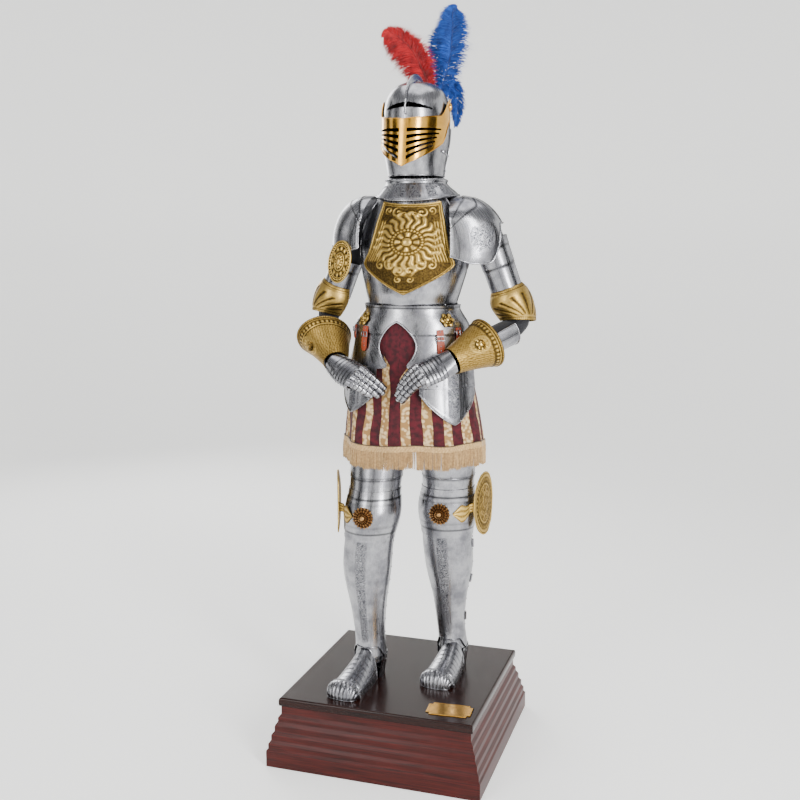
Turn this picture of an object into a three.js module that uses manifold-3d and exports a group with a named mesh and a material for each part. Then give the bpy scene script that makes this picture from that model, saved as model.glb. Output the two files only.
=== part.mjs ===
// Suit of plate armour standing on a stepped wooden plinth.
// Millimetres, +Z up, the suit faces -Y, its own right side is at -X.
// All suit tables give heights above the plinth's top face.
import * as THREE from 'three'
import { mergeVertices } from 'three/addons/utils/BufferGeometryUtils.js'
import Module from 'manifold-3d'

const wasm = await Module()
wasm.setup()

// Driving sizes.
const PLINTH_HEIGHT = 207
const PLINTH_TOP = { x: 595, y: 583, board: 26 }
const PLINTH_BASE = { x: 655, y: 643 }
const FRAME_INSET = 54
const SEAM = 0.35
const STEEL = 1.6
const BRASS = 1.6
const CLOTH = 2.2
const LEATHER = 2.4
const LAME_STEP = 1.5
const ROLL = 2.2
const HEAD_AXIS = { x: 40, y: -4 }
const VISOR_PIVOT = { y: 2, z: 1722, half: 97.6 }
const FRINGE = { locks: 54, length: 58, heading: 9, wall: 3, gap: 1 }
const SKIRT = { top: 1140, flare: 996, hem: 748, folds: 9, perFold: 3 }
const SIDES = [
  { id: 'R', sign: -1 },
  { id: 'L', sign: 1 },
]

// Finishes.
const FINISH = {
  steel: { color: '#aab0b8', roughness: 0.34, metalness: 1 },
  brass: { color: '#d6ab4e', roughness: 0.28, metalness: 1 },
  relief: { color: '#a67f36', roughness: 0.45, metalness: 1 },
  bronze: { color: '#8a5a33', roughness: 0.45, metalness: 1 },
  velvet: { color: '#741826', roughness: 0.9, metalness: 0 },
  fringe: { color: '#c6a976', roughness: 0.85, metalness: 0 },
  sleeve: { color: '#16161a', roughness: 0.9, metalness: 0 },
  strap: { color: '#b4502c', roughness: 0.55, metalness: 0 },
  glove: { color: '#221c19', roughness: 0.6, metalness: 0 },
  plumeRed: { color: '#d8232f', roughness: 0.85, metalness: 0 },
  plumeBlue: { color: '#1d55b8', roughness: 0.85, metalness: 0 },
  wood: { color: '#4a1712', roughness: 0.25, metalness: 0 },
  woodTop: { color: '#2e1512', roughness: 0.2, metalness: 0 },
}

const suit = new THREE.Group()
suit.name = 'plate_armour_suit'

function add(name, geometry, finish, lift = PLINTH_HEIGHT) {
  const material = new THREE.MeshStandardMaterial({ ...FINISH[finish], name: finish })
  geometry.translate(0, 0, lift)
  geometry.computeVertexNormals()
  const mesh = new THREE.Mesh(geometry, material)
  mesh.name = name
  suit.add(mesh)
}

// Number helpers.
const rad = (degrees) => (degrees * Math.PI) / 180
const mix = (a, b, t) => a + (b - a) * t
const clamp01 = (t) => Math.min(1, Math.max(0, t))
const ease = (t) => clamp01(t) * clamp01(t) * (3 - 2 * clamp01(t))
const span = (from, to, count) => Array.from({ length: count + 1 }, (_, i) => mix(from, to, i / count))
const vec = (x, y, z) => new THREE.Vector3(x, y, z)

// Smooth reading of a table whose rows rise in the column `key`.
function read(table, key, value) {
  const last = table.length - 1
  let i = 0
  while (i < last - 1 && value > table[i + 1][key]) i += 1
  const a = table[i]
  const b = table[i + 1]
  const before = table[Math.max(0, i - 1)]
  const after = table[Math.min(last, i + 2)]
  const width = b[key] - a[key]
  const t = clamp01((value - a[key]) / width)
  const row = {}
  for (const column of Object.keys(a)) {
    const slopeA = (b[column] - before[column]) / (b[key] - before[key])
    const slopeB = (after[column] - a[column]) / (after[key] - a[key])
    const t2 = t * t
    const t3 = t2 * t
    row[column] = (2 * t3 - 3 * t2 + 1) * a[column] + (t3 - 2 * t2 + t) * width * slopeA
      + (3 * t2 - 2 * t3) * b[column] + (t3 - t2) * width * slopeB
  }
  return row
}

// Mesh helpers.
function bodyFrom(points, triangles) {
  let volume = 0
  for (const [a, b, c] of triangles) {
    volume += points[a].dot(new THREE.Vector3().crossVectors(points[b], points[c]))
  }
  const index = triangles.flatMap(([a, b, c]) => (volume < 0 ? [a, c, b] : [a, b, c]))
  const geometry = new THREE.BufferGeometry()
  geometry.setAttribute('position', new THREE.Float32BufferAttribute(points.flatMap((p) => p.toArray()), 3))
  geometry.setIndex(index)
  return geometry
}

function gridNormals(grid, closed) {
  const rows = grid.length
  const columns = grid[0].length
  return grid.map((line, j) => line.map((_, i) => {
    const next = closed ? (i + 1) % columns : Math.min(columns - 1, i + 1)
    const prev = closed ? (i + columns - 1) % columns : Math.max(0, i - 1)
    const across = vec(0, 0, 0).subVectors(line[next], line[prev])
    const along = vec(0, 0, 0).subVectors(grid[Math.min(rows - 1, j + 1)][i], grid[Math.max(0, j - 1)][i])
    return across.cross(along).normalize()
  }))
}

// Sheet of even wall on the outer surface at(u, v); the wall lies on the side of its centre
// of curvature unless `flip` is set. `closed` joins the first and last column into a tube.
function sheet({ us, vs, at, wall, closed = false, flip = false }) {
  const outer = vs.map((v, j) => us.map((u, i) => at(u, v, i, j)))
  const normals = gridNormals(outer, closed)
  const centre = vec(0, 0, 0)
  outer.flat().forEach((p) => centre.add(p))
  centre.divideScalar(outer.length * us.length)
  let facing = 0
  outer.forEach((line, j) => line.forEach((p, i) => {
    facing += normals[j][i].dot(vec(0, 0, 0).subVectors(p, centre))
  }))
  const sign = (facing < 0 ? 1 : -1) * (flip ? -1 : 1)
  const inner = outer.map((line, j) => line.map((p, i) => p.clone().addScaledVector(normals[j][i], sign * wall)))
  const columns = us.length
  const rows = vs.length
  const points = [...outer.flat(), ...inner.flat()]
  const id = (layer, i, j) => layer * rows * columns + j * columns + (i % columns)
  const triangles = []
  const quad = (a, b, c, d) => {
    if (points[a].distanceTo(points[c]) < points[b].distanceTo(points[d])) {
      triangles.push([a, b, c], [a, c, d])
    } else {
      triangles.push([a, b, d], [b, c, d])
    }
  }
  const steps = closed ? columns : columns - 1
  for (let j = 0; j < rows - 1; j += 1) {
    for (let i = 0; i < steps; i += 1) {
      quad(id(0, i, j), id(0, i + 1, j), id(0, i + 1, j + 1), id(0, i, j + 1))
      quad(id(1, i, j + 1), id(1, i + 1, j + 1), id(1, i + 1, j), id(1, i, j))
    }
  }
  for (let i = 0; i < steps; i += 1) {
    quad(id(0, i + 1, 0), id(0, i, 0), id(1, i, 0), id(1, i + 1, 0))
    quad(id(0, i, rows - 1), id(0, i + 1, rows - 1), id(1, i + 1, rows - 1), id(1, i, rows - 1))
  }
  for (let j = 0; j < rows - 1 && !closed; j += 1) {
    quad(id(0, 0, j), id(0, 0, j + 1), id(1, 0, j + 1), id(1, 0, j))
    quad(id(0, columns - 1, j + 1), id(0, columns - 1, j), id(1, columns - 1, j), id(1, columns - 1, j + 1))
  }
  return bodyFrom(points, triangles)
}

// Solid boss on a base point: rings of radius r at height h along `out`, closed by a centre point.
function boss({ at, out, up, rings, sides = 20, lobes = 0, lobeDepth = 0, squash = 1 }) {
  const axis = out.clone().normalize()
  const e2 = up.clone().addScaledVector(axis, -up.dot(axis)).normalize()
  const e1 = vec(0, 0, 0).crossVectors(e2, axis)
  const points = []
  for (const ring of rings) {
    for (let i = 0; i < sides; i += 1) {
      const a = (i / sides) * 2 * Math.PI
      const r = ring.r * (1 + (ring.lobed ?? 0) * lobeDepth * Math.cos(lobes * a))
      const h = ring.h * (1 + (ring.lobed ?? 0) * lobeDepth * Math.cos(lobes * a))
      points.push(at.clone().addScaledVector(e1, r * squash * Math.cos(a))
        .addScaledVector(e2, r * Math.sin(a)).addScaledVector(axis, h))
    }
  }
  const top = points.length
  points.push(at.clone().addScaledVector(axis, rings[rings.length - 1].h))
  points.push(at.clone().addScaledVector(axis, rings[0].h))
  const triangles = []
  for (let k = 0; k < rings.length - 1; k += 1) {
    for (let i = 0; i < sides; i += 1) {
      const n = (i + 1) % sides
      const a = k * sides + i
      const b = k * sides + n
      triangles.push([a, b, b + sides], [a, b + sides, a + sides])
    }
  }
  for (let i = 0; i < sides; i += 1) {
    const n = (i + 1) % sides
    const ringTop = (rings.length - 1) * sides
    triangles.push([ringTop + i, ringTop + n, top], [n, i, top + 1])
  }
  return bodyFrom(points, triangles)
}

// Solid of round sections along a path of { p, r } rows; `flat` squeezes it along `side`.
function spindle(path, sides = 8, side = vec(1, 0, 0), flat = 1) {
  const points = []
  path.forEach((row, k) => {
    const next = path[Math.min(path.length - 1, k + 1)].p
    const prev = path[Math.max(0, k - 1)].p
    const tangent = vec(0, 0, 0).subVectors(next, prev).normalize()
    const e1 = side.clone().addScaledVector(tangent, -side.dot(tangent)).normalize()
    const e2 = vec(0, 0, 0).crossVectors(tangent, e1)
    for (let i = 0; i < sides; i += 1) {
      const a = (i / sides) * 2 * Math.PI
      points.push(row.p.clone().addScaledVector(e1, row.r * flat * Math.cos(a))
        .addScaledVector(e2, row.r * Math.sin(a)))
    }
  })
  const triangles = []
  for (let k = 0; k < path.length - 1; k += 1) {
    for (let i = 0; i < sides; i += 1) {
      const n = (i + 1) % sides
      const a = k * sides + i
      const b = k * sides + n
      triangles.push([a, b, b + sides], [a, b + sides, a + sides])
    }
  }
  const end = points.length
  points.push(path[0].p.clone(), path[path.length - 1].p.clone())
  for (let i = 0; i < sides; i += 1) {
    const n = (i + 1) % sides
    const last = (path.length - 1) * sides
    triangles.push([n, i, end], [last + i, last + n, end + 1])
  }
  return bodyFrom(points, triangles)
}

function toManifold(geometry) {
  const bare = geometry.clone()
  bare.deleteAttribute('normal')
  bare.deleteAttribute('uv')
  const merged = mergeVertices(bare, 1e-3)
  return new wasm.Manifold(new wasm.Mesh({
    numProp: 3,
    vertProperties: new Float32Array(merged.attributes.position.array),
    triVerts: new Uint32Array(merged.index.array),
  }))
}

function fromManifold(solid) {
  const mesh = solid.getMesh()
  const geometry = new THREE.BufferGeometry()
  geometry.setAttribute('position', new THREE.Float32BufferAttribute(Array.from(mesh.vertProperties), 3))
  geometry.setIndex(Array.from(mesh.triVerts))
  return geometry
}

function join(first, ...others) {
  let solid = toManifold(first)
  for (const other of others) solid = solid.add(toManifold(other))
  return fromManifold(solid)
}

function cut(first, ...others) {
  let solid = toManifold(first)
  for (const other of others) solid = solid.subtract(toManifold(other))
  return fromManifold(solid)
}

// Plinth.
// Outline of the moulded frame from its foot up: inset from the base size, height.
const PLINTH_PROFILE = [
  { inset: 0, z: 0 },
  { inset: 0, z: 50 },
  { inset: 5, z: 55 },
  { inset: 5, z: 70 },
  { inset: 12, z: 80 },
  { inset: 12, z: 96 },
  { inset: 20, z: 106 },
  { inset: 20, z: 122 },
  { inset: 28, z: 134 },
  { inset: 28, z: 146 },
  { inset: 36, z: 156 },
  { inset: 36, z: PLINTH_HEIGHT - PLINTH_TOP.board - SEAM },
]

function squareFrame(profile, size, inner) {
  const corners = [[-1, -1], [1, -1], [1, 1], [-1, 1]]
  const loop = [...profile.map((row) => ({ x: size.x / 2 - row.inset, y: size.y / 2 - row.inset, z: row.z }))]
  loop.push({ x: inner.x / 2, y: inner.y / 2, z: profile[profile.length - 1].z })
  loop.push({ x: inner.x / 2, y: inner.y / 2, z: profile[0].z })
  const points = corners.flatMap(([sx, sy]) => loop.map((row) => vec(sx * row.x, sy * row.y, row.z)))
  const n = loop.length
  const triangles = []
  for (let c = 0; c < 4; c += 1) {
    for (let k = 0; k < n; k += 1) {
      const a = c * n + k
      const b = c * n + ((k + 1) % n)
      const c2 = ((c + 1) % 4) * n
      triangles.push([a, b, c2 + ((k + 1) % n)], [a, c2 + ((k + 1) % n), c2 + k])
    }
  }
  return bodyFrom(points, triangles)
}

function boardFrom(rows) {
  const corners = [[-1, -1], [1, -1], [1, 1], [-1, 1]]
  const points = rows.flatMap((row) => corners.map(([sx, sy]) => vec((sx * row.x) / 2, (sy * row.y) / 2, row.z)))
  const triangles = [[0, 2, 1], [0, 3, 2]]
  for (let k = 0; k < rows.length - 1; k += 1) {
    for (let c = 0; c < 4; c += 1) {
      const a = k * 4 + c
      const b = k * 4 + ((c + 1) % 4)
      triangles.push([a, b, b + 4], [a, b + 4, a + 4])
    }
  }
  const top = (rows.length - 1) * 4
  triangles.push([top, top + 1, top + 2], [top, top + 2, top + 3])
  return bodyFrom(points, triangles)
}

function plinth() {
  const innerSize = { x: PLINTH_BASE.x - 2 * FRAME_INSET, y: PLINTH_BASE.y - 2 * FRAME_INSET }
  add('plinth_frame', squareFrame(PLINTH_PROFILE, PLINTH_BASE, innerSize), 'wood', 0)
  const low = PLINTH_HEIGHT - PLINTH_TOP.board
  add('plinth_top', boardFrom([
    { x: PLINTH_TOP.x - 8, y: PLINTH_TOP.y - 8, z: low },
    { x: PLINTH_TOP.x, y: PLINTH_TOP.y, z: low + 6 },
    { x: PLINTH_TOP.x, y: PLINTH_TOP.y, z: PLINTH_HEIGHT - 7 },
    { x: PLINTH_TOP.x - 10, y: PLINTH_TOP.y - 10, z: PLINTH_HEIGHT },
  ]), 'woodTop', 0)
}

// Plaque with clipped corners, lying on the top board.
const PLAQUE = { x: 210, y: -216, width: 132, depth: 76, clip: 11, thick: 2 }

function plaque() {
  const { width: w, depth: d, clip: c } = PLAQUE
  const outline = [
    [-w / 2 + c, -d / 2], [w / 2 - c, -d / 2], [w / 2 - c, -d / 2 + c], [w / 2, -d / 2 + c],
    [w / 2, d / 2 - c], [w / 2 - c, d / 2 - c], [w / 2 - c, d / 2], [-w / 2 + c, d / 2],
    [-w / 2 + c, d / 2 - c], [-w / 2, d / 2 - c], [-w / 2, -d / 2 + c], [-w / 2 + c, -d / 2 + c],
  ]
  const shape = new THREE.Shape(outline.map(([x, y]) => new THREE.Vector2(x, y)))
  const geometry = new THREE.ExtrudeGeometry(shape, { depth: PLAQUE.thick, bevelEnabled: false })
  geometry.rotateZ(rad(4))
  geometry.translate(PLAQUE.x, PLAQUE.y, SEAM)
  add('plaque', mergeVertices(bare(geometry), 1e-3), 'brass')
}

function bare(geometry) {
  geometry.deleteAttribute('normal')
  geometry.deleteAttribute('uv')
  return geometry
}

// Legs.
// Sections of each leg: height, axis x and y, half width, depth to the front and to the back.
const LEG = {
  R: [
    { z: 70, x: -96, y: -34, w: 50, f: 56, b: 54 },
    { z: 100, x: -96, y: -35, w: 47, f: 50, b: 48 },
    { z: 140, x: -97, y: -38, w: 47, f: 47, b: 47 },
    { z: 230, x: -100, y: -44, w: 56, f: 54, b: 62 },
    { z: 340, x: -102, y: -50, w: 74, f: 64, b: 80 },
    { z: 430, x: -94, y: -55, w: 76, f: 68, b: 76 },
    { z: 530, x: -80, y: -56, w: 76, f: 74, b: 68 },
    { z: 640, x: -74, y: -40, w: 79, f: 76, b: 76 },
    { z: 760, x: -68, y: -18, w: 84, f: 80, b: 82 },
  ],
  L: [
    { z: 70, x: 131, y: 108, w: 47, f: 56, b: 54 },
    { z: 100, x: 130, y: 107, w: 44, f: 50, b: 48 },
    { z: 140, x: 126, y: 104, w: 44, f: 47, b: 47 },
    { z: 230, x: 124, y: 94, w: 52, f: 54, b: 62 },
    { z: 340, x: 124, y: 80, w: 74, f: 64, b: 80 },
    { z: 430, x: 122, y: 66, w: 78, f: 68, b: 76 },
    { z: 530, x: 124, y: 58, w: 80, f: 74, b: 68 },
    { z: 640, x: 130, y: 42, w: 80, f: 76, b: 76 },
    { z: 760, x: 132, y: 22, w: 84, f: 80, b: 82 },
  ],
}
const GREAVE = { low: 70, front: 102, high: 468 }
const CUISSE = { low: 578, high: 760, lames: [640] }
const POLEYN = { low: 452, high: 606, reach: 128, gap: 1, bulge: 9, lames: [476, 582] }
const RIDGE = 3
const LEG_SIDES = 14

function ellipsePoint(row, angle, grow) {
  const s = Math.sin(angle)
  const c = Math.cos(angle)
  const depth = c > 0 ? row.f : row.b
  return vec(row.x + (row.w + grow) * s, row.y - (depth + grow) * c, row.z)
}

// Horizontal outward direction of a section at an angle, with a tilt upwards.
function ellipseOut(row, angle, tilt) {
  const depth = Math.cos(angle) > 0 ? row.f : row.b
  const flat = vec(Math.sin(angle) / row.w, -Math.cos(angle) / depth, 0).normalize()
  return flat.add(vec(0, 0, tilt)).normalize()
}

function legPoint(side, angle, z, grow) {
  const row = read(LEG[side], 'z', z)
  row.z = z
  const keel = RIDGE * Math.max(0, Math.cos(angle)) ** 12
  return ellipsePoint(row, angle, grow + keel)
}

// Step outward of a row of riveted lames: each plate's lower edge stands over the next one.
function lameStep(z, edges, height = LAME_STEP) {
  return edges.reduce((sum, edge) => sum + (z > edge ? height : 0), 0)
}

function turn(count) {
  return Array.from({ length: count }, (_, i) => (i / count) * 2 * Math.PI)
}

function steppedRows(low, high, edges, between, riser = 0.6) {
  const marks = [low, ...edges.flatMap((e) => [e - riser, e + riser]), high]
  const rows = [low]
  for (let k = 0; k < marks.length - 1; k += 1) {
    const gap = marks[k + 1] - marks[k]
    const parts = Math.max(1, Math.round(gap / between))
    for (let i = 1; i <= parts; i += 1) rows.push(mix(marks[k], marks[k + 1], i / parts))
  }
  return rows
}

function legs() {
  for (const { id, sign } of SIDES) {
    add(`greave_${id}`, sheet({
      us: turn(LEG_SIDES),
      vs: [0, 0.03, 0.2, 0.45, 0.72, 1],
      at: (a, v) => {
        const low = mix(GREAVE.low, GREAVE.front, ease((Math.cos(a) - 0.2) / 0.5))
        return legPoint(id, a, mix(low, GREAVE.high, v), v < 0.02 ? ROLL : 0)
      },
      wall: STEEL,
      closed: true,
    }), 'steel')
    add(`cuisse_${id}`, sheet({
      us: turn(LEG_SIDES),
      vs: steppedRows(CUISSE.low, CUISSE.high, CUISSE.lames, 130),
      at: (a, z) => legPoint(id, a, z, lameStep(z, CUISSE.lames)),
      wall: STEEL,
      closed: true,
    }), 'steel')
    const bulge = (z) => POLEYN.bulge * Math.sin(Math.PI * clamp01((z - POLEYN.low) / (POLEYN.high - POLEYN.low))) ** 2
    add(`poleyn_${id}`, sheet({
      us: span(rad(-POLEYN.reach), rad(POLEYN.reach), 10),
      vs: steppedRows(POLEYN.low, POLEYN.high, POLEYN.lames, 55),
      at: (a, z) => {
        const edge = LAME_STEP * (z > POLEYN.lames[0] && z < POLEYN.lames[1] ? 1 : 0)
        const wide = Math.abs(a) > rad(POLEYN.reach - 12) ? 0 : 1
        return legPoint(id, a, z, POLEYN.gap + STEEL + edge + wide * bulge(z) * (0.45 + 0.55 * Math.cos(a / 2)))
      },
      wall: STEEL,
    }), 'steel')
    kneeRosette(id, sign)
    kneeWing(id, sign)
    foot(id, sign)
  }
}

const KNEE = { z: 532, rosette: 31, offset: { R: 13.7, L: 14.8 } }

function kneeRosette(id) {
  const front = legPoint(id, 0, KNEE.z, 0)
  const at = vec(front.x, front.y - KNEE.offset[id], KNEE.z)
  add(`knee_rosette_${id}`, boss({
    at,
    out: vec(0, -1, 0.04),
    up: vec(0, 0, 1),
    sides: 16,
    lobes: 8,
    lobeDepth: 0.1,
    rings: [
      { r: KNEE.rosette, h: 0 },
      { r: KNEE.rosette, h: 3, lobed: 1 },
      { r: 24, h: 8, lobed: 1 },
      { r: 17, h: 5 },
      { r: 13, h: 12 },
      { r: 6, h: 15 },
    ],
  }), 'bronze')
}

// The wing runs from a leaf on the knee's outer front, along a stem, into an upright oval plate.
const WING = [
  { angle: 24, grow: 15.7, h: 2 },
  { angle: 32, grow: 15.7, h: 15 },
  { angle: 41, grow: 15.7, h: 27 },
  { angle: 51, grow: 15.7, h: 20 },
  { angle: 60, grow: 15.7, h: 13 },
]
const WING_PLATE = { start: [95, -44], end: [127, 56], half: 97, rows: 6 }

function kneeWing(id, sign) {
  const centre = read(LEG[id], 'z', KNEE.z)
  const path = WING.map((row) => {
    const p = legPoint(id, sign * rad(row.angle), KNEE.z, row.grow)
    return { p, h: row.h }
  })
  for (let k = 0; k <= WING_PLATE.rows; k += 1) {
    const t = k / WING_PLATE.rows
    const x = centre.x + sign * mix(WING_PLATE.start[0], WING_PLATE.end[0], t)
    const y = centre.y + mix(WING_PLATE.start[1], WING_PLATE.end[1], t)
    const oval = Math.sqrt(Math.max(0.02, 1 - (2 * t - 1) ** 2))
    const dish = 5 * Math.sin(Math.PI * t)
    path.push({ p: vec(x + sign * dish, y, KNEE.z + 20), h: Math.max(14, WING_PLATE.half * oval) })
  }
  add(`knee_wing_${id}`, sheet({
    us: span(-1, 1, 6),
    vs: path.map((_, k) => k),
    at: (u, k) => vec(path[k].p.x, path[k].p.y, path[k].p.z + u * path[k].h),
    wall: BRASS + 0.4,
    flip: false,
  }), 'relief')
}

// Feet.
// Foot frame: heel point on the floor, direction to the toe, length from heel to toe cap tip.
const FOOT = {
  R: { heel: [-89, 12], toe: [-121, -254] },
  L: { heel: [145, 158], toe: [123, -92] },
}
// Sections along the foot: s from heel 0 to toe 1, half width, height of the arch.
const FOOT_SECTIONS = [
  { s: 0.0, w: 30, h: 100 },
  { s: 0.2, w: 36, h: 112 },
  { s: 0.33, w: 38, h: 97 },
  { s: 0.42, w: 42, h: 82 },
  { s: 0.55, w: 46, h: 66 },
  { s: 0.7, w: 49, h: 52 },
  { s: 0.84, w: 49, h: 44 },
  { s: 1.0, w: 40, h: 36 },
]
const SOLE_GAP = 0.4
const SABATON = { from: 0.34, to: 0.86, lames: [0.5, 0.6, 0.7] }
const TOE_CAP = { from: 0.835, flutes: 6, depth: 1.8 }

function footPoint(id, s, a, grow) {
  const { heel, toe } = FOOT[id]
  const row = read(FOOT_SECTIONS, 's', s)
  const length = Math.hypot(toe[0] - heel[0], toe[1] - heel[1])
  const dx = (toe[0] - heel[0]) / length
  const dy = (toe[1] - heel[1]) / length
  const across = (row.w + grow) * Math.sign(Math.cos(a)) * Math.abs(Math.cos(a)) ** 0.8
  const keel = RIDGE * Math.max(0, Math.sin(a)) ** 14
  const z = SOLE_GAP + (row.h + grow + keel) * Math.abs(Math.sin(a)) ** 0.9
  return vec(heel[0] + dx * length * s - dy * across, heel[1] + dy * length * s + dx * across, z)
}

function foot(id) {
  const rows = [SABATON.from, ...SABATON.lames.flatMap((e) => [e - 0.003, e + 0.003]), SABATON.to]
  add(`sabaton_${id}`, sheet({
    us: span(0, Math.PI, 8),
    vs: rows,
    at: (a, s) => {
      return footPoint(id, s, a, SABATON.lames.length - lameStep(s, SABATON.lames, 1))
    },
    wall: STEEL,
  }), 'steel')
  toeCap(id)
  heelPlate(id)
}

// The toe cap turns the arch down to the floor around the toes; its front is fluted.
function toeCap(id) {
  const { heel, toe } = FOOT[id]
  const length = Math.hypot(toe[0] - heel[0], toe[1] - heel[1])
  const dx = (toe[0] - heel[0]) / length
  const dy = (toe[1] - heel[1]) / length
  const base = read(FOOT_SECTIONS, 's', TOE_CAP.from)
  const reach = length * (1 - TOE_CAP.from)
  add(`toe_cap_${id}`, sheet({
    us: span(0, Math.PI, 2 * TOE_CAP.flutes),
    vs: [0, 0.35, 0.7, 0.97],
    at: (a, v, i) => {
      const flute = TOE_CAP.depth * (i % 2 === 0 ? 1 : -1) * ease(v * 3)
      const fall = Math.sqrt(1 - v * v)
      const w = (base.w + 4.4 + STEEL) * (0.55 + 0.45 * fall) + flute * 0.5
      const across = w * Math.sign(Math.cos(a)) * Math.abs(Math.cos(a)) ** 0.75
      const h = (base.h + 4.4 + STEEL) * mix(1, 0.32, v * v) + flute * 0.6
      const forward = reach * v * (0.35 + 0.65 * Math.abs(Math.sin(a)) ** 0.45) + flute * 0.4
      const s = TOE_CAP.from * length + forward
      const z = SOLE_GAP + h * Math.abs(Math.sin(a)) ** 0.85
      return vec(heel[0] + dx * s - dy * across, heel[1] + dy * s + dx * across, z)
    },
    wall: STEEL,
  }), 'steel')
}

// Heel plate: upright wrap behind the ankle, open to the front, standing on the plinth.
const HEEL = { low: SOLE_GAP, high: 69.2, reach: 118 }

function heelPlate(id) {
  const ankle = read(LEG[id], 'z', 75)
  add(`heel_plate_${id}`, sheet({
    us: span(-1, 1, 10),
    vs: [HEEL.low, 24, HEEL.high],
    at: (u, z) => {
      const angle = Math.PI - u * rad(HEEL.reach)
      const t = clamp01(z / HEEL.high)
      const w = mix(42, ankle.w + 1.8, ease(t))
      const back = mix(52, ankle.b + 1.8, ease(t)) + 6 * Math.sin(Math.PI * clamp01(t * 1.2))
      const c = Math.cos(angle)
      return vec(ankle.x + w * Math.sin(angle), ankle.y - (c > 0 ? 62 : back) * c, z)
    },
    wall: STEEL,
  }), 'steel')
}

// Skirt and fringe.
const HIPS = [
  { z: 690, x: 36, y: -6, w: 215, f: 150, b: 156 },
  { z: 750, x: 36, y: -6, w: 213, f: 148, b: 154 },
  { z: 860, x: 32, y: -6, w: 199, f: 138, b: 146 },
  { z: 940, x: 29, y: -6, w: 184, f: 130, b: 138 },
  { z: 996, x: 28, y: -6, w: 172, f: 126, b: 132 },
  { z: 1060, x: 28, y: -6, w: 161, f: 128, b: 121 },
  { z: 1115, x: 28, y: -6, w: 152, f: 122, b: 104 },
  { z: 1140, x: 29.5, y: -6, w: 144, f: 119, b: 94 },
]

function skirtPoint(a, z, grow) {
  const row = read(HIPS, 'z', z)
  row.z = z
  const depth = 5.5 * ease((SKIRT.flare - z) / 240)
  return ellipsePoint(row, a, grow + depth * Math.cos(SKIRT.folds * a + 0.7))
}

// The same point on the flat panels between the skirt's own columns.
function skirtPanelPoint(a, z, grow) {
  const pitch = (2 * Math.PI) / (SKIRT.perFold * SKIRT.folds)
  const k = Math.floor(a / pitch)
  const from = skirtPoint(k * pitch, z, 0)
  const to = skirtPoint((k + 1) * pitch, z, 0)
  const out = vec(to.y - from.y, from.x - to.x, 0).normalize()
  const centre = vec(HIPS[0].x, HIPS[0].y, z)
  const p = from.lerp(to, a / pitch - k)
  const facing = out.dot(vec(0, 0, 0).subVectors(p, centre)) < 0 ? -1 : 1
  return p.addScaledVector(out, facing * grow)
}

function hemWave(a) {
  return 5 * Math.sin(2 * a - 0.4) + 3 * Math.sin(5 * a + 1)
}

function skirt() {
  add('skirt', sheet({
    us: turn(SKIRT.perFold * SKIRT.folds),
    vs: [0, 0.2, 0.5, 1],
    at: (a, v) => skirtPoint(a, mix(SKIRT.top, SKIRT.hem + hemWave(a), v), 0),
    wall: CLOTH,
    closed: true,
  }), 'velvet')
  fringe()
}

// Heading strip with one lock hanging under every other column of the strip.
function fringe() {
  const columns = FRINGE.locks * 2
  const lockShare = 0.82
  const angles = Array.from({ length: columns }, (_, i) => {
    const pitch = (2 * Math.PI) / FRINGE.locks
    return Math.floor(i / 2) * pitch + (i % 2 ? pitch * lockShare : 0)
  })
  const top = (a) => SKIRT.hem + hemWave(a) + FRINGE.heading
  const strip = (a) => top(a) - FRINGE.heading * 2
  const end = (a, lock) => top(a) - FRINGE.heading - FRINGE.length + 2.5 * Math.sin(lock * 2.4)
  const levels = []
  const points = []
  const grows = [FRINGE.gap + FRINGE.wall, FRINGE.gap]
  angles.forEach((a, i) => {
    const lock = Math.floor(i / 2)
    const heights = [top(a), strip(a), end(a, lock)]
    levels.push(heights.map((z) => grows.map((grow) => {
      points.push(skirtPanelPoint(a, z, grow))
      return points.length - 1
    })))
  })
  const triangles = []
  const quad = (a, b, c, d) => triangles.push([a, b, c], [a, c, d])
  for (let i = 0; i < columns; i += 1) {
    const n = (i + 1) % columns
    const p = levels[i]
    const q = levels[n]
    const isLock = i % 2 === 0
    quad(p[0][0], q[0][0], q[0][1], p[0][1])
    quad(p[1][0], q[1][0], q[0][0], p[0][0])
    quad(q[1][1], p[1][1], p[0][1], q[0][1])
    if (isLock) {
      quad(p[2][0], q[2][0], q[1][0], p[1][0])
      quad(q[2][1], p[2][1], p[1][1], q[1][1])
      quad(p[2][1], p[2][0], p[1][0], p[1][1])
      quad(q[2][0], q[2][1], q[1][1], q[1][0])
      quad(q[2][0], p[2][0], p[2][1], q[2][1])
    } else {
      quad(q[1][0], p[1][0], p[1][1], q[1][1])
    }
  }
  add('skirt_fringe', bodyFrom(points, triangles), 'fringe')
}

// Trunk.
const TRUNK = [
  { z: 1080, x: 28, y: -6, w: 146, f: 128, b: 100 },
  { z: 1152, x: 30, y: -6, w: 133, f: 114, b: 86 },
  { z: 1200, x: 33, y: -6, w: 143, f: 128, b: 92 },
  { z: 1270, x: 36, y: -6, w: 160, f: 134, b: 104 },
  { z: 1340, x: 38, y: -6, w: 164, f: 122, b: 108 },
  { z: 1400, x: 39, y: -6, w: 154, f: 106, b: 100 },
  { z: 1440, x: 41, y: -6, w: 134, f: 96, b: 90 },
  { z: 1476, x: 42, y: -6, w: 108, f: 92, b: 88 },
  { z: 1500, x: 42, y: -5, w: 97, f: 92, b: 91 },
]
const CHEST_RIDGE = 5

function trunkPoint(a, z, grow) {
  const row = read(TRUNK, 'z', z)
  row.z = z
  return ellipsePoint(row, a, grow + CHEST_RIDGE * Math.max(0, Math.cos(a)) ** 20)
}

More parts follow.
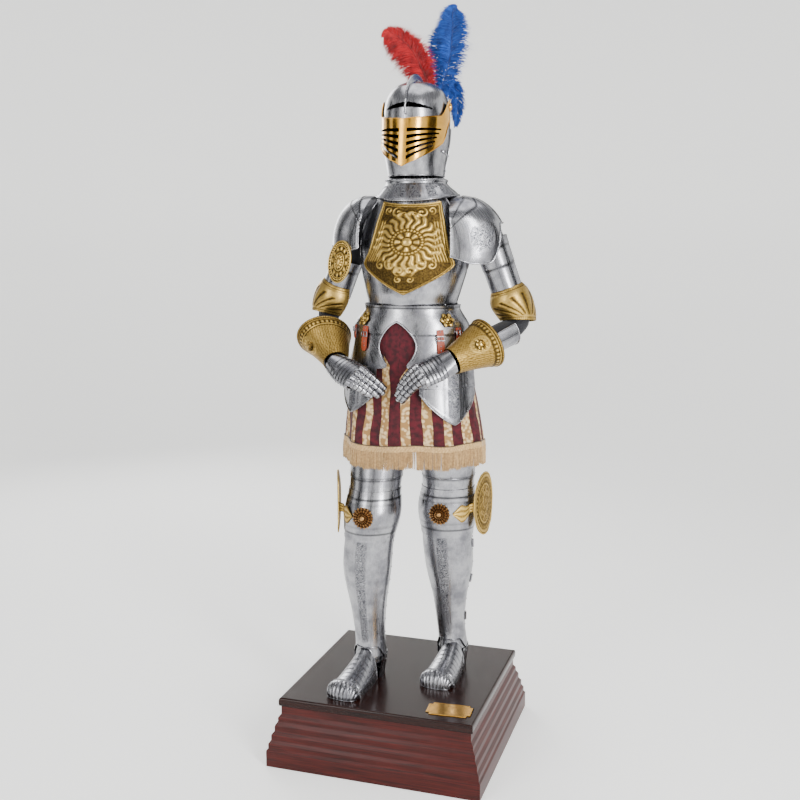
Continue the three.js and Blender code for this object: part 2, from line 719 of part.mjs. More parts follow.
// Upper edge of breast and back plate by angle in degrees from the middle.
const BREAST_TOP = [
  { deg: 0, z: 1466 },
  { deg: 30, z: 1470 },
  { deg: 56, z: 1494 },
  { deg: 66, z: 1396 },
  { deg: 76, z: 1318 },
  { deg: 90, z: 1262 },
]
const WAIST = 1150

function trunkPlates() {
  const columns = [-89.5, -76, -66, -56, -28, 0, 28, 56, 66, 76, 89.5]
  const rows = [0, 0.06, 0.3, 0.6, 0.93, 0.97, 1]
  const edge = (v) => (v > 0.95 ? ROLL : 0) + (v < 0.03 ? ROLL * 0.6 : 0)
  const topAt = (a) => read(BREAST_TOP, 'deg', Math.abs(a) * 180 / Math.PI).z
  add('breastplate', sheet({
    us: columns.map(rad),
    vs: rows,
    at: (a, v) => trunkPoint(a, mix(WAIST, topAt(a), v), edge(v)),
    wall: STEEL,
  }), 'steel')
  add('backplate', sheet({
    us: columns.map((d) => rad(d + 180)),
    vs: rows,
    at: (a, v) => trunkPoint(a, mix(WAIST, topAt(a - Math.PI), v), edge(v)),
    wall: STEEL,
  }), 'steel')
}

// Outline of the chest shield: height, left and right edge in degrees round the breast.
const SHIELD = [
  { z: 1192, left: 3.5, right: 4.5 },
  { z: 1206, left: -8, right: 16 },
  { z: 1236, left: -30, right: 38 },
  { z: 1268, left: -49, right: 57 },
  { z: 1280, left: -52, right: 60 },
  { z: 1310, left: -43, right: 52 },
  { z: 1360, left: -37, right: 47 },
  { z: 1420, left: -35, right: 45 },
  { z: 1457, left: -37, right: 48 },
]
const SHIELD_RELIEF = { border: 4.5, boss: 11, bossRadius: 0.34, centre: 0.56, petals: 12 }

function chestShield() {
  const columns = 14
  add('chest_shield', sheet({
    us: span(-1, 1, columns),
    vs: [0, 0.06, 0.2, 0.31, 0.4, 0.49, 0.58, 0.67, 0.8, 0.96, 1],
    at: (u, v) => {
      const row = read(SHIELD, 'z', mix(SHIELD[0].z, SHIELD[SHIELD.length - 1].z, v))
      const a = rad(mix(row.left, row.right, (u + 1) / 2))
      const dip = v > 0.8 ? -9 * (1 - u * u) * ((v - 0.8) / 0.2) : 0
      const rim = Math.abs(u) > 0.93 || v > 0.98 || v < 0.02 ? SHIELD_RELIEF.border : 0
      const du = u / 0.8
      const dv = (v - SHIELD_RELIEF.centre) * 1.9
      const r = Math.hypot(du, dv)
      const dome = SHIELD_RELIEF.boss * Math.max(0, 1 - (r / SHIELD_RELIEF.bossRadius) ** 2)
      const ray = Math.atan2(dv, du)
      const petal = r > 0.34 && r < 0.8 ? 3 * (0.5 + 0.5 * Math.cos(SHIELD_RELIEF.petals * ray)) : 0
      return trunkPoint(a, row.z + dip, SEAM + BRASS + rim + dome + petal)
    },
    wall: BRASS,
  }), 'relief')
}

// Hip plates: fauld in front with its arch, culet behind.
const FAULD = [
  { z: 975, x: 26, y: -6, w: 195, f: 142, b: 156 },
  { z: 1020, x: 28, y: -6, w: 180, f: 139, b: 148 },
  { z: 1075, x: 29, y: -6, w: 171, f: 134, b: 130 },
  { z: 1105, x: 28, y: -6, w: 168, f: 129, b: 118 },
  { z: 1147, x: 30, y: -6, w: 141, f: 119, b: 93 },
  { z: 1160, x: 30, y: -6, w: 141.6, f: 119.5, b: 93.5 },
]
const FAULD_LOW = 984
const FAULD_LAME = 1078
// Lower edge of the fauld from its middle outwards: x from the arch's centre line and height,
// with the matching angle of the upper edge.
const FAULD_EDGE = [
  { t: 0.0, x: 0, z: 1116, deg: 0 },
  { t: 0.1, x: 20, z: 1104, deg: 9 },
  { t: 0.2, x: 45, z: 1076, deg: 24 },
  { t: 0.3, x: 56, z: 1046, deg: 38 },
  { t: 0.4, x: 47, z: 1012, deg: 48 },
  { t: 0.48, x: 32, z: 992, deg: 55 },
  { t: 0.54, x: 42, z: 984, deg: 60 },
  { t: 0.7, x: 108, z: 982, deg: 70 },
  { t: 0.85, x: 165, z: 982, deg: 82 },
  { t: 1.0, x: 190, z: 982, deg: 95 },
]
const ARCH_X = -6

function fauldPoint(a, z, grow) {
  const row = read(FAULD, 'z', z)
  row.z = z
  return ellipsePoint(row, a, grow)
}

function hipPlates() {
  const us = span(-1, 1, 18)
  add('fauld', sheet({
    us,
    vs: [0, 0.47, 0.5, 0.8, 0.95, 1],
    at: (u, v) => {
      const edge = read(FAULD_EDGE, 't', Math.abs(u))
      const side = u < 0 ? -1 : 1
      const row = read(FAULD, 'z', edge.z)
      const offset = side * edge.x + (Math.abs(u) < 0.6 ? ARCH_X * (1 - Math.abs(u) / 0.6) : 0)
      const lowAngle = Math.asin(THREE.MathUtils.clamp(offset / row.w, -0.999, 0.999))
      const lowA = Math.abs(u) > 0.985 ? side * rad(95) : lowAngle
      const a = mix(side * rad(edge.deg), lowA, ease(v) * 0.5 + v * 0.5)
      const z = mix(1160, edge.z, v)
      const rim = v > 0.93 ? ROLL : 0
      return fauldPoint(a, z, SEAM + STEEL + rim + (z > FAULD_LAME ? LAME_STEP : 0))
    },
    wall: STEEL,
  }), 'steel')
  add('culet', sheet({
    us: span(rad(95.5), rad(264.5), 10),
    vs: [1160, FAULD_LAME + 0.6, FAULD_LAME - 0.6, 1025, FAULD_LOW + 4, FAULD_LOW],
    at: (a, z) => fauldPoint(a, z, SEAM + STEEL + (z < FAULD_LOW + 5 ? ROLL : 0) + (z > FAULD_LAME ? LAME_STEP : 0)),
    wall: STEEL,
  }), 'steel')
}

// Tassets: two lames a side, the lower one ends in a point.
const TASSET_GROW = 4
const TASSET = {
  R: { mid: -46, half: 28, top: 981.5, split: 925, low: 905, point: 846 },
  L: { mid: 50, half: 31, top: 981.5, split: 932, low: 905, point: 822 },
}

function tassetPoint(deg, z, grow) {
  const row = read(FAULD, 'z', Math.max(975, z))
  const lean = Math.max(0, 975 - z) * 0.09
  row.z = z
  return ellipsePoint(row, rad(deg), grow + lean)
}

function tassets() {
  for (const { id } of SIDES) {
    const t = TASSET[id]
    const us = span(-1, 1, 10)
    const under = TASSET_GROW
    add(`tasset_upper_${id}`, sheet({
      us,
      vs: [t.top, mix(t.top, t.split, 0.5), t.split - 6],
      at: (u, z) => tassetPoint(t.mid + u * t.half, z, under + STEEL + SEAM + 2 * Math.max(0, 1 - u * u * 9)),
      wall: STEEL,
    }), 'steel')
    add(`tasset_lower_${id}`, sheet({
      us,
      vs: [0, 0.45, 0.93, 1],
      at: (u, v) => {
        const lowEdge = mix(t.point, t.low, Math.abs(u) ** 1.35) + (Math.abs(u) > 0.8 ? 6 : 0)
        const z = mix(t.split + 12, lowEdge, v)
        const rim = v > 0.96 ? ROLL * 0.7 : 0
        return tassetPoint(t.mid + u * (t.half - 0.6), z, under + rim + 2 * Math.max(0, 1 - u * u * 9))
      },
      wall: STEEL,
    }), 'steel')
  }
}

// Leather straps and rosettes at the fauld's lower lame.
const STRAPS = [
  { id: '1', deg: -62, top: 1100, low: 1060 },
  { id: '2', deg: -38, top: 1100, low: 1028 },
  { id: '3', deg: 41, top: 1094, low: 1018 },
  { id: '4', deg: 64, top: 1098, low: 1056 },
]
const STRAP = { half: 9.5, gap: 0.45 }
const HIP_ROSETTES = [
  { id: 'R', deg: -45, z: 1120 },
  { id: 'L', deg: 52, z: 1120 },
]

function strapsAndRosettes() {
  const over = SEAM + STEEL + LAME_STEP + STRAP.gap + LEATHER
  for (const strap of STRAPS) {
    const widthAngle = (STRAP.half / 150) * (180 / Math.PI)
    add(`strap_${strap.id}`, sheet({
      us: span(-1, 1, 1),
      vs: span(0, 1, 4),
      at: (u, v) => {
        const z = mix(strap.top, strap.low, v)
        const narrow = v > 0.95 ? 0.5 : 1
        return fauldPoint(rad(strap.deg + u * widthAngle * narrow), z, over + 3 * Math.sin(Math.PI * v))
      },
      wall: LEATHER,
    }), 'strap')
  }
  for (const row of HIP_ROSETTES) {
    const at = fauldPoint(rad(row.deg), row.z, SEAM + STEEL + LAME_STEP + 1.9)
    const out = ellipseOut(read(FAULD, 'z', row.z), rad(row.deg), 0.55)
    add(`hip_rosette_${row.id}`, boss({
      at,
      out,
      up: vec(0, 0, 1),
      sides: 12,
      lobes: 6,
      lobeDepth: 0.12,
      rings: [
        { r: 20, h: 0 },
        { r: 20, h: 2.5, lobed: 1 },
        { r: 14, h: 5.5, lobed: 1 },
        { r: 9, h: 5 },
        { r: 6, h: 9 },
      ],
    }), 'relief')
  }
}

// Gorget and helmet.
const GORGET = [
  { z: 1470, x: 46, y: -6, w: 123, f: 120, b: 110 },
  { z: 1482, x: 44, y: -5, w: 116, f: 112, b: 105 },
  { z: 1504, x: 41, y: -4, w: 99, f: 97, b: 96 },
  { z: 1524, x: 40, y: -4, w: 92, f: 92, b: 94 },
]
const GORGET_DIP = 17
// Rows of the gorget from its rolled lower edge up to the turned ring at the neck.
const GORGET_ROWS = [
  { z: 1474, grow: ROLL },
  { z: 1478, grow: 0 },
  { z: 1492, grow: 0 },
  { z: 1510, grow: 0 },
  { z: 1514, grow: 5 },
  { z: 1520, grow: 5 },
  { z: 1526.4, grow: -5 },
]

function gorgetPoint(a, z, grow) {
  const row = read(GORGET, 'z', z)
  row.z = z - GORGET_DIP * Math.max(0, Math.cos(a)) ** 1.5 * ease((1512 - z) / 36)
  return ellipsePoint(row, a, grow)
}

function gorget() {
  add('gorget', sheet({
    us: turn(18),
    vs: GORGET_ROWS.map((row) => row.z),
    at: (a, z, i, j) => gorgetPoint(a, z, GORGET_ROWS[j].grow),
    wall: STEEL,
    closed: true,
  }), 'steel')
}

// Skull sections: height, half width, depth to the front and to the back.
const SKULL = [
  { z: 1524, x: 40, y: -4, w: 86, f: 88, b: 92 },
  { z: 1560, x: 40, y: -4, w: 86, f: 92, b: 98 },
  { z: 1620, x: 40, y: -2, w: 91, f: 106, b: 112 },
  { z: 1680, x: 40, y: 0, w: 94, f: 112, b: 120 },
  { z: 1720, x: 40, y: 2, w: 92, f: 112, b: 120 },
  { z: 1755, x: 40, y: 4, w: 82, f: 101, b: 110 },
  { z: 1778, x: 40, y: 6, w: 64, f: 80, b: 88 },
  { z: 1790, x: 40, y: 8, w: 42, f: 54, b: 60 },
  { z: 1796, x: 40, y: 8, w: 16, f: 22, b: 24 },
]

function skullPoint(a, z, grow) {
  const row = read(SKULL, 'z', z)
  row.z = z
  return ellipsePoint(row, a, grow)
}

// Comb: a blade over the middle of the skull, from the brow over the crown to the nape.
const COMB = { from: 8, to: 152, tall: 19, flat: 0.62 }
const EYE_SLIT = { z: 1712, rise: 12, half: 9, from: 8, to: 68, parts: 3 }

function skullArc(theta, grow) {
  const c = Math.cos(theta)
  const s = Math.sin(theta)
  const depth = c > 0 ? 110 : 116
  return vec(HEAD_AXIS.x, 2 - (depth + grow) * c, 1690 + (106 + grow) * s)
}

function combBlade() {
  const path = span(rad(COMB.from), rad(COMB.to), 9).map((theta, k) => {
    const tall = COMB.tall * Math.sin(Math.PI * (0.07 + 0.88 * (k / 9))) ** 0.7
    return { p: skullArc(theta, tall * 0.5 - 2), r: tall * 0.5 + 2 }
  })
  return spindle(path, 6, vec(1, 0, 0), COMB.flat)
}

function skull() {
  const openFrom = 62
  const lowAt = (a) => {
    const deg = Math.abs(THREE.MathUtils.euclideanModulo(a + Math.PI, 2 * Math.PI) - Math.PI) * 180 / Math.PI
    return mix(1690, 1527, ease((deg - openFrom) / 26))
  }
  const angles = [0, 12, 26, 42, 58, 67, 76, 85, 100, 125, 150, 180]
  const all = [...angles, ...angles.slice(1, -1).reverse().map((d) => 360 - d)].map(rad)
  const shell = sheet({
    us: all,
    vs: [0, 0.25, 0.5, 0.72, 0.88, 0.96, 1],
    at: (a, v) => skullPoint(a, mix(lowAt(a), 1796, v), 0),
    wall: STEEL,
    closed: true,
  })
  const cap = boss({
    at: vec(HEAD_AXIS.x, 8, 1791),
    out: vec(0, 0, 1),
    up: vec(0, -1, 0),
    sides: 8,
    rings: [{ r: 22, h: 0 }, { r: 20, h: 4.2 }, { r: 8, h: 7 }],
  })
  const slits = SIDES.map(({ sign }) => {
    const outline = []
    for (let k = 0; k <= EYE_SLIT.parts; k += 1) {
      const t = k / EYE_SLIT.parts
      outline.push([mix(EYE_SLIT.from, EYE_SLIT.to, t), EYE_SLIT.rise * (1 - t) + EYE_SLIT.half * Math.sin(Math.PI * (0.12 + 0.88 * t))])
    }
    for (let k = EYE_SLIT.parts; k >= 0; k -= 1) {
      const t = k / EYE_SLIT.parts
      outline.push([mix(EYE_SLIT.from, EYE_SLIT.to, t), EYE_SLIT.rise * (1 - t) - 3 - 2 * Math.sin(Math.PI * t)])
    }
    const shape = new THREE.Shape(outline.map(([x, z]) => new THREE.Vector2(sign * x, z)))
    const solid = new THREE.ExtrudeGeometry(shape, { depth: 80, bevelEnabled: false })
    solid.rotateX(rad(90))
    solid.translate(HEAD_AXIS.x, -60, EYE_SLIT.z)
    return solid
  })
  add('helmet_skull', cut(join(shell, cap, combBlade()), ...slits), 'steel')
}

const BEVOR_GAP = 1.5

// Bevor: lower face plate inside the visor, deeper at the chin.
function bevor() {
  add('helmet_bevor', sheet({
    us: [-112, -100, -85, -76, -67, -58, -42, -26, -12, 0, 12, 26, 42, 58, 67, 76, 85, 100, 112].map(rad),
    vs: [0, 0.33, 0.66, 1],
    at: (a, v) => {
      const deg = Math.abs(a) * 180 / Math.PI
      const high = mix(1590, 1664, ease(deg / 75))
      const z = mix(1528, high, v)
      const chin = 16 * Math.max(0, Math.cos(a)) ** 2 * Math.sin(Math.PI * clamp01((z - 1510) / 130))
      return skullPoint(a, z, BEVOR_GAP + STEEL + chin)
    },
    wall: STEEL,
  }), 'steel')
}

// Brass visor: V shaped lower edge, keel in the middle, arms back to the pivots.
const VISOR = { top: 1690, point: 1552, side: 1622, slits: 5 }

function visorPoint(a, z, grow) {
  const row = read(SKULL, 'z', z)
  const front = Math.max(0, Math.cos(a))
  const keel = 26 * front ** 3 * (0.5 + 0.5 * ease((VISOR.top + 15 - z) / 130))
  row.z = z
  row.w = 96.5
  row.f = 116
  row.y = 0
  return ellipsePoint(row, a, grow + keel + 2.5)
}

function visor() {
  const plate = sheet({
    us: [-90, -74, -54, -34, -16, 0, 16, 34, 54, 74, 90].map(rad),
    vs: [0, 0.33, 0.66, 1],
    at: (a, v) => {
      const t = Math.abs(a) / rad(90)
      const low = mix(VISOR.point, VISOR.side, Math.min(1, t * 1.3)) + 62 * ease((t - 0.72) / 0.28)
      const high = mix(VISOR.top, VISOR.top + 8, t) + 44 * ease((t - 0.68) / 0.32)
      return visorPoint(a, mix(low, high, v), 0)
    },
    wall: BRASS,
  })
  const cutters = []
  for (const { sign } of SIDES) {
    for (let k = 0; k < VISOR.slits; k += 1) {
      const inner = 1664 - k * 20
      const outerX = 76
      const outer = 1684 - k * 14
      const shape = new THREE.Shape([
        new THREE.Vector2(sign * 12, inner - 3),
        new THREE.Vector2(sign * outerX, outer - 3.5),
        new THREE.Vector2(sign * outerX, outer + 3.5),
        new THREE.Vector2(sign * 12, inner + 3),
      ])
      const solid = new THREE.ExtrudeGeometry(shape, { depth: 140, bevelEnabled: false })
      solid.rotateX(rad(90))
      solid.translate(HEAD_AXIS.x, -20, 0)
      cutters.push(solid)
    }
  }
  const arms = SIDES.map(({ sign }) => boss({
    at: vec(HEAD_AXIS.x + sign * VISOR_PIVOT.half, VISOR_PIVOT.y, VISOR_PIVOT.z),
    out: vec(sign, 0, 0),
    up: vec(0, 0, 1),
    sides: 8,
    rings: [{ r: 13, h: 0 }, { r: 13, h: 3 }, { r: 8, h: 6 }],
  }))
  add('helmet_visor', join(cut(plate, ...cutters), ...arms), 'brass')
}

// Plumes.
const PLUME_HOLDER = { x: 40, y: 124.9, z: 1640, top: 1699.4, r: 9 }
// Feather paths from the holder: position, half width, seen from the front.
const PLUMES = {
  plume_red: [
    { x: 40, y: 136, z: 1705, r: 4 },
    { x: 38, y: 132, z: 1790, r: 26 },
    { x: 18, y: 118, z: 1846, r: 52 },
    { x: -6, y: 100, z: 1898, r: 54 },
    { x: -40, y: 84, z: 1934, r: 40 },
    { x: -70, y: 72, z: 1950, r: 18 },
    { x: -86, y: 66, z: 1936, r: 5 },
  ],
  blue_tall: [
    { x: 48, y: 144.5, z: 1701.5, r: 6 },
    { x: 70, y: 150, z: 1790, r: 28 },
    { x: 90, y: 156, z: 1870, r: 50 },
    { x: 98, y: 156, z: 1940, r: 52 },
    { x: 102, y: 148, z: 1990, r: 42 },
    { x: 108, y: 138, z: 2020, r: 20 },
    { x: 124, y: 128, z: 2028, r: 5 },
  ],
  blue_side: [
    { x: 48, y: 144.5, z: 1701.5, r: 6 },
    { x: 54, y: 160, z: 1790, r: 24 },
    { x: 48, y: 168, z: 1870, r: 36 },
    { x: 54, y: 170, z: 1940, r: 34 },
    { x: 76, y: 162, z: 1990, r: 8 },
  ],
  blue_low: [
    { x: 48, y: 144.5, z: 1701.5, r: 6 },
    { x: 76, y: 164, z: 1790, r: 26 },
    { x: 102, y: 172, z: 1806, r: 28 },
    { x: 114, y: 174, z: 1752, r: 22 },
    { x: 112, y: 168, z: 1680, r: 5 },
  ],
}

function plumes() {
  add('plume_holder', spindle([
    { p: vec(PLUME_HOLDER.x, PLUME_HOLDER.y, PLUME_HOLDER.z), r: 5 },
    { p: vec(PLUME_HOLDER.x, PLUME_HOLDER.y, PLUME_HOLDER.z + 10), r: PLUME_HOLDER.r },
    { p: vec(PLUME_HOLDER.x, PLUME_HOLDER.y + 4, PLUME_HOLDER.z + 50), r: PLUME_HOLDER.r - 2 },
    { p: vec(PLUME_HOLDER.x + 6, PLUME_HOLDER.y + 18, PLUME_HOLDER.top), r: PLUME_HOLDER.r },
  ], 10), 'brass')
  const bodies = {}
  for (const [name, rows] of Object.entries(PLUMES)) {
    const table = rows.map((row, k) => ({ ...row, s: k }))
    const path = span(0, table.length - 1, 7).map((s) => {
      const row = read(table, 's', s)
      return { p: vec(row.x, row.y, row.z), r: Math.max(3, row.r) }
    })
    bodies[name] = spindle(path, 6, vec(0.18, 1, 0.1), 0.42)
  }
  add('plume_red', bodies.plume_red, 'plumeRed')
  add('plume_blue', join(bodies.blue_tall, bodies.blue_side, bodies.blue_low), 'plumeBlue')
}

// Arms.
// Joints of each arm: shoulder, elbow, wrist, knuckles, fingertips.
const ARM = {
  R: {
    shoulder: [-138, -4, 1392],
    elbow: [-252, 26, 1112],
    wrist: [-160, -142, 984],
    knuckle: [-80, -190, 955],
    tip: [-8, -194, 912],
    palm: [0.42, 0.5, -0.76],
  },
  L: {
    shoulder: [243, -4, 1392],
    elbow: [342, 34, 1104],
    wrist: [176, -152, 1002],
    knuckle: [112, -194, 970],
    tip: [46, -196, 908],
    palm: [-0.3, 0.5, -0.81],
  },
}
const UPPER_ARM = { shoulder: 50, elbow: 45, from: { R: 0.36, L: 0.16 }, to: 0.74 }
const FOREARM = { elbow: 47, wrist: 35, from: 0.14, to: 0.9, reach: 100 }

function frameAlong(from, to, side) {
  const axis = vec(0, 0, 0).subVectors(to, from)
  const length = axis.length()
  axis.normalize()
  const out = side.clone().addScaledVector(axis, -side.dot(axis)).normalize()
  const cross = vec(0, 0, 0).crossVectors(axis, out)
  return { from, axis, out, cross, length }
}

// Point round an axis: along it by t, at angle a measured from `out` towards `cross`.
function around(frame, t, a, r, rCross = r, shift = 0) {
  return frame.from.clone().addScaledVector(frame.axis, frame.length * t)
    .addScaledVector(frame.out, shift + r * Math.cos(a))
    .addScaledVector(frame.cross, rCross * Math.sin(a))
}

const joint = (id, name) => vec(...ARM[id][name])

function armPieces() {
  for (const { id, sign } of SIDES) {
    const upper = frameAlong(joint(id, 'shoulder'), joint(id, 'elbow'), vec(sign * 0.8, -0.6, 0))
    const fore = frameAlong(joint(id, 'elbow'), joint(id, 'wrist'), vec(sign * 0.8, -0.5, 0.3))
    const upperRadius = (t) => mix(UPPER_ARM.shoulder, UPPER_ARM.elbow, t)
    const lames = id === 'L' ? [0.24, 0.42] : [0.46]
    const gutter = frameAlong(joint(id, 'elbow'), joint(id, 'wrist'), vec(sign * 0.62, 0.2, -0.75))
    add(`rerebrace_${id}`, sheet({
      us: turn(12),
      vs: steppedRows(UPPER_ARM.from[id], UPPER_ARM.to, lames, 0.6, 0.004),
      at: (a, t) => around(upper, t, a, upperRadius(t) + lames.reduce((s, e) => s + (t < e ? 1.2 : 0), 0)),
      wall: STEEL,
      closed: true,
    }), 'steel')
    sleeve(id, upper, fore)
    couter(id, sign)
    add(`vambrace_${id}`, sheet({
      us: span(rad(-FOREARM.reach), rad(FOREARM.reach), 10),
      vs: [FOREARM.from, FOREARM.from + 0.04, 0.5, FOREARM.to],
      at: (a, t) => {
        const rim = t < FOREARM.from + 0.02 ? ROLL : 0
        return around(gutter, t, a, mix(FOREARM.elbow, FOREARM.wrist, ease(t)) + rim)
      },
      wall: STEEL,
    }), 'steel')
    gauntlet(id, sign, fore)
    pauldron(id, sign)
  }
  besagew()
}

// How far the sleeve runs up under the shoulder cap, as a share of the upper arm.
const SLEEVE_RISE = { R: 0.18, L: 0.06 }

// Cloth sleeve from the armpit through the bent elbow into the vambrace.
function sleeve(id, upper, fore) {
  const bend = []
  const stations = [
    { p: around(upper, UPPER_ARM.from[id] - SLEEVE_RISE[id], 0, 0), r: 42.6 },
    { p: around(upper, 0.5, 0, 0), r: 42.6 },
    { p: around(upper, 0.8, 0, 0), r: 41 },
    { p: around(upper, 0.97, 0, 0), r: 33 },
    { p: around(fore, 0.1, 0, 0), r: 30 },
    { p: around(fore, 0.26, 0, 0), r: 34 },
    { p: around(fore, 0.7, 0, 0), r: 34.7 },
  ]
  stations.forEach((station, k) => {
    const next = stations[Math.min(stations.length - 1, k + 1)].p
    const prev = stations[Math.max(0, k - 1)].p
    bend.push(frameAlong(station.p, station.p.clone().add(vec(0, 0, 0).subVectors(next, prev)), upper.out))
  })
  add(`arming_sleeve_${id}`, sheet({
    us: turn(8),
    vs: stations.map((_, k) => k),
    at: (a, k) => around(bend[k], 0, a, stations[k].r + 0.8 * Math.cos(5 * a + k)),
    wall: CLOTH,
    closed: true,
  }), 'sleeve')
}

// Elbow plate: deep dish on the outer front of the elbow with radial flutes and a raised rim.
const COUTER = { radius: 62, high: 114, low: 10, tilt: 0.5, reach: 116, rim: 2.4, flute: 1.5, pinch: 0.425 }

function couter(id, sign) {
  const elbow = joint(id, 'elbow')
  const upperWay = elbow.clone().sub(joint(id, 'shoulder')).normalize()
  const foreWay = joint(id, 'wrist').sub(elbow).normalize()
  const bend = upperWay.clone().add(foreWay).normalize()
  const out = vec(sign * 0.8, -0.6, 0.1)
  add(`couter_${id}`, sheet({
    us: span(-1, 1, 10),
    vs: [-1, -0.9, -0.3, 0.4, 0.9, 1],
    at: (u, v, i) => {
      const a = u * rad(COUTER.reach)
      const fall = Math.sqrt(1 - (v < 0 ? COUTER.pinch : 0.3) * v * v)
      const flute = Math.abs(u) < 0.9 && Math.abs(v) < 0.8 ? COUTER.flute * (i % 2 ? 1 : -1) : 0
      const rim = Math.abs(v) > 0.95 || Math.abs(u) > 0.92 ? COUTER.rim : 0
      const t = (v + 1) / 2
      const centre = elbow.clone().addScaledVector(upperWay, -mix(COUTER.high, COUTER.low, t))
      const way = upperWay.clone().lerp(bend, COUTER.tilt * ease(t)).normalize()
      const frame = frameAlong(centre, centre.clone().add(way), out)
      return around(frame, 0, a, COUTER.radius * fall + flute + rim)
    },
    wall: BRASS,
  }), 'relief')
}

// Pauldron: a cap over the shoulder, its front wing reaching over the chest.
const PAULDRON = {
  R: { centre: [-98, -4, 1338], rx: 80, ox: 40, rz: 78, oz: 63.3, ry: 100, front: 86, back: 80, top: 99.8 },
  L: { centre: [172, -4, 1330], rx: 100, ox: 38, rz: 88, oz: 58.5, ry: 108, front: 90, back: 82, top: 97 },
}

const PAULDRON_LAMES = [0.66, 0.84]
// Height of the lower edge at the arm's outside, at the front wing and at the wing's inner end.
const PAULDRON_EDGE = {
  R: { outer: 1334, wing: 1312, end: 1324 },
  L: { outer: 1396, wing: 1282, end: 1300 },
}

function pauldronPoint(p, sign, phi, theta, grow) {
  const c = Math.cos(theta)
  const s = Math.sin(theta)
  const reach = s < 0 ? p.ox * (1 - 0.95 * s * s) : p.ox
  const x = p.centre[0] + sign * Math.cos(phi) * ((p.rx + grow) * c + reach)
  const z = p.centre[2] + Math.sin(phi) * ((p.rz + grow) * c + p.oz)
  return vec(x, p.centre[1] + (p.ry + grow) * s, z)
}

function pauldron(id, sign) {
  const p = PAULDRON[id]
  const edge = PAULDRON_EDGE[id]
  add(`pauldron_${id}`, sheet({
    us: [-1, -0.94, -0.7, -0.45, -0.2, 0.05, 0.3, 0.6, 0.94, 1],
    vs: steppedRows(0, 1, PAULDRON_LAMES, 0.4, 0.004),
    at: (u, v) => {
      const theta = u < 0 ? u * rad(p.front) : u * rad(p.back)
      const wing = mix(edge.wing, edge.end, ease((-0.6 - u) / 0.4))
      const low = mix(edge.outer, wing, ease((-0.08 - u) / 0.3))
      const height = p.rz * Math.cos(theta) + p.oz
      const from = Math.asin(THREE.MathUtils.clamp((low - p.centre[2]) / height, -1, 1))
      const phi = mix(from, rad(p.top), v)
      const rim = Math.abs(u) > 0.9 ? ROLL : 0
      const lames = PAULDRON_LAMES.reduce((sum, e) => sum - (v > e ? LAME_STEP : 0), 0)
      return pauldronPoint(p, sign, phi, theta, rim + lames)
    },
    wall: STEEL,
  }), 'steel')
}

function besagew() {
  add('besagew_R', boss({
    at: vec(-166.5, -90.9, 1283.5),
    out: vec(-0.32, -0.93, 0.1),
    up: vec(0.16, 0, 1),
    sides: 14,
    lobes: 7,
    lobeDepth: 0.02,
    squash: 0.68,
    rings: [
      { r: 62, h: 0 },
      { r: 64, h: 3, lobed: 1 },
      { r: 62, h: 6, lobed: 1 },
      { r: 54, h: 3.4 },
      { r: 34, h: 6 },
      { r: 30, h: 7 },
      { r: 26, h: 5.4 },
      { r: 18, h: 9 },
      { r: 8, h: 13 },
    ],
  }), 'relief')
}

// Gauntlets.
const CUFF = {
  R: { from: 0.44, to: 0.93, mouth: 82, mouthCross: 76, shift: 26 },
  L: { from: 0.49, to: 0.93, mouth: 74, mouthCross: 74, shift: 20 },
}

function gauntlet(id, sign, fore) {
  const c = CUFF[id]
  const wristGap = FOREARM.wrist + 2.3
  const cuff = sheet({
    us: turn(14),
    vs: [0, 0.1, 0.5, 1],
    at: (a, v) => {
      const flare = (1 - v) ** 1.25
      const bead = v < 0.05 ? 2.4 : 0
      const r = mix(wristGap, c.mouth, flare) + bead
      const rCross = mix(wristGap + 2, c.mouthCross, flare) + bead
      return around(fore, mix(c.from, c.to, v), a, r, rCross, c.shift * flare)
    },
    wall: BRASS,
    closed: true,
  })
  const at = around(fore, mix(c.from, c.to, 0.42), 0.2, 60, 60, 7)
  const emblem = boss({
    at,
    out: fore.out.clone().addScaledVector(fore.axis, -0.28).addScaledVector(fore.cross, 0.2),
    up: vec(0, 0, 1),
    sides: 10,
    lobes: 5,
    lobeDepth: 0.14,
    rings: [{ r: 17, h: 0 }, { r: 17, h: 2, lobed: 1 }, { r: 11, h: 5 }, { r: 6, h: 8 }],
  })
  add(`gauntlet_cuff_${id}`, join(cuff, emblem), 'relief')
  hand(id)
}

// Hand frame: from wrist to knuckles, back of the hand facing away from the palm.
const METACARPAL = { half: 42, high: 24, lames: [0.415, 0.695] }
// Glove and back plate both run from the cuff's end; `open` is the plate's play over the glove there.
const GLOVE = { wrist: { R: 30, L: 33 }, from: { R: -0.1, L: -0.2 }, full: 0.41, inset: 3.2, open: 3 }
const FINGERS = [
  { name: 'index', lane: -0.75, length: 1.0 },
  { name: 'middle', lane: -0.25, length: 1.08 },
  { name: 'ring', lane: 0.25, length: 1.03 },
  { name: 'little', lane: 0.75, length: 0.86 },
]

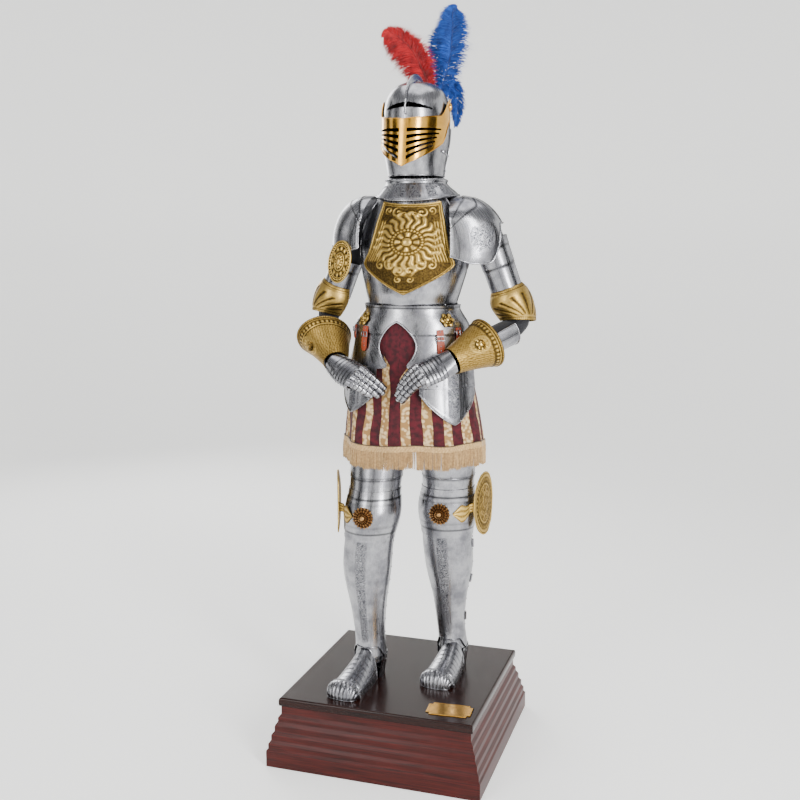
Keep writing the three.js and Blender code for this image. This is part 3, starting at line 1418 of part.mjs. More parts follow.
function hand(id) {
  const wrist = joint(id, 'wrist')
  const knuckle = joint(id, 'knuckle')
  const tip = joint(id, 'tip')
  const back = vec(...ARM[id].palm).multiplyScalar(-1)
  const palm = frameAlong(wrist, knuckle, back)
  const from = GLOVE.from[id]
  const widen = (t) => clamp01((t - from) / (GLOVE.full - from))
  const backPlate = sheet({
    us: span(-1, 1, 8),
    vs: [from, GLOVE.full, 0.42, 0.69, 0.7, 1.0],
    at: (u, t) => {
      const a = u * rad(104)
      const step = METACARPAL.lames.reduce((s, e) => s + (t < e ? 1 : 0), 0)
      const start = GLOVE.wrist[id] + GLOVE.open
      const high = mix(start, METACARPAL.high + step, widen(t))
      const half = mix(start, METACARPAL.half + step, widen(t))
      return around(palm, t, a, high, half, -2 * widen(t))
    },
    wall: STEEL,
  })
  const across = palm.cross
  const bodies = []
  FINGERS.forEach((finger) => {
    const root = knuckle.clone().addScaledVector(across, finger.lane * 36).addScaledVector(palm.out, 11)
    const end = tip.clone().addScaledVector(across, finger.lane * 30).sub(knuckle)
      .multiplyScalar(finger.length).add(knuckle)
    const path = span(0, 1, 4).map((t) => {
      const p = root.clone().lerp(end, t).addScaledVector(palm.out, 9 * Math.sin(Math.PI * t))
      return { p, r: mix(11, 8.8, t) }
    })
    bodies.push(spindle(path, 5, across, 0.94))
  })
  const bar = spindle([
    { p: knuckle.clone().addScaledVector(across, -34).addScaledVector(palm.out, 6).addScaledVector(palm.axis, 10), r: 8 },
    { p: knuckle.clone().addScaledVector(across, 34).addScaledVector(palm.out, 6).addScaledVector(palm.axis, 10), r: 8 },
  ], 5, palm.axis, 1)
  add(`gauntlet_hand_${id}`, join(backPlate, ...bodies, bar), 'steel')
  add(`glove_${id}`, sheet({
    us: turn(8),
    vs: [from, GLOVE.full, 0.95],
    at: (a, t) => {
      const high = mix(GLOVE.wrist[id], METACARPAL.high - GLOVE.inset, widen(t))
      const half = mix(GLOVE.wrist[id], METACARPAL.half - GLOVE.inset, widen(t))
      return around(palm, t, a, high, half, -2.6 * widen(t))
    },
    wall: LEATHER,
    closed: true,
  }), 'glove')
}

// Build.
plinth()
plaque()
legs()
skirt()
trunkPlates()
chestShield()
hipPlates()
tassets()
strapsAndRosettes()
gorget()
skull()
bevor()
visor()
plumes()
armPieces()

// The origin lies under the middle of the whole suit's box.
const middle = new THREE.Box3().setFromObject(suit).getCenter(vec(0, 0, 0))
for (const mesh of suit.children) mesh.geometry.translate(-middle.x, -middle.y, 0)

export default suit
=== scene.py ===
"""Looks of a suit of plate armour on a stepped wooden plinth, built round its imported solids."""

import logging
import math
from collections.abc import Callable, Sequence
from dataclasses import dataclass, field
from enum import Enum

import bpy
import numpy as np
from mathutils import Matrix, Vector


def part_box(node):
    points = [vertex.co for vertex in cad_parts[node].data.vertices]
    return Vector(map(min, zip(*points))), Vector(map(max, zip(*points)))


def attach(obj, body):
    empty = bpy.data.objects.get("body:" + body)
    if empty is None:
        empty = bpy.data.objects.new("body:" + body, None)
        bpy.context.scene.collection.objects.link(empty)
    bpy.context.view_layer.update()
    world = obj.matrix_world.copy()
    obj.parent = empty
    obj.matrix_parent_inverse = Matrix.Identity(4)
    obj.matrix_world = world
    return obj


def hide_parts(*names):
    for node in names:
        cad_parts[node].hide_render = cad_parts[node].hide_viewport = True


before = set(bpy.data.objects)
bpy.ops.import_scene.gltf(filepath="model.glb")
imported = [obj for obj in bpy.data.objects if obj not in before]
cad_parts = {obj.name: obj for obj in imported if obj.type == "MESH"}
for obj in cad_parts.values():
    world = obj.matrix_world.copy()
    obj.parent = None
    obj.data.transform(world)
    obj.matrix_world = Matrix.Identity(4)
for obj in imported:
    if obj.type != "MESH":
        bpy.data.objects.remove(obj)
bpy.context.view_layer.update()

LOG = logging.getLogger("suit")
Array = np.ndarray

MM = 0.001
PLINTH_HEIGHT = 207.0
PLINTH_TOP_SIZE = (595.0, 583.0)
PLINTH_BASE_SIZE = (655.0, 643.0)
BOARD = 26.0
SEAM = 0.35
STEEL_WALL = 1.6
BRASS_WALL = 1.6
CLOTH_WALL = 2.2
LAME_STEP = 1.5
TAU = 2.0 * math.pi


class Side(Enum):
    """The suit's own right and left side, with the sign of X on that side."""

    RIGHT = ("R", -1.0)
    LEFT = ("L", 1.0)

    @property
    def mark(self) -> str:
        """Letter used in the node names."""
        return self.value[0]

    @property
    def sign(self) -> float:
        """Sign of X on this side."""
        return self.value[1]


class Body(Enum):
    """The moving bodies of the part."""

    SUIT = "root"
    VISOR = "visor"


def clamp01(t: Array | float) -> Array:
    """Limit values to 0..1."""
    return np.clip(t, 0.0, 1.0)


def ease(t: Array | float) -> Array:
    """Smooth step of a value from 0 to 1."""
    c = clamp01(t)
    return c * c * (3.0 - 2.0 * c)


def mix(a: Array | float, b: Array | float, t: Array | float) -> Array:
    """Value between a and b at share t."""
    return a + (b - a) * t


def bump(t: Array | float, width: float) -> Array:
    """Soft bell of height 1 at t = 0."""
    return np.exp(-((np.asarray(t) / width) ** 2))


def unit(v: Array) -> Array:
    """Vectors scaled to length 1."""
    return v / np.maximum(np.linalg.norm(v, axis=-1, keepdims=True), 1e-12)


def vec(*xyz: Array | float) -> Array:
    """Stack coordinates, broadcast together, into points."""
    return np.stack(np.broadcast_arrays(*[np.asarray(c, float) for c in xyz]), axis=-1)


class Table:
    """Rows of sizes that are read smoothly by their first column."""

    def __init__(self, columns: str, *rows: Sequence[float]) -> None:
        """Keep the rows.

        Args:
            columns: names of the columns, parted by spaces.
            rows: one row of numbers per station, rising in the first column.
        """
        self.names = columns.split()
        self.rows = np.array(rows, float)

    def at(self, value: Array | float) -> dict[str, Array]:
        """Read the columns at some values of the first one.

        Args:
            value: where to read.

        Returns:
            One array per column.
        """
        value = np.asarray(value, float)
        rows = self.rows
        keys = rows[:, 0]
        last = len(keys) - 1
        i = np.clip(np.searchsorted(keys, value, side="left") - 1, 0, last - 1)
        before = np.maximum(0, i - 1)
        after = np.minimum(last, i + 2)
        width = keys[i + 1] - keys[i]
        t = clamp01((value - keys[i]) / width)
        t2, t3 = t * t, t * t * t
        found = {}
        for k, name in enumerate(self.names):
            c = rows[:, k]
            slope_a = (c[i + 1] - c[before]) / (keys[i + 1] - keys[before])
            slope_b = (c[after] - c[i]) / (keys[after] - keys[i])
            found[name] = (
                (2 * t3 - 3 * t2 + 1) * c[i]
                + (t3 - 2 * t2 + t) * width * slope_a
                + (3 * t2 - 2 * t3) * c[i + 1]
                + (t3 - t2) * width * slope_b
            )
        found[self.names[0]] = value
        return found


def oval(row: dict[str, Array], angle: Array, grow: Array | float) -> Array:
    """Point of a body section: half ellipses to the front and to the back.

    Args:
        row: section with x, y, z, half width w, depths f and b.
        angle: 0 at the front, positive towards +X.
        grow: distance outside the section.

    Returns:
        Points in millimetres above the plinth's top.
    """
    s, c = np.sin(angle), np.cos(angle)
    depth = np.where(c > 0, row["f"], row["b"])
    return vec(row["x"] + (row["w"] + grow) * s, row["y"] - (depth + grow) * c, row["z"])


class Form:
    """Points and faces of one piece, with its marks for the finish."""

    def __init__(self) -> None:
        """Start empty."""
        self.points: list[Array] = []
        self.corners: list[Array] = []
        self.uvs: list[Array] = []
        self.finish: list[Array] = []
        self.marks: dict[str, list[Array]] = {"etch": [], "height": []}
        self.count = 0

    def take(self, points: Array, faces: Array, uv: Array, finish: int | Array, etch: Array | float,
              height: Array | float) -> None:
        """Add points and four-cornered faces.

        Args:
            points: n by 3.
            faces: m by 4 indices into points.
            uv: m by 4 by 2, in metres.
            finish: material index of the faces.
            etch: etched share at each point.
            height: relief height share at each point; low values also paint shade on steel.
        """
        n = len(points)
        self.points.append(points)
        self.corners.append(faces + self.count)
        self.uvs.append(uv)
        self.finish.append(np.broadcast_to(np.asarray(finish), (len(faces),)))
        self.marks["etch"].append(np.broadcast_to(np.asarray(etch, float), (n,)))
        self.marks["height"].append(np.broadcast_to(np.asarray(height, float), (n,)))
        self.count += n

    def sheet(
        self,
        grid: Array,
        wall: float = STEEL_WALL,
        closed: bool = False,
        finish: int = 0,
        etch: Array | float = 0.0,
        height: Array | float = 1.0,
        drop: Array | None = None,
        inside: int | None = None,
    ) -> None:
        """Add a sheet of even wall on a grid of outer points.

        Args:
            grid: rows by columns by 3, in millimetres.
            wall: thickness; 0 leaves out the inner face.
            closed: join the last column to the first.
            finish: material index.
            etch: etched share, over the grid.
            height: relief height share, over the grid; low values also paint shade on steel.
            drop: rows by columns of relief to add along the outward normal.
            inside: material index of the inner face, or the outer one's.
        """
        rows, columns = grid.shape[:2]
        if closed:
            across = np.roll(grid, -1, 1) - np.roll(grid, 1, 1)
        else:
            across = np.gradient(grid, axis=1)
        along = np.gradient(grid, axis=0)
        normal = unit(np.cross(across, along))
        facing = np.sum(normal * (grid - grid.mean((0, 1))))
        out = normal if facing > 0 else -normal
        inner = grid - out * wall
        outer = grid if drop is None else grid + out * drop[..., None]
        steps = columns if closed else columns - 1
        wrap = np.concatenate([grid, grid[:, :1]], 1) if closed else grid
        u = np.concatenate([[0], np.cumsum(np.linalg.norm(np.diff(wrap, axis=1), axis=2).mean(0))]) * MM
        v = np.concatenate([[0], np.cumsum(np.linalg.norm(np.diff(grid, axis=0), axis=2).mean(1))]) * MM
        jj, ii = np.meshgrid(np.arange(rows - 1), np.arange(steps), indexing="ij")
        jj, ii = jj.ravel(), ii.ravel()
        nn = (ii + 1) % columns
        quad = np.stack([jj * columns + ii, jj * columns + nn, (jj + 1) * columns + nn,
                         (jj + 1) * columns + ii], 1)
        flat = np.stack(
            [np.stack([u[ii], v[jj]], 1), np.stack([u[ii + 1], v[jj]], 1),
             np.stack([u[ii + 1], v[jj + 1]], 1), np.stack([u[ii], v[jj + 1]], 1)], 1)
        outward = facing > 0
        etch = np.broadcast_to(np.asarray(etch, float), (rows, columns)).ravel()
        height = np.broadcast_to(np.asarray(height, float), (rows, columns)).ravel()
        front = quad if outward else quad[:, ::-1]
        front_uv = flat if outward else flat[:, ::-1]
        if wall <= 0:
            self.take(outer.reshape(-1, 3), front, front_uv, finish, etch, height)
            return
        n = rows * columns
        back = quad[:, ::-1] + n if outward else quad + n
        back_uv = flat[:, ::-1] if outward else flat
        edges = []
        line = np.arange(steps)
        nxt = (line + 1) % columns
        edges.append(np.stack([nxt, line, line + n, nxt + n], 1))
        top = (rows - 1) * columns
        edges.append(np.stack([top + line, top + nxt, top + nxt + n, top + line + n], 1))
        if not closed:
            col = np.arange(rows - 1) * columns
            edges.append(np.stack([col, col + columns, col + columns + n, col + n], 1))
            far = col + columns - 1
            edges.append(np.stack([far + columns, far, far + n, far + columns + n], 1))
        rim = np.concatenate(edges)
        rim = rim if outward else rim[:, ::-1]
        rim_uv = np.zeros((len(rim), 4, 2))
        kinds = np.full(len(front) + len(back) + len(rim), finish)
        kinds[len(front) : len(front) + len(back)] = finish if inside is None else inside
        # The inner face gets a height share of 0.4: painted shade on the backs of the plates.
        self.take(
            np.concatenate([outer.reshape(-1, 3), inner.reshape(-1, 3)]),
            np.concatenate([front, back, rim]),
            np.concatenate([front_uv, back_uv, rim_uv]),
            kinds,
            np.concatenate([etch, np.zeros(n)]),
            np.concatenate([height, np.full(n, 0.4)]),
        )

    def tube(
        self,
        path: Array,
        radius: Array | float,
        sides: int = 6,
        closed: bool = False,
        finish: int = 0,
        twist: float = 0.0,
        depth: float = 0.0,
        height: Array | float = 1.0,
        squeeze: float = 1.0,
        hint: Array | None = None,
    ) -> None:
        """Add a round bar along a path, with rope strands when twisted.

        Args:
            path: n by 3 points.
            radius: one radius or one per point.
            sides: corners of the section.
            closed: join the ends.
            finish: material index.
            twist: rope turns per millimetre.
            depth: share of the radius that the strands stand out.
            height: relief height share.
            squeeze: share of the radius kept across the hint direction.
            hint: direction that the section's first axis leans to.
        """
        path = np.asarray(path, float)
        n = len(path)
        tangent = unit(np.roll(path, -1, 0) - np.roll(path, 1, 0)) if closed else unit(np.gradient(path,
                axis=0))
        lean = np.array([0.13, 0.31, 0.94]) if hint is None else np.asarray(hint, float)
        lean = np.broadcast_to(lean, path.shape)
        e1 = lean - np.sum(lean * tangent, -1, keepdims=True) * tangent
        e1 = unit(e1)
        e2 = np.cross(tangent, e1)
        arc = np.concatenate([[0], np.cumsum(np.linalg.norm(np.diff(path, axis=0), axis=1))])
        a = np.arange(sides) / sides * TAU
        r = np.broadcast_to(np.asarray(radius, float), (n,))[:, None]
        r = r * (1.0 + depth * np.cos(2.0 * a[None, :] - arc[:, None] * twist * TAU))
        ring = path[:, None] + e1[:, None] * (r * squeeze * np.cos(a))[..., None] + e2[:,
                None] * (r * np.sin(a))[..., None]
        steps = n if closed else n - 1
        jj, ii = np.meshgrid(np.arange(steps), np.arange(sides), indexing="ij")
        jj, ii = jj.ravel(), ii.ravel()
        nj, ni = (jj + 1) % n, (ii + 1) % sides
        quad = np.stack([jj * sides + ii, jj * sides + ni, nj * sides + ni, nj * sides + ii], 1)
        points = ring.reshape(-1, 3)
        if not closed:
            ends = np.array([path[0], path[-1]])
            points = np.concatenate([points, ends])
            i = np.arange(sides)
            nx = (i + 1) % sides
            a0, a1 = n * sides, n * sides + 1
            low = np.stack([nx, i, np.full(sides, a0), np.full(sides, a0)], 1)
            high = np.stack([(n - 1) * sides + i, (n - 1) * sides + nx, np.full(sides, a1),
                             np.full(sides, a1)], 1)
            quad = np.concatenate([quad, low, high])
        uv = np.zeros((len(quad), 4, 2))
        self.take(points, quad, uv, finish, 0.0, height)

    def dome(
        self,
        at: Array,
        out: Array,
        rings: Sequence[Sequence[float]],
        sides: int = 10,
        finish: int = 0,
        up: Sequence[float] = (0.0, 0.0, 1.0),
        lobes: int = 0,
        lobe: float = 0.0,
        squash: float = 1.0,
        low_height: float = 1.0,
    ) -> None:
        """Add a turned boss: rings of radius and height over a point.

        Args:
            at: base point.
            out: axis.
            rings: rows of radius, height, relief share, and lobed share.
            sides: corners of a ring.
            finish: material index.
            up: direction of the long axis.
            lobes: petals round a lobed ring.
            lobe: share of the radius that a petal stands out.
            squash: width against height.
            low_height: relief share of the centre point.
        """
        axis = unit(np.asarray(out, float))
        e2 = np.asarray(up, float)
        e2 = unit(e2 - axis * (e2 @ axis))
        e1 = np.cross(e2, axis)
        a = np.arange(sides) / sides * TAU
        grid = []
        shade = []
        for row in rings:
            r, h, tone, lobed = (list(row) + [1.0, 0.0])[:4] if len(row) < 4 else row
            wave = 1.0 + lobed * lobe * np.cos(lobes * a)
            grid.append(
                at + e1 * (r * wave * squash * np.cos(a))[:, None] + e2 * (r * wave * np.sin(a))[:, None]
                + axis * (h * wave)[:, None])
            shade.append(tone * (1 - lobed * 0.75 * (0.5 - 0.5 * np.cos(lobes * a)) ** 2))
        n = len(rings)
        points = np.concatenate([*grid, [at + axis * rings[-1][1]], [at + axis * rings[0][1]]])
        shade.append(np.array([low_height, 0.3]))
        jj, ii = np.meshgrid(np.arange(n - 1), np.arange(sides), indexing="ij")
        jj, ii = jj.ravel(), ii.ravel()
        ni = (ii + 1) % sides
        quad = np.stack([jj * sides + ii, jj * sides + ni, (jj + 1) * sides + ni, (jj + 1) * sides + ii], 1)
        i = np.arange(sides)
        nx = (i + 1) % sides
        top = (n - 1) * sides
        cap = np.stack([top + i, top + nx, np.full(sides, n * sides), np.full(sides, n * sides)], 1)
        base = np.stack([nx, i, np.full(sides, n * sides + 1), np.full(sides, n * sides + 1)], 1)
        quad = np.concatenate([quad, cap, base])
        self.take(points, quad, np.zeros((len(quad), 4, 2)), finish, 0.0, np.concatenate(shade))

    def rivets(self, points: Array, outs: Array, radius: float = 3.0, finish: int = 0) -> None:
        """Add round rivet heads.

        Args:
            points: n by 3 feet of the rivets.
            outs: n by 3 axes.
            radius: head radius.
            finish: material index.
        """
        rings = [(radius, -0.6), (radius, 0.25), (radius * 0.8, radius * 0.42),
                 (radius * 0.4, radius * 0.66)]
        for p, o in zip(points.reshape(-1, 3), outs.reshape(-1, 3), strict=True):
            self.dome(p, o, [(*ring, 0.8, 0.0) for ring in rings], sides=8, finish=finish, low_height=0.9)

    def piece(
        self,
        name: str,
        finishes: Sequence[bpy.types.Material],
        nodes: Sequence[str] = (),
        body: Body = Body.SUIT,
        slot: str | None = None,
        sharp: float = 38.0,
    ) -> bpy.types.Object:
        """Turn the form into an object that rides on a body.

        Args:
            name: the piece's name.
            finishes: its materials, in index order.
            nodes: CAD nodes that it stands for.
            body: body that it moves with.
            slot: not used.
            sharp: edges steeper than this, in degrees, stay crisp.

        Returns:
            The new object.
        """
        points = np.concatenate(self.points) + np.array([0.0, 0.0, PLINTH_HEIGHT])
        points = points * MM + ORIGIN
        faces = np.concatenate(self.corners)
        uv = np.concatenate(self.uvs)
        kinds = np.concatenate(self.finish)
        triangle = faces[:, 2] == faces[:, 3]
        sizes = np.where(triangle, 3, 4)
        starts = np.concatenate([[0], np.cumsum(sizes)[:-1]])
        keep = np.ones((len(faces), 4), bool)
        keep[triangle, 3] = False
        loops = faces[keep]
        loop_uv = uv[keep]
        mesh = bpy.data.meshes.new(name)
        mesh.vertices.add(len(points))
        mesh.vertices.foreach_set("co", points.astype(np.float32).ravel())
        mesh.loops.add(len(loops))
        mesh.loops.foreach_set("vertex_index", loops.astype(np.int32))
        mesh.polygons.add(len(faces))
        mesh.polygons.foreach_set("loop_start", starts.astype(np.int32))
        mesh.polygons.foreach_set("material_index", kinds.astype(np.int32))
        layer = mesh.uv_layers.new(name="flat")
        layer.uv.foreach_set("vector", loop_uv.astype(np.float32).ravel())
        for mark, values in self.marks.items():
            attribute = mesh.attributes.new(mark, "FLOAT", "POINT")
            attribute.data.foreach_set("value", np.concatenate(values).astype(np.float32))
        mesh.update(calc_edges=True)
        mesh.validate()
        mesh.shade_smooth()
        mesh.set_sharp_from_angle(angle=math.radians(sharp))
        for material in finishes:
            mesh.materials.append(material)
        made = bpy.data.objects.new(name, mesh)
        bpy.context.scene.collection.objects.link(made)
        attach(made, body.value)
        if nodes:
            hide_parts(*nodes)
        LOG.info("%s: %d faces", name, len(faces))
        return made


def plinth_origin() -> Array:
    """Place of the tables' axis in the row frame, in metres: the middle of the plinth."""
    low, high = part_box("plinth_top")
    return np.array([(low.x + high.x) / 2, (low.y + high.y) / 2, 0.0])


ORIGIN = plinth_origin()


def turn(count: int) -> Array:
    """Even angles all round."""
    return np.arange(count) / count * TAU


def mesh_of(us: Array, vs: Array) -> tuple[Array, Array]:
    """Grid of both parameters: rows run with v, columns with u."""
    return np.meshgrid(np.asarray(us, float), np.asarray(vs, float))


def stepped(low: float, high: float, edges: Sequence[float], gap: float, riser: float = 0.5) -> Array:
    """Rows from low to high that are doubled at each lame's edge.

    Args:
        low: first row.
        high: last row.
        edges: places of the steps.
        gap: distance of the other rows.
        riser: half the height of a step.

    Returns:
        The rows in order.
    """
    marks = [low, *[x for e in edges for x in (e - riser, e + riser)], high]
    rows = [np.array([low])]
    for a, b in zip(marks, marks[1:]):
        rows.append(np.linspace(a, b, max(1, round((b - a) / gap)) + 1)[1:])
    return np.concatenate(rows)


def steps_above(value: Array, edges: Sequence[float], height: float) -> Array:
    """Sum of the steps whose edge lies below the value."""
    return sum((np.where(value > e, height, 0.0) for e in edges), np.zeros_like(value))


def lame_edge_shade(value: Array, edges: Sequence[float], width: float) -> Array:
    """Height share that falls to a dark line of painted shade under each lame's edge."""
    return 1.0 - 0.85 * sum((bump(value - e, width) for e in edges), np.zeros_like(value))


def surface_out(at: Callable[[Array, Array], Array], u: Array, v: Array, du: float, dv: float,
                centre: Array) -> Array:
    """Outward normals of a surface at some parameters.

    Args:
        at: the surface.
        u: first parameter.
        v: second parameter.
        du: step of the first.
        dv: step of the second.
        centre: a point inside.

    Returns:
        Unit normals.
    """
    p = at(u, v)
    n = unit(np.cross(at(u + du, v) - p, at(u, v + dv) - p))
    side = np.sign(np.sum(n * (p - centre), -1, keepdims=True))
    return n * np.where(side == 0, 1, side)


def rivet_row(form: Form, at: Callable[[Array, Array], Array], u: Array, v: Array, centre: Array,
              radius: float = 3.0, finish: int = 0) -> None:
    """Set rivets on a surface.

    Args:
        form: the form that takes them.
        at: the surface.
        u: first parameters of the rivets.
        v: second parameters.
        centre: a point inside the surface.
        radius: head radius.
        finish: material index.
    """
    u, v = np.broadcast_arrays(np.asarray(u, float), np.asarray(v, float))
    form.rivets(at(u, v), surface_out(at, u, v, 1e-3, 1e-3, centre), radius, finish)


# Finishes


def linear(colour: str) -> tuple[float, float, float, float]:
    """Turn an sRGB hex colour to linear RGBA.

    Args:
        colour: such as "#c0ffee".

    Returns:
        Linear red, green, blue and alpha.
    """
    parts = [int(colour[i : i + 2], 16) / 255 for i in (1, 3, 5)]
    lit = [c / 12.92 if c <= 0.04045 else ((c + 0.055) / 1.055) ** 2.4 for c in parts]
    return (*lit, 1.0)


def node(tree: bpy.types.NodeTree, kind: str, inputs: dict | None = None,
         **settings: object) -> bpy.types.Node:
    """Add a node with its settings and links.

    Args:
        tree: the material's tree.
        kind: the node's type.
        inputs: socket name or number to a value or to another socket.
        settings: properties of the node.

    Returns:
        The new node.
    """
    made = tree.nodes.new(kind)
    for key, value in settings.items():
        setattr(made, key, value)
    for key, value in (inputs or {}).items():
        if isinstance(value, bpy.types.NodeSocket):
            tree.links.new(value, made.inputs[key])
        else:
            made.inputs[key].default_value = value
    return made


def fresh(name: str) -> tuple[bpy.types.Material, bpy.types.NodeTree, bpy.types.Node]:
    """Start a material with an empty surface shader.

    Args:
        name: the material's name.

    Returns:
        The material, its tree and its surface shader.
    """
    material = bpy.data.materials.new(name)
    material.use_nodes = True
    tree = material.node_tree
    tree.nodes.clear()
    shader = tree.nodes.new("ShaderNodeBsdfPrincipled")
    node(tree, "ShaderNodeOutputMaterial", {"Surface": shader.outputs[0]})
    return material, tree, shader


def set_all(shader: bpy.types.Node, **values: object) -> None:
    """Set plain values on the shader's own sockets; underscores stand for spaces."""
    for key, value in values.items():
        shader.inputs[key.replace("_", " ")].default_value = value


@dataclass(frozen=True)
class PolishedSteel:
    """Mild steel plate, hammered and polished: bright, with soft upright streaks, a little grey wear, and
    painted shade that darkens it to the gap colour where the height share is low.
    """

    name: str = "polished_steel"
    bright: str = "#a0a0a4"
    worn: str = "#74747a"
    etched: str = "#4c4d52"
    # Colour of the painted shade under lame edges, in grooves and on inner faces.
    gap: str = "#17171a"
    streak_mm: float = 2.4
    streak_length_mm: float = 60.0
    wear_mm: float = 55.0
    scroll_mm: float = 8.0
    smooth: float = 0.17
    dull: float = 0.32

    def make(self) -> bpy.types.Material:
        """Build the material."""
        material, tree, shader = fresh(self.name)
        flat = node(tree, "ShaderNodeUVMap", uv_map="flat").outputs[0]
        place = node(tree, "ShaderNodeTexCoord").outputs["Object"]
        # Grinding marks run up the plate; drawn as coarse as they need to show.
        long = node(tree, "ShaderNodeMapping", {"Vector": flat,
                                                "Scale": (1 / (self.streak_mm * MM),
                                                          1 / (self.streak_length_mm * MM), 1)})
        streak = node(tree, "ShaderNodeTexNoise", {"Vector": long.outputs[0], "Scale": 1.0,
                                                   "Detail": 2.0}).outputs["Fac"]
        wear = node(tree, "ShaderNodeTexNoise", {"Vector": place, "Scale": 1 / (self.wear_mm * MM),
                                                 "Detail": 4.0, "Roughness": 0.6}).outputs["Fac"]
        wear = node(tree, "ShaderNodeMapRange", {"Value": wear, "From Min": 0.42,
                                                 "From Max": 0.68}).outputs[0]
        # Etched ground: small scrolls that stay bright on a grey stippled field.
        warp = node(tree, "ShaderNodeTexNoise", {"Vector": flat, "Scale": 90.0,
                                                 "Detail": 1.0}).outputs["Color"]
        warped = node(tree, "ShaderNodeMix", {0: 0.012, 4: flat, 5: warp}, data_type="VECTOR").outputs[1]
        cell = node(tree, "ShaderNodeTexVoronoi", {"Vector": warped,
                                                   "Scale": 1 / (self.scroll_mm * MM)}).outputs["Distance"]
        rings = node(tree, "ShaderNodeMath", {0: cell, 1: 17.0}, operation="MULTIPLY").outputs[0]
        rings = node(tree, "ShaderNodeMath", {0: rings}, operation="SINE").outputs[0]
        rings = node(tree, "ShaderNodeMapRange", {"Value": rings, "From Min": -0.5,
                                                  "From Max": 0.4}).outputs[0]
        mark = node(tree, "ShaderNodeAttribute", attribute_name="etch").outputs["Fac"]
        ground = node(tree, "ShaderNodeMath", {0: rings, 1: mark}, operation="MULTIPLY").outputs[0]
        base = node(tree, "ShaderNodeMix", {0: wear, 6: linear(self.bright), 7: linear(self.worn)},
                    data_type="RGBA").outputs[2]
        # Painted shade: a low height share darkens the colour towards the gap colour.
        rise = node(tree, "ShaderNodeAttribute", attribute_name="height").outputs["Fac"]
        base = node(tree, "ShaderNodeMix", {0: rise, 6: linear(self.gap), 7: base},
                    data_type="RGBA").outputs[2]
        colour = node(tree, "ShaderNodeMix", {0: ground, 6: base, 7: linear(self.etched)},
                      data_type="RGBA").outputs[2]
        rough = node(tree, "ShaderNodeMapRange", {"Value": streak, "From Min": 0.3, "From Max": 0.75,
                                                  "To Min": self.smooth, "To Max": self.dull}).outputs[0]
        rough = node(tree, "ShaderNodeMath", {0: wear, 1: 0.08, 2: rough},
                     operation="MULTIPLY_ADD").outputs[0]
        rough = node(tree, "ShaderNodeMath", {0: mark, 1: 0.16, 2: rough},
                     operation="MULTIPLY_ADD").outputs[0]
        relief = node(tree, "ShaderNodeMath", {0: ground, 1: -1.0, 2: 1.0},
                      operation="MULTIPLY_ADD").outputs[0]
        tilt = node(tree, "ShaderNodeBump", {"Height": relief, "Strength": 0.35, "Distance": 0.0006})
        tree.links.new(colour, shader.inputs["Base Color"])
        tree.links.new(rough, shader.inputs["Roughness"])
        tree.links.new(tilt.outputs[0], shader.inputs["Normal"])
        set_all(shader, Metallic=1.0)
        return material


@dataclass(frozen=True)
class AgedGilding:
    """Embossed brass with a darkened ground: gold on every raised place, brown black in the recesses."""

    name: str = "aged_gilding"
    high: str = "#cfae62"
    middle: str = "#8a6e35"
    low: str = "#2e2313"
    roughness: float = 0.36
    grain_mm: float = 5.0

    def make(self) -> bpy.types.Material:
        """Build the material."""
        material, tree, shader = fresh(self.name)
        place = node(tree, "ShaderNodeTexCoord").outputs["Object"]
        rise = node(tree, "ShaderNodeAttribute", attribute_name="height").outputs["Fac"]
        grain = node(tree, "ShaderNodeTexNoise", {"Vector": place, "Scale": 1 / (self.grain_mm * MM),
                                                  "Detail": 3.0}).outputs["Fac"]
        lift = node(tree, "ShaderNodeMath", {0: grain, 1: 0.5, 2: -0.25},
                    operation="MULTIPLY_ADD").outputs[0]
        rise = node(tree, "ShaderNodeMath", {0: rise, 1: lift}, operation="ADD").outputs[0]
        lower = node(tree, "ShaderNodeMapRange", {"Value": rise, "From Min": 0.12,
                                                  "From Max": 0.55}).outputs[0]
        upper = node(tree, "ShaderNodeMapRange", {"Value": rise, "From Min": 0.45,
                                                  "From Max": 0.95}).outputs[0]
        ground = node(tree, "ShaderNodeMix", {0: lower, 6: linear(self.low), 7: linear(self.middle)},
                      data_type="RGBA").outputs[2]
        colour = node(tree, "ShaderNodeMix", {0: upper, 6: ground, 7: linear(self.high)},
                      data_type="RGBA").outputs[2]
        rough = node(tree, "ShaderNodeMapRange", {"Value": upper, "To Min": self.roughness + 0.16,
                                                  "To Max": self.roughness - 0.06}).outputs[0]
        tree.links.new(colour, shader.inputs["Base Color"])
        tree.links.new(rough, shader.inputs["Roughness"])
        set_all(shader, Metallic=1.0)
        return material


@dataclass(frozen=True)
class PolishedBrass:
    """Rolled brass, buffed: a warm mirror with a faint haze of handling."""

    name: str = "polished_brass"
    bright: str = "#dcab4e"
    dull: str = "#b88433"
    haze_mm: float = 30.0

    def make(self) -> bpy.types.Material:
        """Build the material."""
        material, tree, shader = fresh(self.name)
        place = node(tree, "ShaderNodeTexCoord").outputs["Object"]
        haze = node(tree, "ShaderNodeTexNoise", {"Vector": place, "Scale": 1 / (self.haze_mm * MM),
                                                 "Detail": 3.0}).outputs["Fac"]
        colour = node(tree, "ShaderNodeMix", {0: haze, 6: linear(self.bright), 7: linear(self.dull)},
                      data_type="RGBA").outputs[2]
        rough = node(tree, "ShaderNodeMapRange", {"Value": haze, "From Min": 0.3, "From Max": 0.7,
                                                  "To Min": 0.12, "To Max": 0.26}).outputs[0]
        tree.links.new(colour, shader.inputs["Base Color"])
        tree.links.new(rough, shader.inputs["Roughness"])
        set_all(shader, Metallic=1.0)
        return material


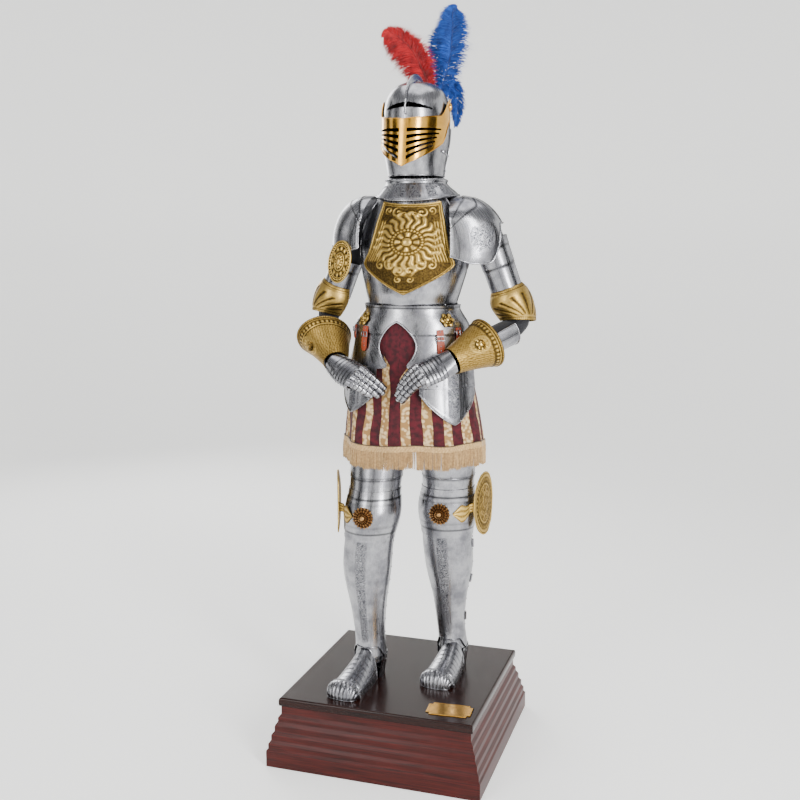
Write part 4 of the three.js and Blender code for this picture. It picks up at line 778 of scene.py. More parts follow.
@dataclass(frozen=True)
class StripedSkirtCloth:
    """Cotton velvet in dark red, sewn in upright panes with a figured brocade in beige gold."""

    round_m: float
    name: str = "velvet_and_brocade"
    pairs: int = 18
    phase: float = 0.5
    velvet: str = "#520817"
    velvet_dark: str = "#28040b"
    brocade: str = "#cdb185"
    figure: str = "#8f6c3f"
    figure_mm: float = 9.0
    thread_mm: float = 2.2
    arch_shade_half_mm: float = 70.0
    arch_shade_from_mm: float = 100.0
    arch_shade_to_mm: float = 195.0

    def make(self) -> bpy.types.Material:
        """Build the material."""
        material, tree, shader = fresh(self.name)
        flat = node(tree, "ShaderNodeUVMap", uv_map="flat").outputs[0]
        parts = node(tree, "ShaderNodeSeparateXYZ", {0: flat})
        waver = node(tree, "ShaderNodeTexNoise", {"Vector": flat, "Scale": 9.0,
                                                  "Detail": 1.0}).outputs["Fac"]
        across = node(tree, "ShaderNodeMath", {0: waver, 1: 0.022, 2: parts.outputs[0]},
                      operation="MULTIPLY_ADD").outputs[0]
        count = node(tree, "ShaderNodeMath", {0: across, 1: self.pairs / self.round_m},
                     operation="MULTIPLY").outputs[0]
        count = node(tree, "ShaderNodeMath", {0: count, 1: self.phase}, operation="ADD").outputs[0]
        share = node(tree, "ShaderNodeMath", {0: count}, operation="FRACT").outputs[0]
        middle = node(tree, "ShaderNodeMath", {0: share, 1: 0.5}, operation="SUBTRACT").outputs[0]
        middle = node(tree, "ShaderNodeMath", {0: middle}, operation="ABSOLUTE").outputs[0]
        pane = node(tree, "ShaderNodeMapRange", {"Value": middle, "From Min": 0.275,
                                                 "From Max": 0.29}).outputs[0]
        # Painted shade: the arch of the fauld, which lies in shade, is coloured all in dark red velvet that
        # runs out into the middle pane.
        aside = node(tree, "ShaderNodeMath", {0: parts.outputs[0], 1: self.round_m / 2},
                     operation="PINGPONG").outputs[0]
        half = node(tree, "ShaderNodeMapRange", {"Value": parts.outputs[1],
                                                 "From Min": self.arch_shade_from_mm * MM,
                                                 "From Max": self.arch_shade_to_mm * MM,
                                                 "To Min": self.arch_shade_half_mm * MM,
                                                 "To Max": 0.0}).outputs[0]
        beyond = node(tree, "ShaderNodeMath", {0: aside, 1: half}, operation="GREATER_THAN").outputs[0]
        pane = node(tree, "ShaderNodeMath", {0: pane, 1: beyond}, operation="MULTIPLY").outputs[0]
        cell = node(tree, "ShaderNodeTexVoronoi", {"Vector": flat, "Scale": 1 / (self.figure_mm * MM)},
                    feature="SMOOTH_F1").outputs["Distance"]
        figure = node(tree, "ShaderNodeMapRange", {"Value": cell, "From Min": 0.3,
                                                   "From Max": 0.5}).outputs[0]
        gold = node(tree, "ShaderNodeMix", {0: figure, 6: linear(self.brocade), 7: linear(self.figure)},
                    data_type="RGBA").outputs[2]
        nap = node(tree, "ShaderNodeTexNoise", {"Vector": flat, "Scale": 60.0,
                                                "Detail": 3.0}).outputs["Fac"]
        nap = node(tree, "ShaderNodeMapRange", {"Value": nap, "From Min": 0.35, "From Max": 0.7}).outputs[0]
        red = node(tree, "ShaderNodeMix", {0: nap, 6: linear(self.velvet_dark), 7: linear(self.velvet)},
                   data_type="RGBA").outputs[2]
        colour = node(tree, "ShaderNodeMix", {0: pane, 6: red, 7: gold}, data_type="RGBA").outputs[2]
        thread = node(tree, "ShaderNodeTexNoise", {"Vector": flat, "Scale": 1 / (self.thread_mm * MM),
                                                   "Detail": 1.0}).outputs["Fac"]
        tilt = node(tree, "ShaderNodeBump", {"Height": thread, "Strength": 0.5, "Distance": 0.0008})
        tree.links.new(colour, shader.inputs["Base Color"])
        tree.links.new(tilt.outputs[0], shader.inputs["Normal"])
        set_all(shader, Roughness=0.9, Sheen_Weight=0.06, Sheen_Roughness=0.4, IOR=1.46)
        return material


@dataclass(frozen=True)
class Thread:
    """Spun or woven fibre with a soft dull sheen, uneven in tone from strand to strand."""

    name: str
    light: str
    dark: str
    grain_mm: float = 6.0
    roughness: float = 0.8
    sheen: float = 0.2

    def make(self) -> bpy.types.Material:
        """Build the material."""
        material, tree, shader = fresh(self.name)
        place = node(tree, "ShaderNodeTexCoord").outputs["Object"]
        tone = node(tree, "ShaderNodeAttribute", attribute_name="height").outputs["Fac"]
        grain = node(tree, "ShaderNodeTexNoise", {"Vector": place, "Scale": 1 / (self.grain_mm * MM),
                                                  "Detail": 2.0}).outputs["Fac"]
        share = node(tree, "ShaderNodeMath", {0: grain, 1: tone}, operation="MULTIPLY").outputs[0]
        share = node(tree, "ShaderNodeMapRange", {"Value": share, "From Min": 0.1,
                                                  "From Max": 0.62}).outputs[0]
        colour = node(tree, "ShaderNodeMix", {0: share, 6: linear(self.dark), 7: linear(self.light)},
                      data_type="RGBA").outputs[2]
        tree.links.new(colour, shader.inputs["Base Color"])
        set_all(shader, Roughness=self.roughness, Sheen_Weight=self.sheen, IOR=1.46)
        return material


@dataclass(frozen=True)
class Hide:
    """Vegetable tanned leather, dyed through and waxed: a low sheen over fine grain."""

    name: str
    colour: str
    dark: str
    roughness: float = 0.5
    grain_mm: float = 3.0

    def make(self) -> bpy.types.Material:
        """Build the material."""
        material, tree, shader = fresh(self.name)
        place = node(tree, "ShaderNodeTexCoord").outputs["Object"]
        grain = node(tree, "ShaderNodeTexNoise", {"Vector": place, "Scale": 1 / (self.grain_mm * MM),
                                                  "Detail": 3.0}).outputs["Fac"]
        colour = node(tree, "ShaderNodeMix", {0: grain, 6: linear(self.dark), 7: linear(self.colour)},
                      data_type="RGBA").outputs[2]
        tilt = node(tree, "ShaderNodeBump", {"Height": grain, "Strength": 0.3, "Distance": 0.0006})
        tree.links.new(colour, shader.inputs["Base Color"])
        tree.links.new(tilt.outputs[0], shader.inputs["Normal"])
        set_all(shader, Roughness=self.roughness, IOR=1.5)
        return material


@dataclass(frozen=True)
class LacqueredMahogany:
    """Mahogany, stained red brown and lacquered: dark streaks along the board under a clear gloss."""

    name: str
    light: str
    dark: str
    roughness: float = 0.32
    gloss: float = 0.5
    shine: float = 0.3
    grain_mm: float = 4.0
    streak_mm: float = 160.0

    def make(self) -> bpy.types.Material:
        """Build the material."""
        material, tree, shader = fresh(self.name)
        flat = node(tree, "ShaderNodeUVMap", uv_map="flat").outputs[0]
        long = node(tree, "ShaderNodeMapping", {"Vector": flat,
                                                "Scale": (1 / (self.streak_mm * MM),
                                                          1 / (self.grain_mm * MM), 1)})
        grain = node(tree, "ShaderNodeTexNoise", {"Vector": long.outputs[0], "Scale": 1.0, "Detail": 6.0,
                                                  "Roughness": 0.65, "Distortion": 0.4}).outputs["Fac"]
        share = node(tree, "ShaderNodeMapRange", {"Value": grain, "From Min": 0.34,
                                                  "From Max": 0.66}).outputs[0]
        colour = node(tree, "ShaderNodeMix", {0: share, 6: linear(self.dark), 7: linear(self.light)},
                      data_type="RGBA").outputs[2]
        tree.links.new(colour, shader.inputs["Base Color"])
        set_all(shader, Roughness=self.roughness, IOR=1.5, Specular_IOR_Level=self.shine,
                Coat_Weight=self.gloss, Coat_Roughness=0.12)
        return material


@dataclass
class Palette:
    """All finishes of the suit, made once."""

    steel: bpy.types.Material = field(default_factory=lambda: PolishedSteel().make())
    # Painted shade: near-black steel for the inner faces of skull, bevor and visor, which lie in shade
    # inside the helmet.
    inside_shade_steel: bpy.types.Material = field(
        default_factory=lambda: PolishedSteel("painted_inside_shade", "#151517", "#0c0c0e", "#0c0c0e",
                                              smooth=0.5, dull=0.65).make())
    gilt: bpy.types.Material = field(default_factory=lambda: AgedGilding().make())
    bronze: bpy.types.Material = field(
        default_factory=lambda: AgedGilding("browned_bronze", "#a8804f", "#5a3a22", "#1a100a", 0.42).make())
    brass: bpy.types.Material = field(default_factory=lambda: PolishedBrass().make())
    fringe: bpy.types.Material = field(default_factory=lambda: Thread("twisted_silk_fringe", "#cba873",
                                                                      "#8e6c3e").make())
    braid: bpy.types.Material = field(default_factory=lambda: Thread("dark_braid", "#6b5230",
                                                                     "#24190c").make())
    black_cloth: bpy.types.Material = field(
        default_factory=lambda: Thread("black_woven_cotton", "#24242a", "#0b0b0d", 4.0, 0.9, 0.15).make())
    strap: bpy.types.Material = field(default_factory=lambda: Hide("orange_dyed_leather", "#a8421f",
                                                                   "#6f250f").make())
    glove: bpy.types.Material = field(default_factory=lambda: Hide("dark_glove_leather", "#2a221d",
                                                                   "#120e0b", 0.6).make())
    red_feather: bpy.types.Material = field(
        default_factory=lambda: Thread("dyed_red_ostrich", "#c4141f", "#5c070e", 18.0, 0.75, 0.08).make())
    blue_feather: bpy.types.Material = field(
        default_factory=lambda: Thread("dyed_blue_ostrich", "#1c58bd", "#08215c", 18.0, 0.75, 0.08).make())
    frame_wood: bpy.types.Material = field(
        default_factory=lambda: LacqueredMahogany("stained_mahogany", "#4a120d", "#1c0705", 0.38, 0.04,
                                                  0.2).make())
    top_wood: bpy.types.Material = field(
        default_factory=lambda: LacqueredMahogany("dark_lacquered_mahogany", "#28110c", "#100706", 0.22,
                                                  0.06, 0.16).make())


# The suit


@dataclass
class Plinth:
    """Stepped hollow frame with rounded mouldings, a polished board on top and a blank plaque."""

    profile: tuple[tuple[float, float], ...] = (
        (0, 0), (0, 50), (5, 55), (5, 70), (12, 80), (12, 96), (20, 106), (20, 122), (28, 134), (28, 146),
                                                (36, 156),
        (36, 180.65))
    inner_inset: float = 54.0
    plaque_at: tuple[float, float] = (210.0, -216.0)
    plaque_size: tuple[float, float, float] = (132.0, 76.0, 11.0)

    def moulding(self) -> Array:
        """Outline with softened corners, as inset and height."""
        rows = [np.array(self.profile[0], float)]
        outline = np.array(self.profile, float)
        for before, here, after in zip(outline, outline[1:], outline[2:]):
            a = here + unit(before - here) * min(2.4, np.linalg.norm(before - here) * 0.45)
            b = here + unit(after - here) * min(2.4, np.linalg.norm(after - here) * 0.45)
            for t in (0.0, 0.33, 0.67, 1.0):
                rows.append((1 - t) ** 2 * a + 2 * t * (1 - t) * here + t * t * b)
        rows.append(outline[-1])
        return np.array(rows)

    def ring(self, form: Form, outline: Array, size: tuple[float, float], finish: int) -> None:
        """Sweep an outline round the four mitred corners.

        Args:
            form: the form that takes it.
            outline: rows of inset and height, closed.
            size: outer size.
            finish: material index.
        """
        signs = np.array([[-1, -1], [1, -1], [1, 1], [-1, 1]], float)
        arc = np.concatenate([[0], np.cumsum(np.linalg.norm(np.diff(outline, axis=0), axis=1))]) * MM
        for k in range(4):
            a, b = signs[k], signs[(k + 1) % 4]
            spans = []
            for corner in (a, b):
                x = corner[0] * (size[0] / 2 - outline[:, 0])
                y = corner[1] * (size[1] / 2 - outline[:, 0])
                spans.append(vec(x, y, outline[:, 1] - PLINTH_HEIGHT))
            n = len(outline)
            points = np.concatenate(spans)
            i = np.arange(n - 1)
            quad = np.stack([i, i + n, i + n + 1, i + 1], 1)
            length = size[k % 2] * MM
            uv = np.stack([
                np.stack([np.full(n - 1, k * 1.7), arc[:-1]], 1),
                           np.stack([np.full(n - 1, k * 1.7 + length), arc[:-1]], 1),
                np.stack([np.full(n - 1, k * 1.7 + length), arc[1:]], 1),
                           np.stack([np.full(n - 1, k * 1.7), arc[1:]], 1)], 1)
            form.take(points, quad, uv, finish, 0.0, 1.0)

    def build(self, palette: Palette) -> None:
        """Build frame, board and plaque."""
        form = Form()
        outline = self.moulding()
        closed = np.concatenate([outline, [[self.inner_inset, 180.65], [self.inner_inset, 0.0],
                                           [0.0, 0.0]]])
        self.ring(form, closed, PLINTH_BASE_SIZE, 0)
        form.piece("plinth_mouldings", [palette.frame_wood], ["plinth_frame"], slot="wood", sharp=50)
        board = Form()
        low, high = PLINTH_HEIGHT - BOARD, PLINTH_HEIGHT
        edge = [(20.0, low), (4.0, low), (1.2, low + 1.5), (0.0, low + 5.0), (0.0, high - 8.0),
                (1.0, high - 3.6), (3.0, high - 1.2),
                (6.0, high)]
        self.ring(board, np.array(edge), PLINTH_TOP_SIZE, 0)
        for inset, z, order in ((6.0, high, (0, 1, 2, 3)), (20.0, low, (3, 2, 1, 0))):
            x, y = PLINTH_TOP_SIZE[0] / 2 - inset, PLINTH_TOP_SIZE[1] / 2 - inset
            corners = vec(np.array([-x, x, x, -x]), np.array([-y, -y, y, y]), z - PLINTH_HEIGHT)
            flat = (corners[list(order), :2] * MM)[None]
            board.take(corners, np.array([order]), flat, 0, 0.0, 1.0)
        board.piece("plinth_board", [palette.top_wood], ["plinth_top"], slot="woodTop", sharp=50)
        self.plaque(palette)

    def plaque(self, palette: Palette) -> None:
        """Build the blank plaque with its raised border and screws."""
        w, d, c = self.plaque_size
        corner = [(-w / 2 + c, -d / 2), (w / 2 - c, -d / 2), (w / 2 - c, -d / 2 + c), (w / 2, -d / 2 + c),
                  (w / 2, d / 2 - c), (w / 2 - c, d / 2 - c), (w / 2 - c, d / 2), (-w / 2 + c, d / 2),
                  (-w / 2 + c, d / 2 - c), (-w / 2, d / 2 - c), (-w / 2, -d / 2 + c),
                  (-w / 2 + c, -d / 2 + c)]
        outline = np.array(corner, float)
        angle = math.radians(4)
        spin = np.array([[math.cos(angle), math.sin(angle)], [-math.sin(angle), math.cos(angle)]])
        form = Form()
        rows = [(1.0, 0.4), (1.0, 2.0), (0.985, 2.4), (0.93, 2.4), (0.92, 1.9), (0.89, 1.9), (0.88, 2.3),
                (0.001, 2.3)]
        grid = []
        for scale, z in rows:
            shrink = outline - np.sign(outline) * (1 - scale) * np.minimum(np.abs(outline),
                    60) if scale > 0.5 else outline * scale
            flat = shrink @ spin + np.array(self.plaque_at)
            grid.append(vec(flat[:, 0], flat[:, 1], z))
        form.sheet(np.array(grid), wall=0, closed=True, finish=0)
        for sx in (-1, 1):
            for sy in (-1, 1):
                spot = np.array([sx * (w / 2 - 18), sy * (d / 2 - 8)]) @ spin + np.array(self.plaque_at)
                form.dome(vec(spot[0], spot[1], 2.2), np.array([0, 0, 1.0]),
                          [(3.2, 0), (3.2, 0.5), (1.5, 1.1)], sides=10)
        form.piece("plaque_plate", [palette.brass], ["plaque"], slot="brass", sharp=30)


LEGS = {
    Side.RIGHT: Table("z x y w f b", (70, -96, -34, 50, 56, 54), (100, -96, -35, 47, 50, 48),
                      (140, -97, -38, 47, 47, 47),
                      (230, -100, -44, 56, 54, 62), (340, -102, -50, 74, 64, 80),
                      (430, -94, -55, 76, 68, 76),
                      (530, -80, -56, 76, 74, 68), (640, -74, -40, 79, 76, 76),
                      (760, -68, -18, 84, 80, 82)),
    Side.LEFT: Table("z x y w f b", (70, 131, 108, 47, 56, 54), (100, 130, 107, 44, 50, 48),
                     (140, 126, 104, 44, 47, 47),
                     (230, 124, 94, 52, 54, 62), (340, 124, 80, 74, 64, 80), (430, 122, 66, 78, 68, 76),
                     (530, 124, 58, 80, 74, 68), (640, 130, 42, 80, 76, 76), (760, 132, 22, 84, 80, 82)),
}


@dataclass
class Leg:
    """Greave, poleyn, cuisse, knee rosette and knee wing of one side."""

    side: Side
    greave: tuple[float, float, float] = (70.0, 102.0, 468.0)
    cuisse: tuple[float, float] = (578.0, 760.0)
    cuisse_lames: tuple[float, ...] = (640.0,)
    poleyn: tuple[float, float, float] = (452.0, 606.0, 128.0)
    poleyn_lames: tuple[float, float] = (476.0, 582.0)
    knee_z: float = 532.0

    def point(self, angle: Array, z: Array, grow: Array | float) -> Array:
        """Point of the leg's outer surface."""
        row = LEGS[self.side].at(z)
        keel = 3.0 * np.maximum(0, np.cos(angle)) ** 12
        return oval(row, np.asarray(angle), grow + keel)

    def band(self, angle: Array, half: float) -> Array:
        """Share of the etched band down the front, with a bright line at each side."""
        across = np.abs(np.angle(np.exp(1j * angle)))
        return ease((half - across) / 0.05) * np.where((across > half * 0.72) & (across < half * 0.84),
                                                       0.1, 1.0)

    def build(self, palette: Palette) -> None:
        """Build all pieces of the leg."""
        m = self.side.mark
        low, front, high = self.greave
        form = Form()
        us = turn(72)
        a, v = mesh_of(us, np.concatenate([[0, 0.012, 0.024], np.linspace(0.04, 1, 30)]))
        foot = mix(low, front, ease((np.cos(a) - 0.2) / 0.5))
        seam = np.exp(-((np.abs(np.abs(np.angle(np.exp(1j * a))) - math.radians(95)) / 0.02) ** 2))
        grid = self.point(a, mix(foot, high, v), 0.0)
        # Painted shade: the seam groove down each side is darkened as well as sunk.
        form.sheet(grid, closed=True, etch=self.band(a, 0.36) * ease((0.97 - v) / 0.02)
                   * ease((v - 0.04) / 0.02), drop=-0.7 * seam, height=1 - 0.8 * seam)
        form.tube(self.point(us, mix(low, front, ease((np.cos(us) - 0.2) / 0.5)) + 1.5, 0.9), 2.0, 8,
                  closed=True)
        centre = np.array([*grid.mean((0, 1))])
        for s in (-1, 1):
            at = lambda u, w: self.point(u, w, 0.2)
            rivet_row(form, at, s * math.radians(101), np.linspace(140, 440, 8), centre, 2.4)
        outer = self.side.sign * math.radians(95)
        for z in (170.0, 300.0, 420.0):
            path = self.point(np.full(7, outer), np.linspace(z - 13, z + 13, 7), 2.4)
            form.tube(path, 3.2, 8)
        form.piece(f"greave_plates_{m}", [palette.steel], [f"greave_{m}"], slot="steel")
        self.thigh(palette)
        self.knee(palette)
        self.rosette(palette)
        self.wing(palette)

    def thigh(self, palette: Palette) -> None:
        """Build the cuisse with its lame and rivets."""
        m = self.side.mark
        form = Form()
        a, z = mesh_of(turn(72), stepped(*self.cuisse, self.cuisse_lames, 8))
        grid = self.point(a, z, steps_above(z, self.cuisse_lames, LAME_STEP))
        # Painted shade: a dark line under the lame edge.
        form.sheet(grid, closed=True, height=lame_edge_shade(z, self.cuisse_lames, 1.6))
        at = lambda u, w: self.point(u, w, LAME_STEP)
        rivet_row(form, at, np.radians([-100, -60, -20, 20, 60, 100]), 646.0, grid.mean((0, 1)), 2.4)
        path = self.point(turn(72), np.full(72, self.cuisse_lames[0] + 0.9), LAME_STEP - 0.4)
        form.tube(path, 1.0, 6, closed=True)
        form.piece(f"cuisse_plates_{m}", [palette.steel], [f"cuisse_{m}"], slot="steel")

    def poleyn_at(self, a: Array, z: Array) -> Array:
        """Point of the knee plate."""
        low, high, reach = self.poleyn
        swell = 9.0 * np.sin(math.pi * clamp01((z - low) / (high - low))) ** 2
        edge = LAME_STEP * ((z > self.poleyn_lames[0]) & (z < self.poleyn_lames[1]))
        wide = ease((math.radians(reach) - np.abs(a)) / math.radians(14))
        return self.point(a, z, 1.0 + STEEL_WALL + edge + wide * swell * (0.45 + 0.55 * np.cos(a / 2)))

    def knee(self, palette: Palette) -> None:
        """Build the poleyn with its lames, rivets, flutes and side edge bars."""
        m = self.side.mark
        low, high, reach = self.poleyn
        form = Form()
        a, z = mesh_of(np.radians(np.linspace(-reach, reach, 61)), stepped(low, high, self.poleyn_lames, 5))
        grid = self.poleyn_at(a, z)
        fluted = 0.9 * np.exp(-((np.abs(z - self.knee_z) - 34) / 3.0) ** 2) * (np.abs(a) < math.radians(70))
        # Painted shade: the flute grooves round the knee are darkened as well as sunk, besides the dark
        # lines under the lame edges.
        form.sheet(grid, drop=-fluted, height=lame_edge_shade(z, self.poleyn_lames, 1.6) - 0.4 * fluted)
        centre = np.array([*LEGS[self.side].rows[6, 1:3], self.knee_z])
        for s in (-1, 1):
            rivet_row(form, self.poleyn_at, s * math.radians(reach - 12),
                      np.array([463.0, 490.0, 568.0, 594.0]), centre, 2.6)
            rivet_row(form, self.poleyn_at, s * math.radians(62), np.array([463.0, 594.0]), centre, 2.4)
        for s in (-1, 1):
            line = self.poleyn_at(np.full(40, s * math.radians(reach)), np.linspace(low, high, 40))
            form.tube(line, 1.3, 6)
        form.piece(f"poleyn_plates_{m}", [palette.steel], [f"poleyn_{m}"], slot="steel")

    def rosette(self, palette: Palette) -> None:
        """Build the bronze rosette on the knee."""
        m = self.side.mark
        front = self.point(np.array(0.0), np.array(self.knee_z), 0.0)
        offset = {Side.RIGHT: 13.7, Side.LEFT: 14.8}[self.side]
        form = Form()
        rings = [(31, 0, 0.2, 0), (31, 2, 0.9, 1), (27, 4.8, 1.0, 1), (24.5, 3.4, 0.05, 1),
                 (24, 4.6, 0.9, 1), (19, 7.8, 1.0, 1),
                 (16.5, 5.6, 0.05, 1), (16, 7.0, 0.9, 1), (11, 11.0, 1.0, 1), (8.5, 9.4, 0.05, 0),
                 (7, 12.0, 0.8, 0), (3, 14.4, 1.0, 0)]
        form.dome(front + np.array([0, -offset, 0]), np.array([0, -1, 0.04]), rings, 90, lobes=18,
                  lobe=0.11)
        form.piece(f"knee_rosette_disc_{m}", [palette.bronze], [f"knee_rosette_{m}"], slot="bronze",
                   sharp=55)

    def wing(self, palette: Palette) -> None:
        """Build the gilt leaf, stem and oval wing at the outer knee."""
        m, sign = self.side.mark, self.side.sign
        leaf = Table("angle h", (24, 2), (32, 15), (41, 27), (51, 20), (60, 13))
        row = LEGS[self.side].at(self.knee_z)
        start, end, half = np.array([95.0, -44.0]), np.array([127.0, 56.0]), 97.0
        path, tall = [], []
        for angle in np.linspace(24, 60, 14):
            path.append(self.point(np.array(sign * math.radians(angle)), np.array(self.knee_z), 15.7))
            tall.append(float(leaf.at(angle)["h"]))
        knots = len(path)
        for t in np.linspace(0, 1, 46):
            x = row["x"] + sign * (mix(start[0], end[0], t) + 5 * math.sin(math.pi * t))
            path.append(vec(x, row["y"] + mix(start[1], end[1], t), self.knee_z + 20.0))
            tall.append(max(14.0, half * math.sqrt(max(0.02, 1 - (2 * t - 1) ** 2))))
        lift = np.array(path)
        ramp = ease((np.arange(len(path)) - knots + 6) / 8.0)
        lift[:, 2] = self.knee_z + 20.0 * ramp
        u, k = mesh_of(np.linspace(-1, 1, 49), np.arange(len(path)))
        k = k.astype(int)
        grid = lift[k].copy()
        grid[..., 2] += u * np.array(tall)[k]
        t = clamp01((k - knots) / 45.0)
        across, up = 2 * t - 1, u * np.sqrt(np.maximum(0.02, 1 - (2 * t - 1) ** 2))
        radius = np.hypot(across, up)
        on_plate = (k >= knots) * 1.0
        ring = bump(radius - 0.9, 0.05) + bump(radius - 0.62, 0.03)
        ang = np.arctan2(up, across)
        fan = (0.5 + 0.5 * np.cos(34 * ang)) * ease((radius - 0.7) / 0.03) * ease((0.84 - radius) / 0.03)
        leafy = 0.5 + 0.5 * np.cos(4 * ang + 5 * np.sin(9 * radius)) * np.cos(19 * radius + 2
                * np.sin(6 * ang))
        scroll = leafy * ease((0.58 - radius) / 0.05)
        veins = (0.5 + 0.5 * np.cos(10 * u)) * (k < knots)
        tone = on_plate * clamp01(0.25 + 0.6 * ring + 0.45 * fan + 0.5 * scroll) + (1 - on_plate) * (0.45
                + 0.5 * veins)
        form = Form()
        form.sheet(grid, wall=2.0, drop=1.8 * tone * (on_plate + 0.5), height=tone)
        edge = np.concatenate([grid[knots:, 0], grid[knots:, -1][::-1]])
        form.tube(edge[::2], 2.2, 8, closed=True, twist=0.12, depth=0.25, height=0.85)
        form.piece(f"knee_wing_plate_{m}", [palette.gilt], [f"knee_wing_{m}"], slot="relief", sharp=60)


FOOT_SECTIONS = Table("s w h", (0.0, 30, 100), (0.2, 36, 112), (0.33, 38, 97), (0.42, 42, 82),
                      (0.55, 46, 66), (0.7, 49, 52),
                      (0.84, 49, 44), (1.0, 40, 36))


@dataclass
class Foot:
    """Sabaton, fluted toe cap and heel plate of one side."""

    side: Side
    lames: tuple[float, ...] = (0.42, 0.5, 0.57, 0.64, 0.71, 0.78)
    span: tuple[float, float] = (0.34, 0.875)
    toe_from: float = 0.855
    flutes: int = 10
    sole_gap: float = 0.4
    cap_clearance: float = 4.4
    seam_roll: float = 1.6
    swell: float = 2.2

    @property
    def heel(self) -> Array:
        """Heel point on the board."""
        return np.array({Side.RIGHT: [-89.0, 12.0], Side.LEFT: [145.0, 158.0]}[self.side])

    @property
    def toe(self) -> Array:
        """Toe point on the board."""
        return np.array({Side.RIGHT: [-121.0, -254.0], Side.LEFT: [123.0, -92.0]}[self.side])

    def place(self, along: Array, across: Array, z: Array) -> Array:
        """Point from millimetres along and across the foot."""
        way = unit(self.toe - self.heel)
        return vec(self.heel[0] + way[0] * along - way[1] * across,
                   self.heel[1] + way[1] * along + way[0] * across, z)

    def point(self, s: Array, a: Array, grow: Array | float) -> Array:
        """Point of the foot's outer surface."""
        row = FOOT_SECTIONS.at(s)
        length = float(np.linalg.norm(self.toe - self.heel))
        across = (row["w"] + grow) * np.sign(np.cos(a)) * np.abs(np.cos(a)) ** 0.8
        keel = 3.0 * np.maximum(0, np.sin(a)) ** 14
        z = self.sole_gap + (row["h"] + grow + keel) * np.abs(np.sin(a)) ** 0.9
        return self.place(length * np.asarray(s), across, z)

    def build(self, palette: Palette) -> None:
        """Build the three pieces of the foot."""
        m = self.side.mark
        form = Form()
        a, s = mesh_of(np.linspace(0, math.pi, 49), stepped(*self.span, self.lames, 0.014, 0.002))
        grow = 3.0 - steps_above(s, self.lames, 0.3)
        grid = self.point(s, a, grow)
        # Painted shade: dark lines under the lame edges.
        form.sheet(grid, height=mix(0.5, 1.0, lame_edge_shade(s, self.lames, 0.004)))
        around, up = mesh_of(turn(48), np.linspace(52, 112, 14))
        # Painted shade: the ankle band under the greave is darkened.
        form.sheet(oval(LEGS[self.side].at(np.maximum(up, 70)) | {"z": up}, around, -2.4), closed=True,
                   height=0.75)
        centre = grid.mean((0, 1)) - np.array([0, 0, 20])
        at = lambda u, v: self.point(v, u, 2.0)
        for angle in (0.42, math.pi - 0.42):
            rivet_row(form, at, angle, np.array([0.385, 0.46, 0.535, 0.605, 0.675, 0.745, 0.81]), centre,
                      2.5)
        form.tube(self.point(np.full(40, 0.342), np.linspace(0.02, math.pi - 0.02, 40), 2.6), 1.6, 8)
        form.piece(f"sabaton_lames_{m}", [palette.steel], [f"sabaton_{m}"], slot="steel")
        self.cap(palette)
        self.heel_wrap(palette)

    def cap(self, palette: Palette) -> None:
        """Build the toe cap, a low dome of flutes that fan out from its seam."""
        m = self.side.mark
        length = float(np.linalg.norm(self.toe - self.heel))
        base = FOOT_SECTIONS.at(self.toe_from)
        clear = self.cap_clearance + STEEL_WALL
        width, tall = float(base["w"]) + clear, float(base["h"]) + clear
        a, v = mesh_of(np.linspace(0, math.pi, 121), np.linspace(0, 1, 20))
        side = np.sign(np.cos(a)) * np.abs(np.cos(a)) ** 0.75
        arch = np.abs(np.sin(a))
        turned = v * math.pi / 2
        along = length * (1 - self.toe_from) * (0.12 + 0.88 * arch**0.55) * np.sin(turned) ** 0.9
        across = width * side * (1 - 0.16 * (1 - np.cos(turned)))
        z = tall * arch**0.85 * np.maximum(0, np.cos(turned)) ** 0.8
        lobe = np.abs(np.sin(self.flutes * math.pi * (0.5 * a / math.pi + 0.25 * (1 - side))))
        swell = self.swell * lobe**0.7 * ease(v * 3.5) * (1 - 0.8 * v**5)
        out = unit(vec(along + 14, across, z + 6))
        grid = self.place(self.toe_from * length + along + swell * out[..., 0],
                          across + swell * out[..., 1],
                          self.sole_gap + z + swell * out[..., 2] * (1 - v))
        form = Form()
        # Painted shade: the grooves between the flutes are darkened.
        form.sheet(grid, height=1 - 0.85 * (1 - lobe) ** 4 * ease(v * 4))
        form.tube(grid[0, ::2], self.seam_roll, 8)
        form.tube(grid[-1, ::2] + np.array([0, 0, 1.5]), 1.5, 8)
        for i in (14, 106):
            form.rivets(grid[1, i], unit(grid[1, i] - grid[1].mean(0)), 2.6)
        form.piece(f"toe_cap_fluted_{m}", [palette.steel], [f"toe_cap_{m}"], slot="steel")

    def heel_wrap(self, palette: Palette) -> None:
        """Build the heel plate."""
        m = self.side.mark
        ankle = LEGS[self.side].at(75.0)
        u, z = mesh_of(np.linspace(-1, 1, 61), np.concatenate([np.linspace(self.sole_gap, 69.2, 16)]))
        angle = math.pi - u * math.radians(118)
        t = clamp01(z / 69.2)
        w = mix(42, ankle["w"] + 1.8, ease(t))
        back = mix(52, ankle["b"] + 1.8, ease(t)) + 6 * np.sin(math.pi * clamp01(t * 1.2))
        c = np.cos(angle)
        grid = vec(ankle["x"] + w * np.sin(angle), ankle["y"] - np.where(c > 0, 62, back) * c, z)
        form = Form()
        form.sheet(grid)
        for i in (6, 30, 54):
            form.rivets(grid[12, i], unit(grid[12, i] - grid[12].mean(0)), 3.0)
        form.piece(f"heel_wrap_{m}", [palette.steel], [f"heel_plate_{m}"], slot="steel")


HIPS = Table("z x y w f b", (690, 36, -6, 215, 150, 156), (750, 36, -6, 213, 148, 154),
             (860, 32, -6, 199, 138, 146),
             (940, 29, -6, 184, 130, 138), (996, 28, -6, 172, 126, 132), (1060, 28, -6, 161, 128, 121),
             (1115, 28, -6, 152, 122, 104), (1140, 29.5, -6, 144, 119, 94))


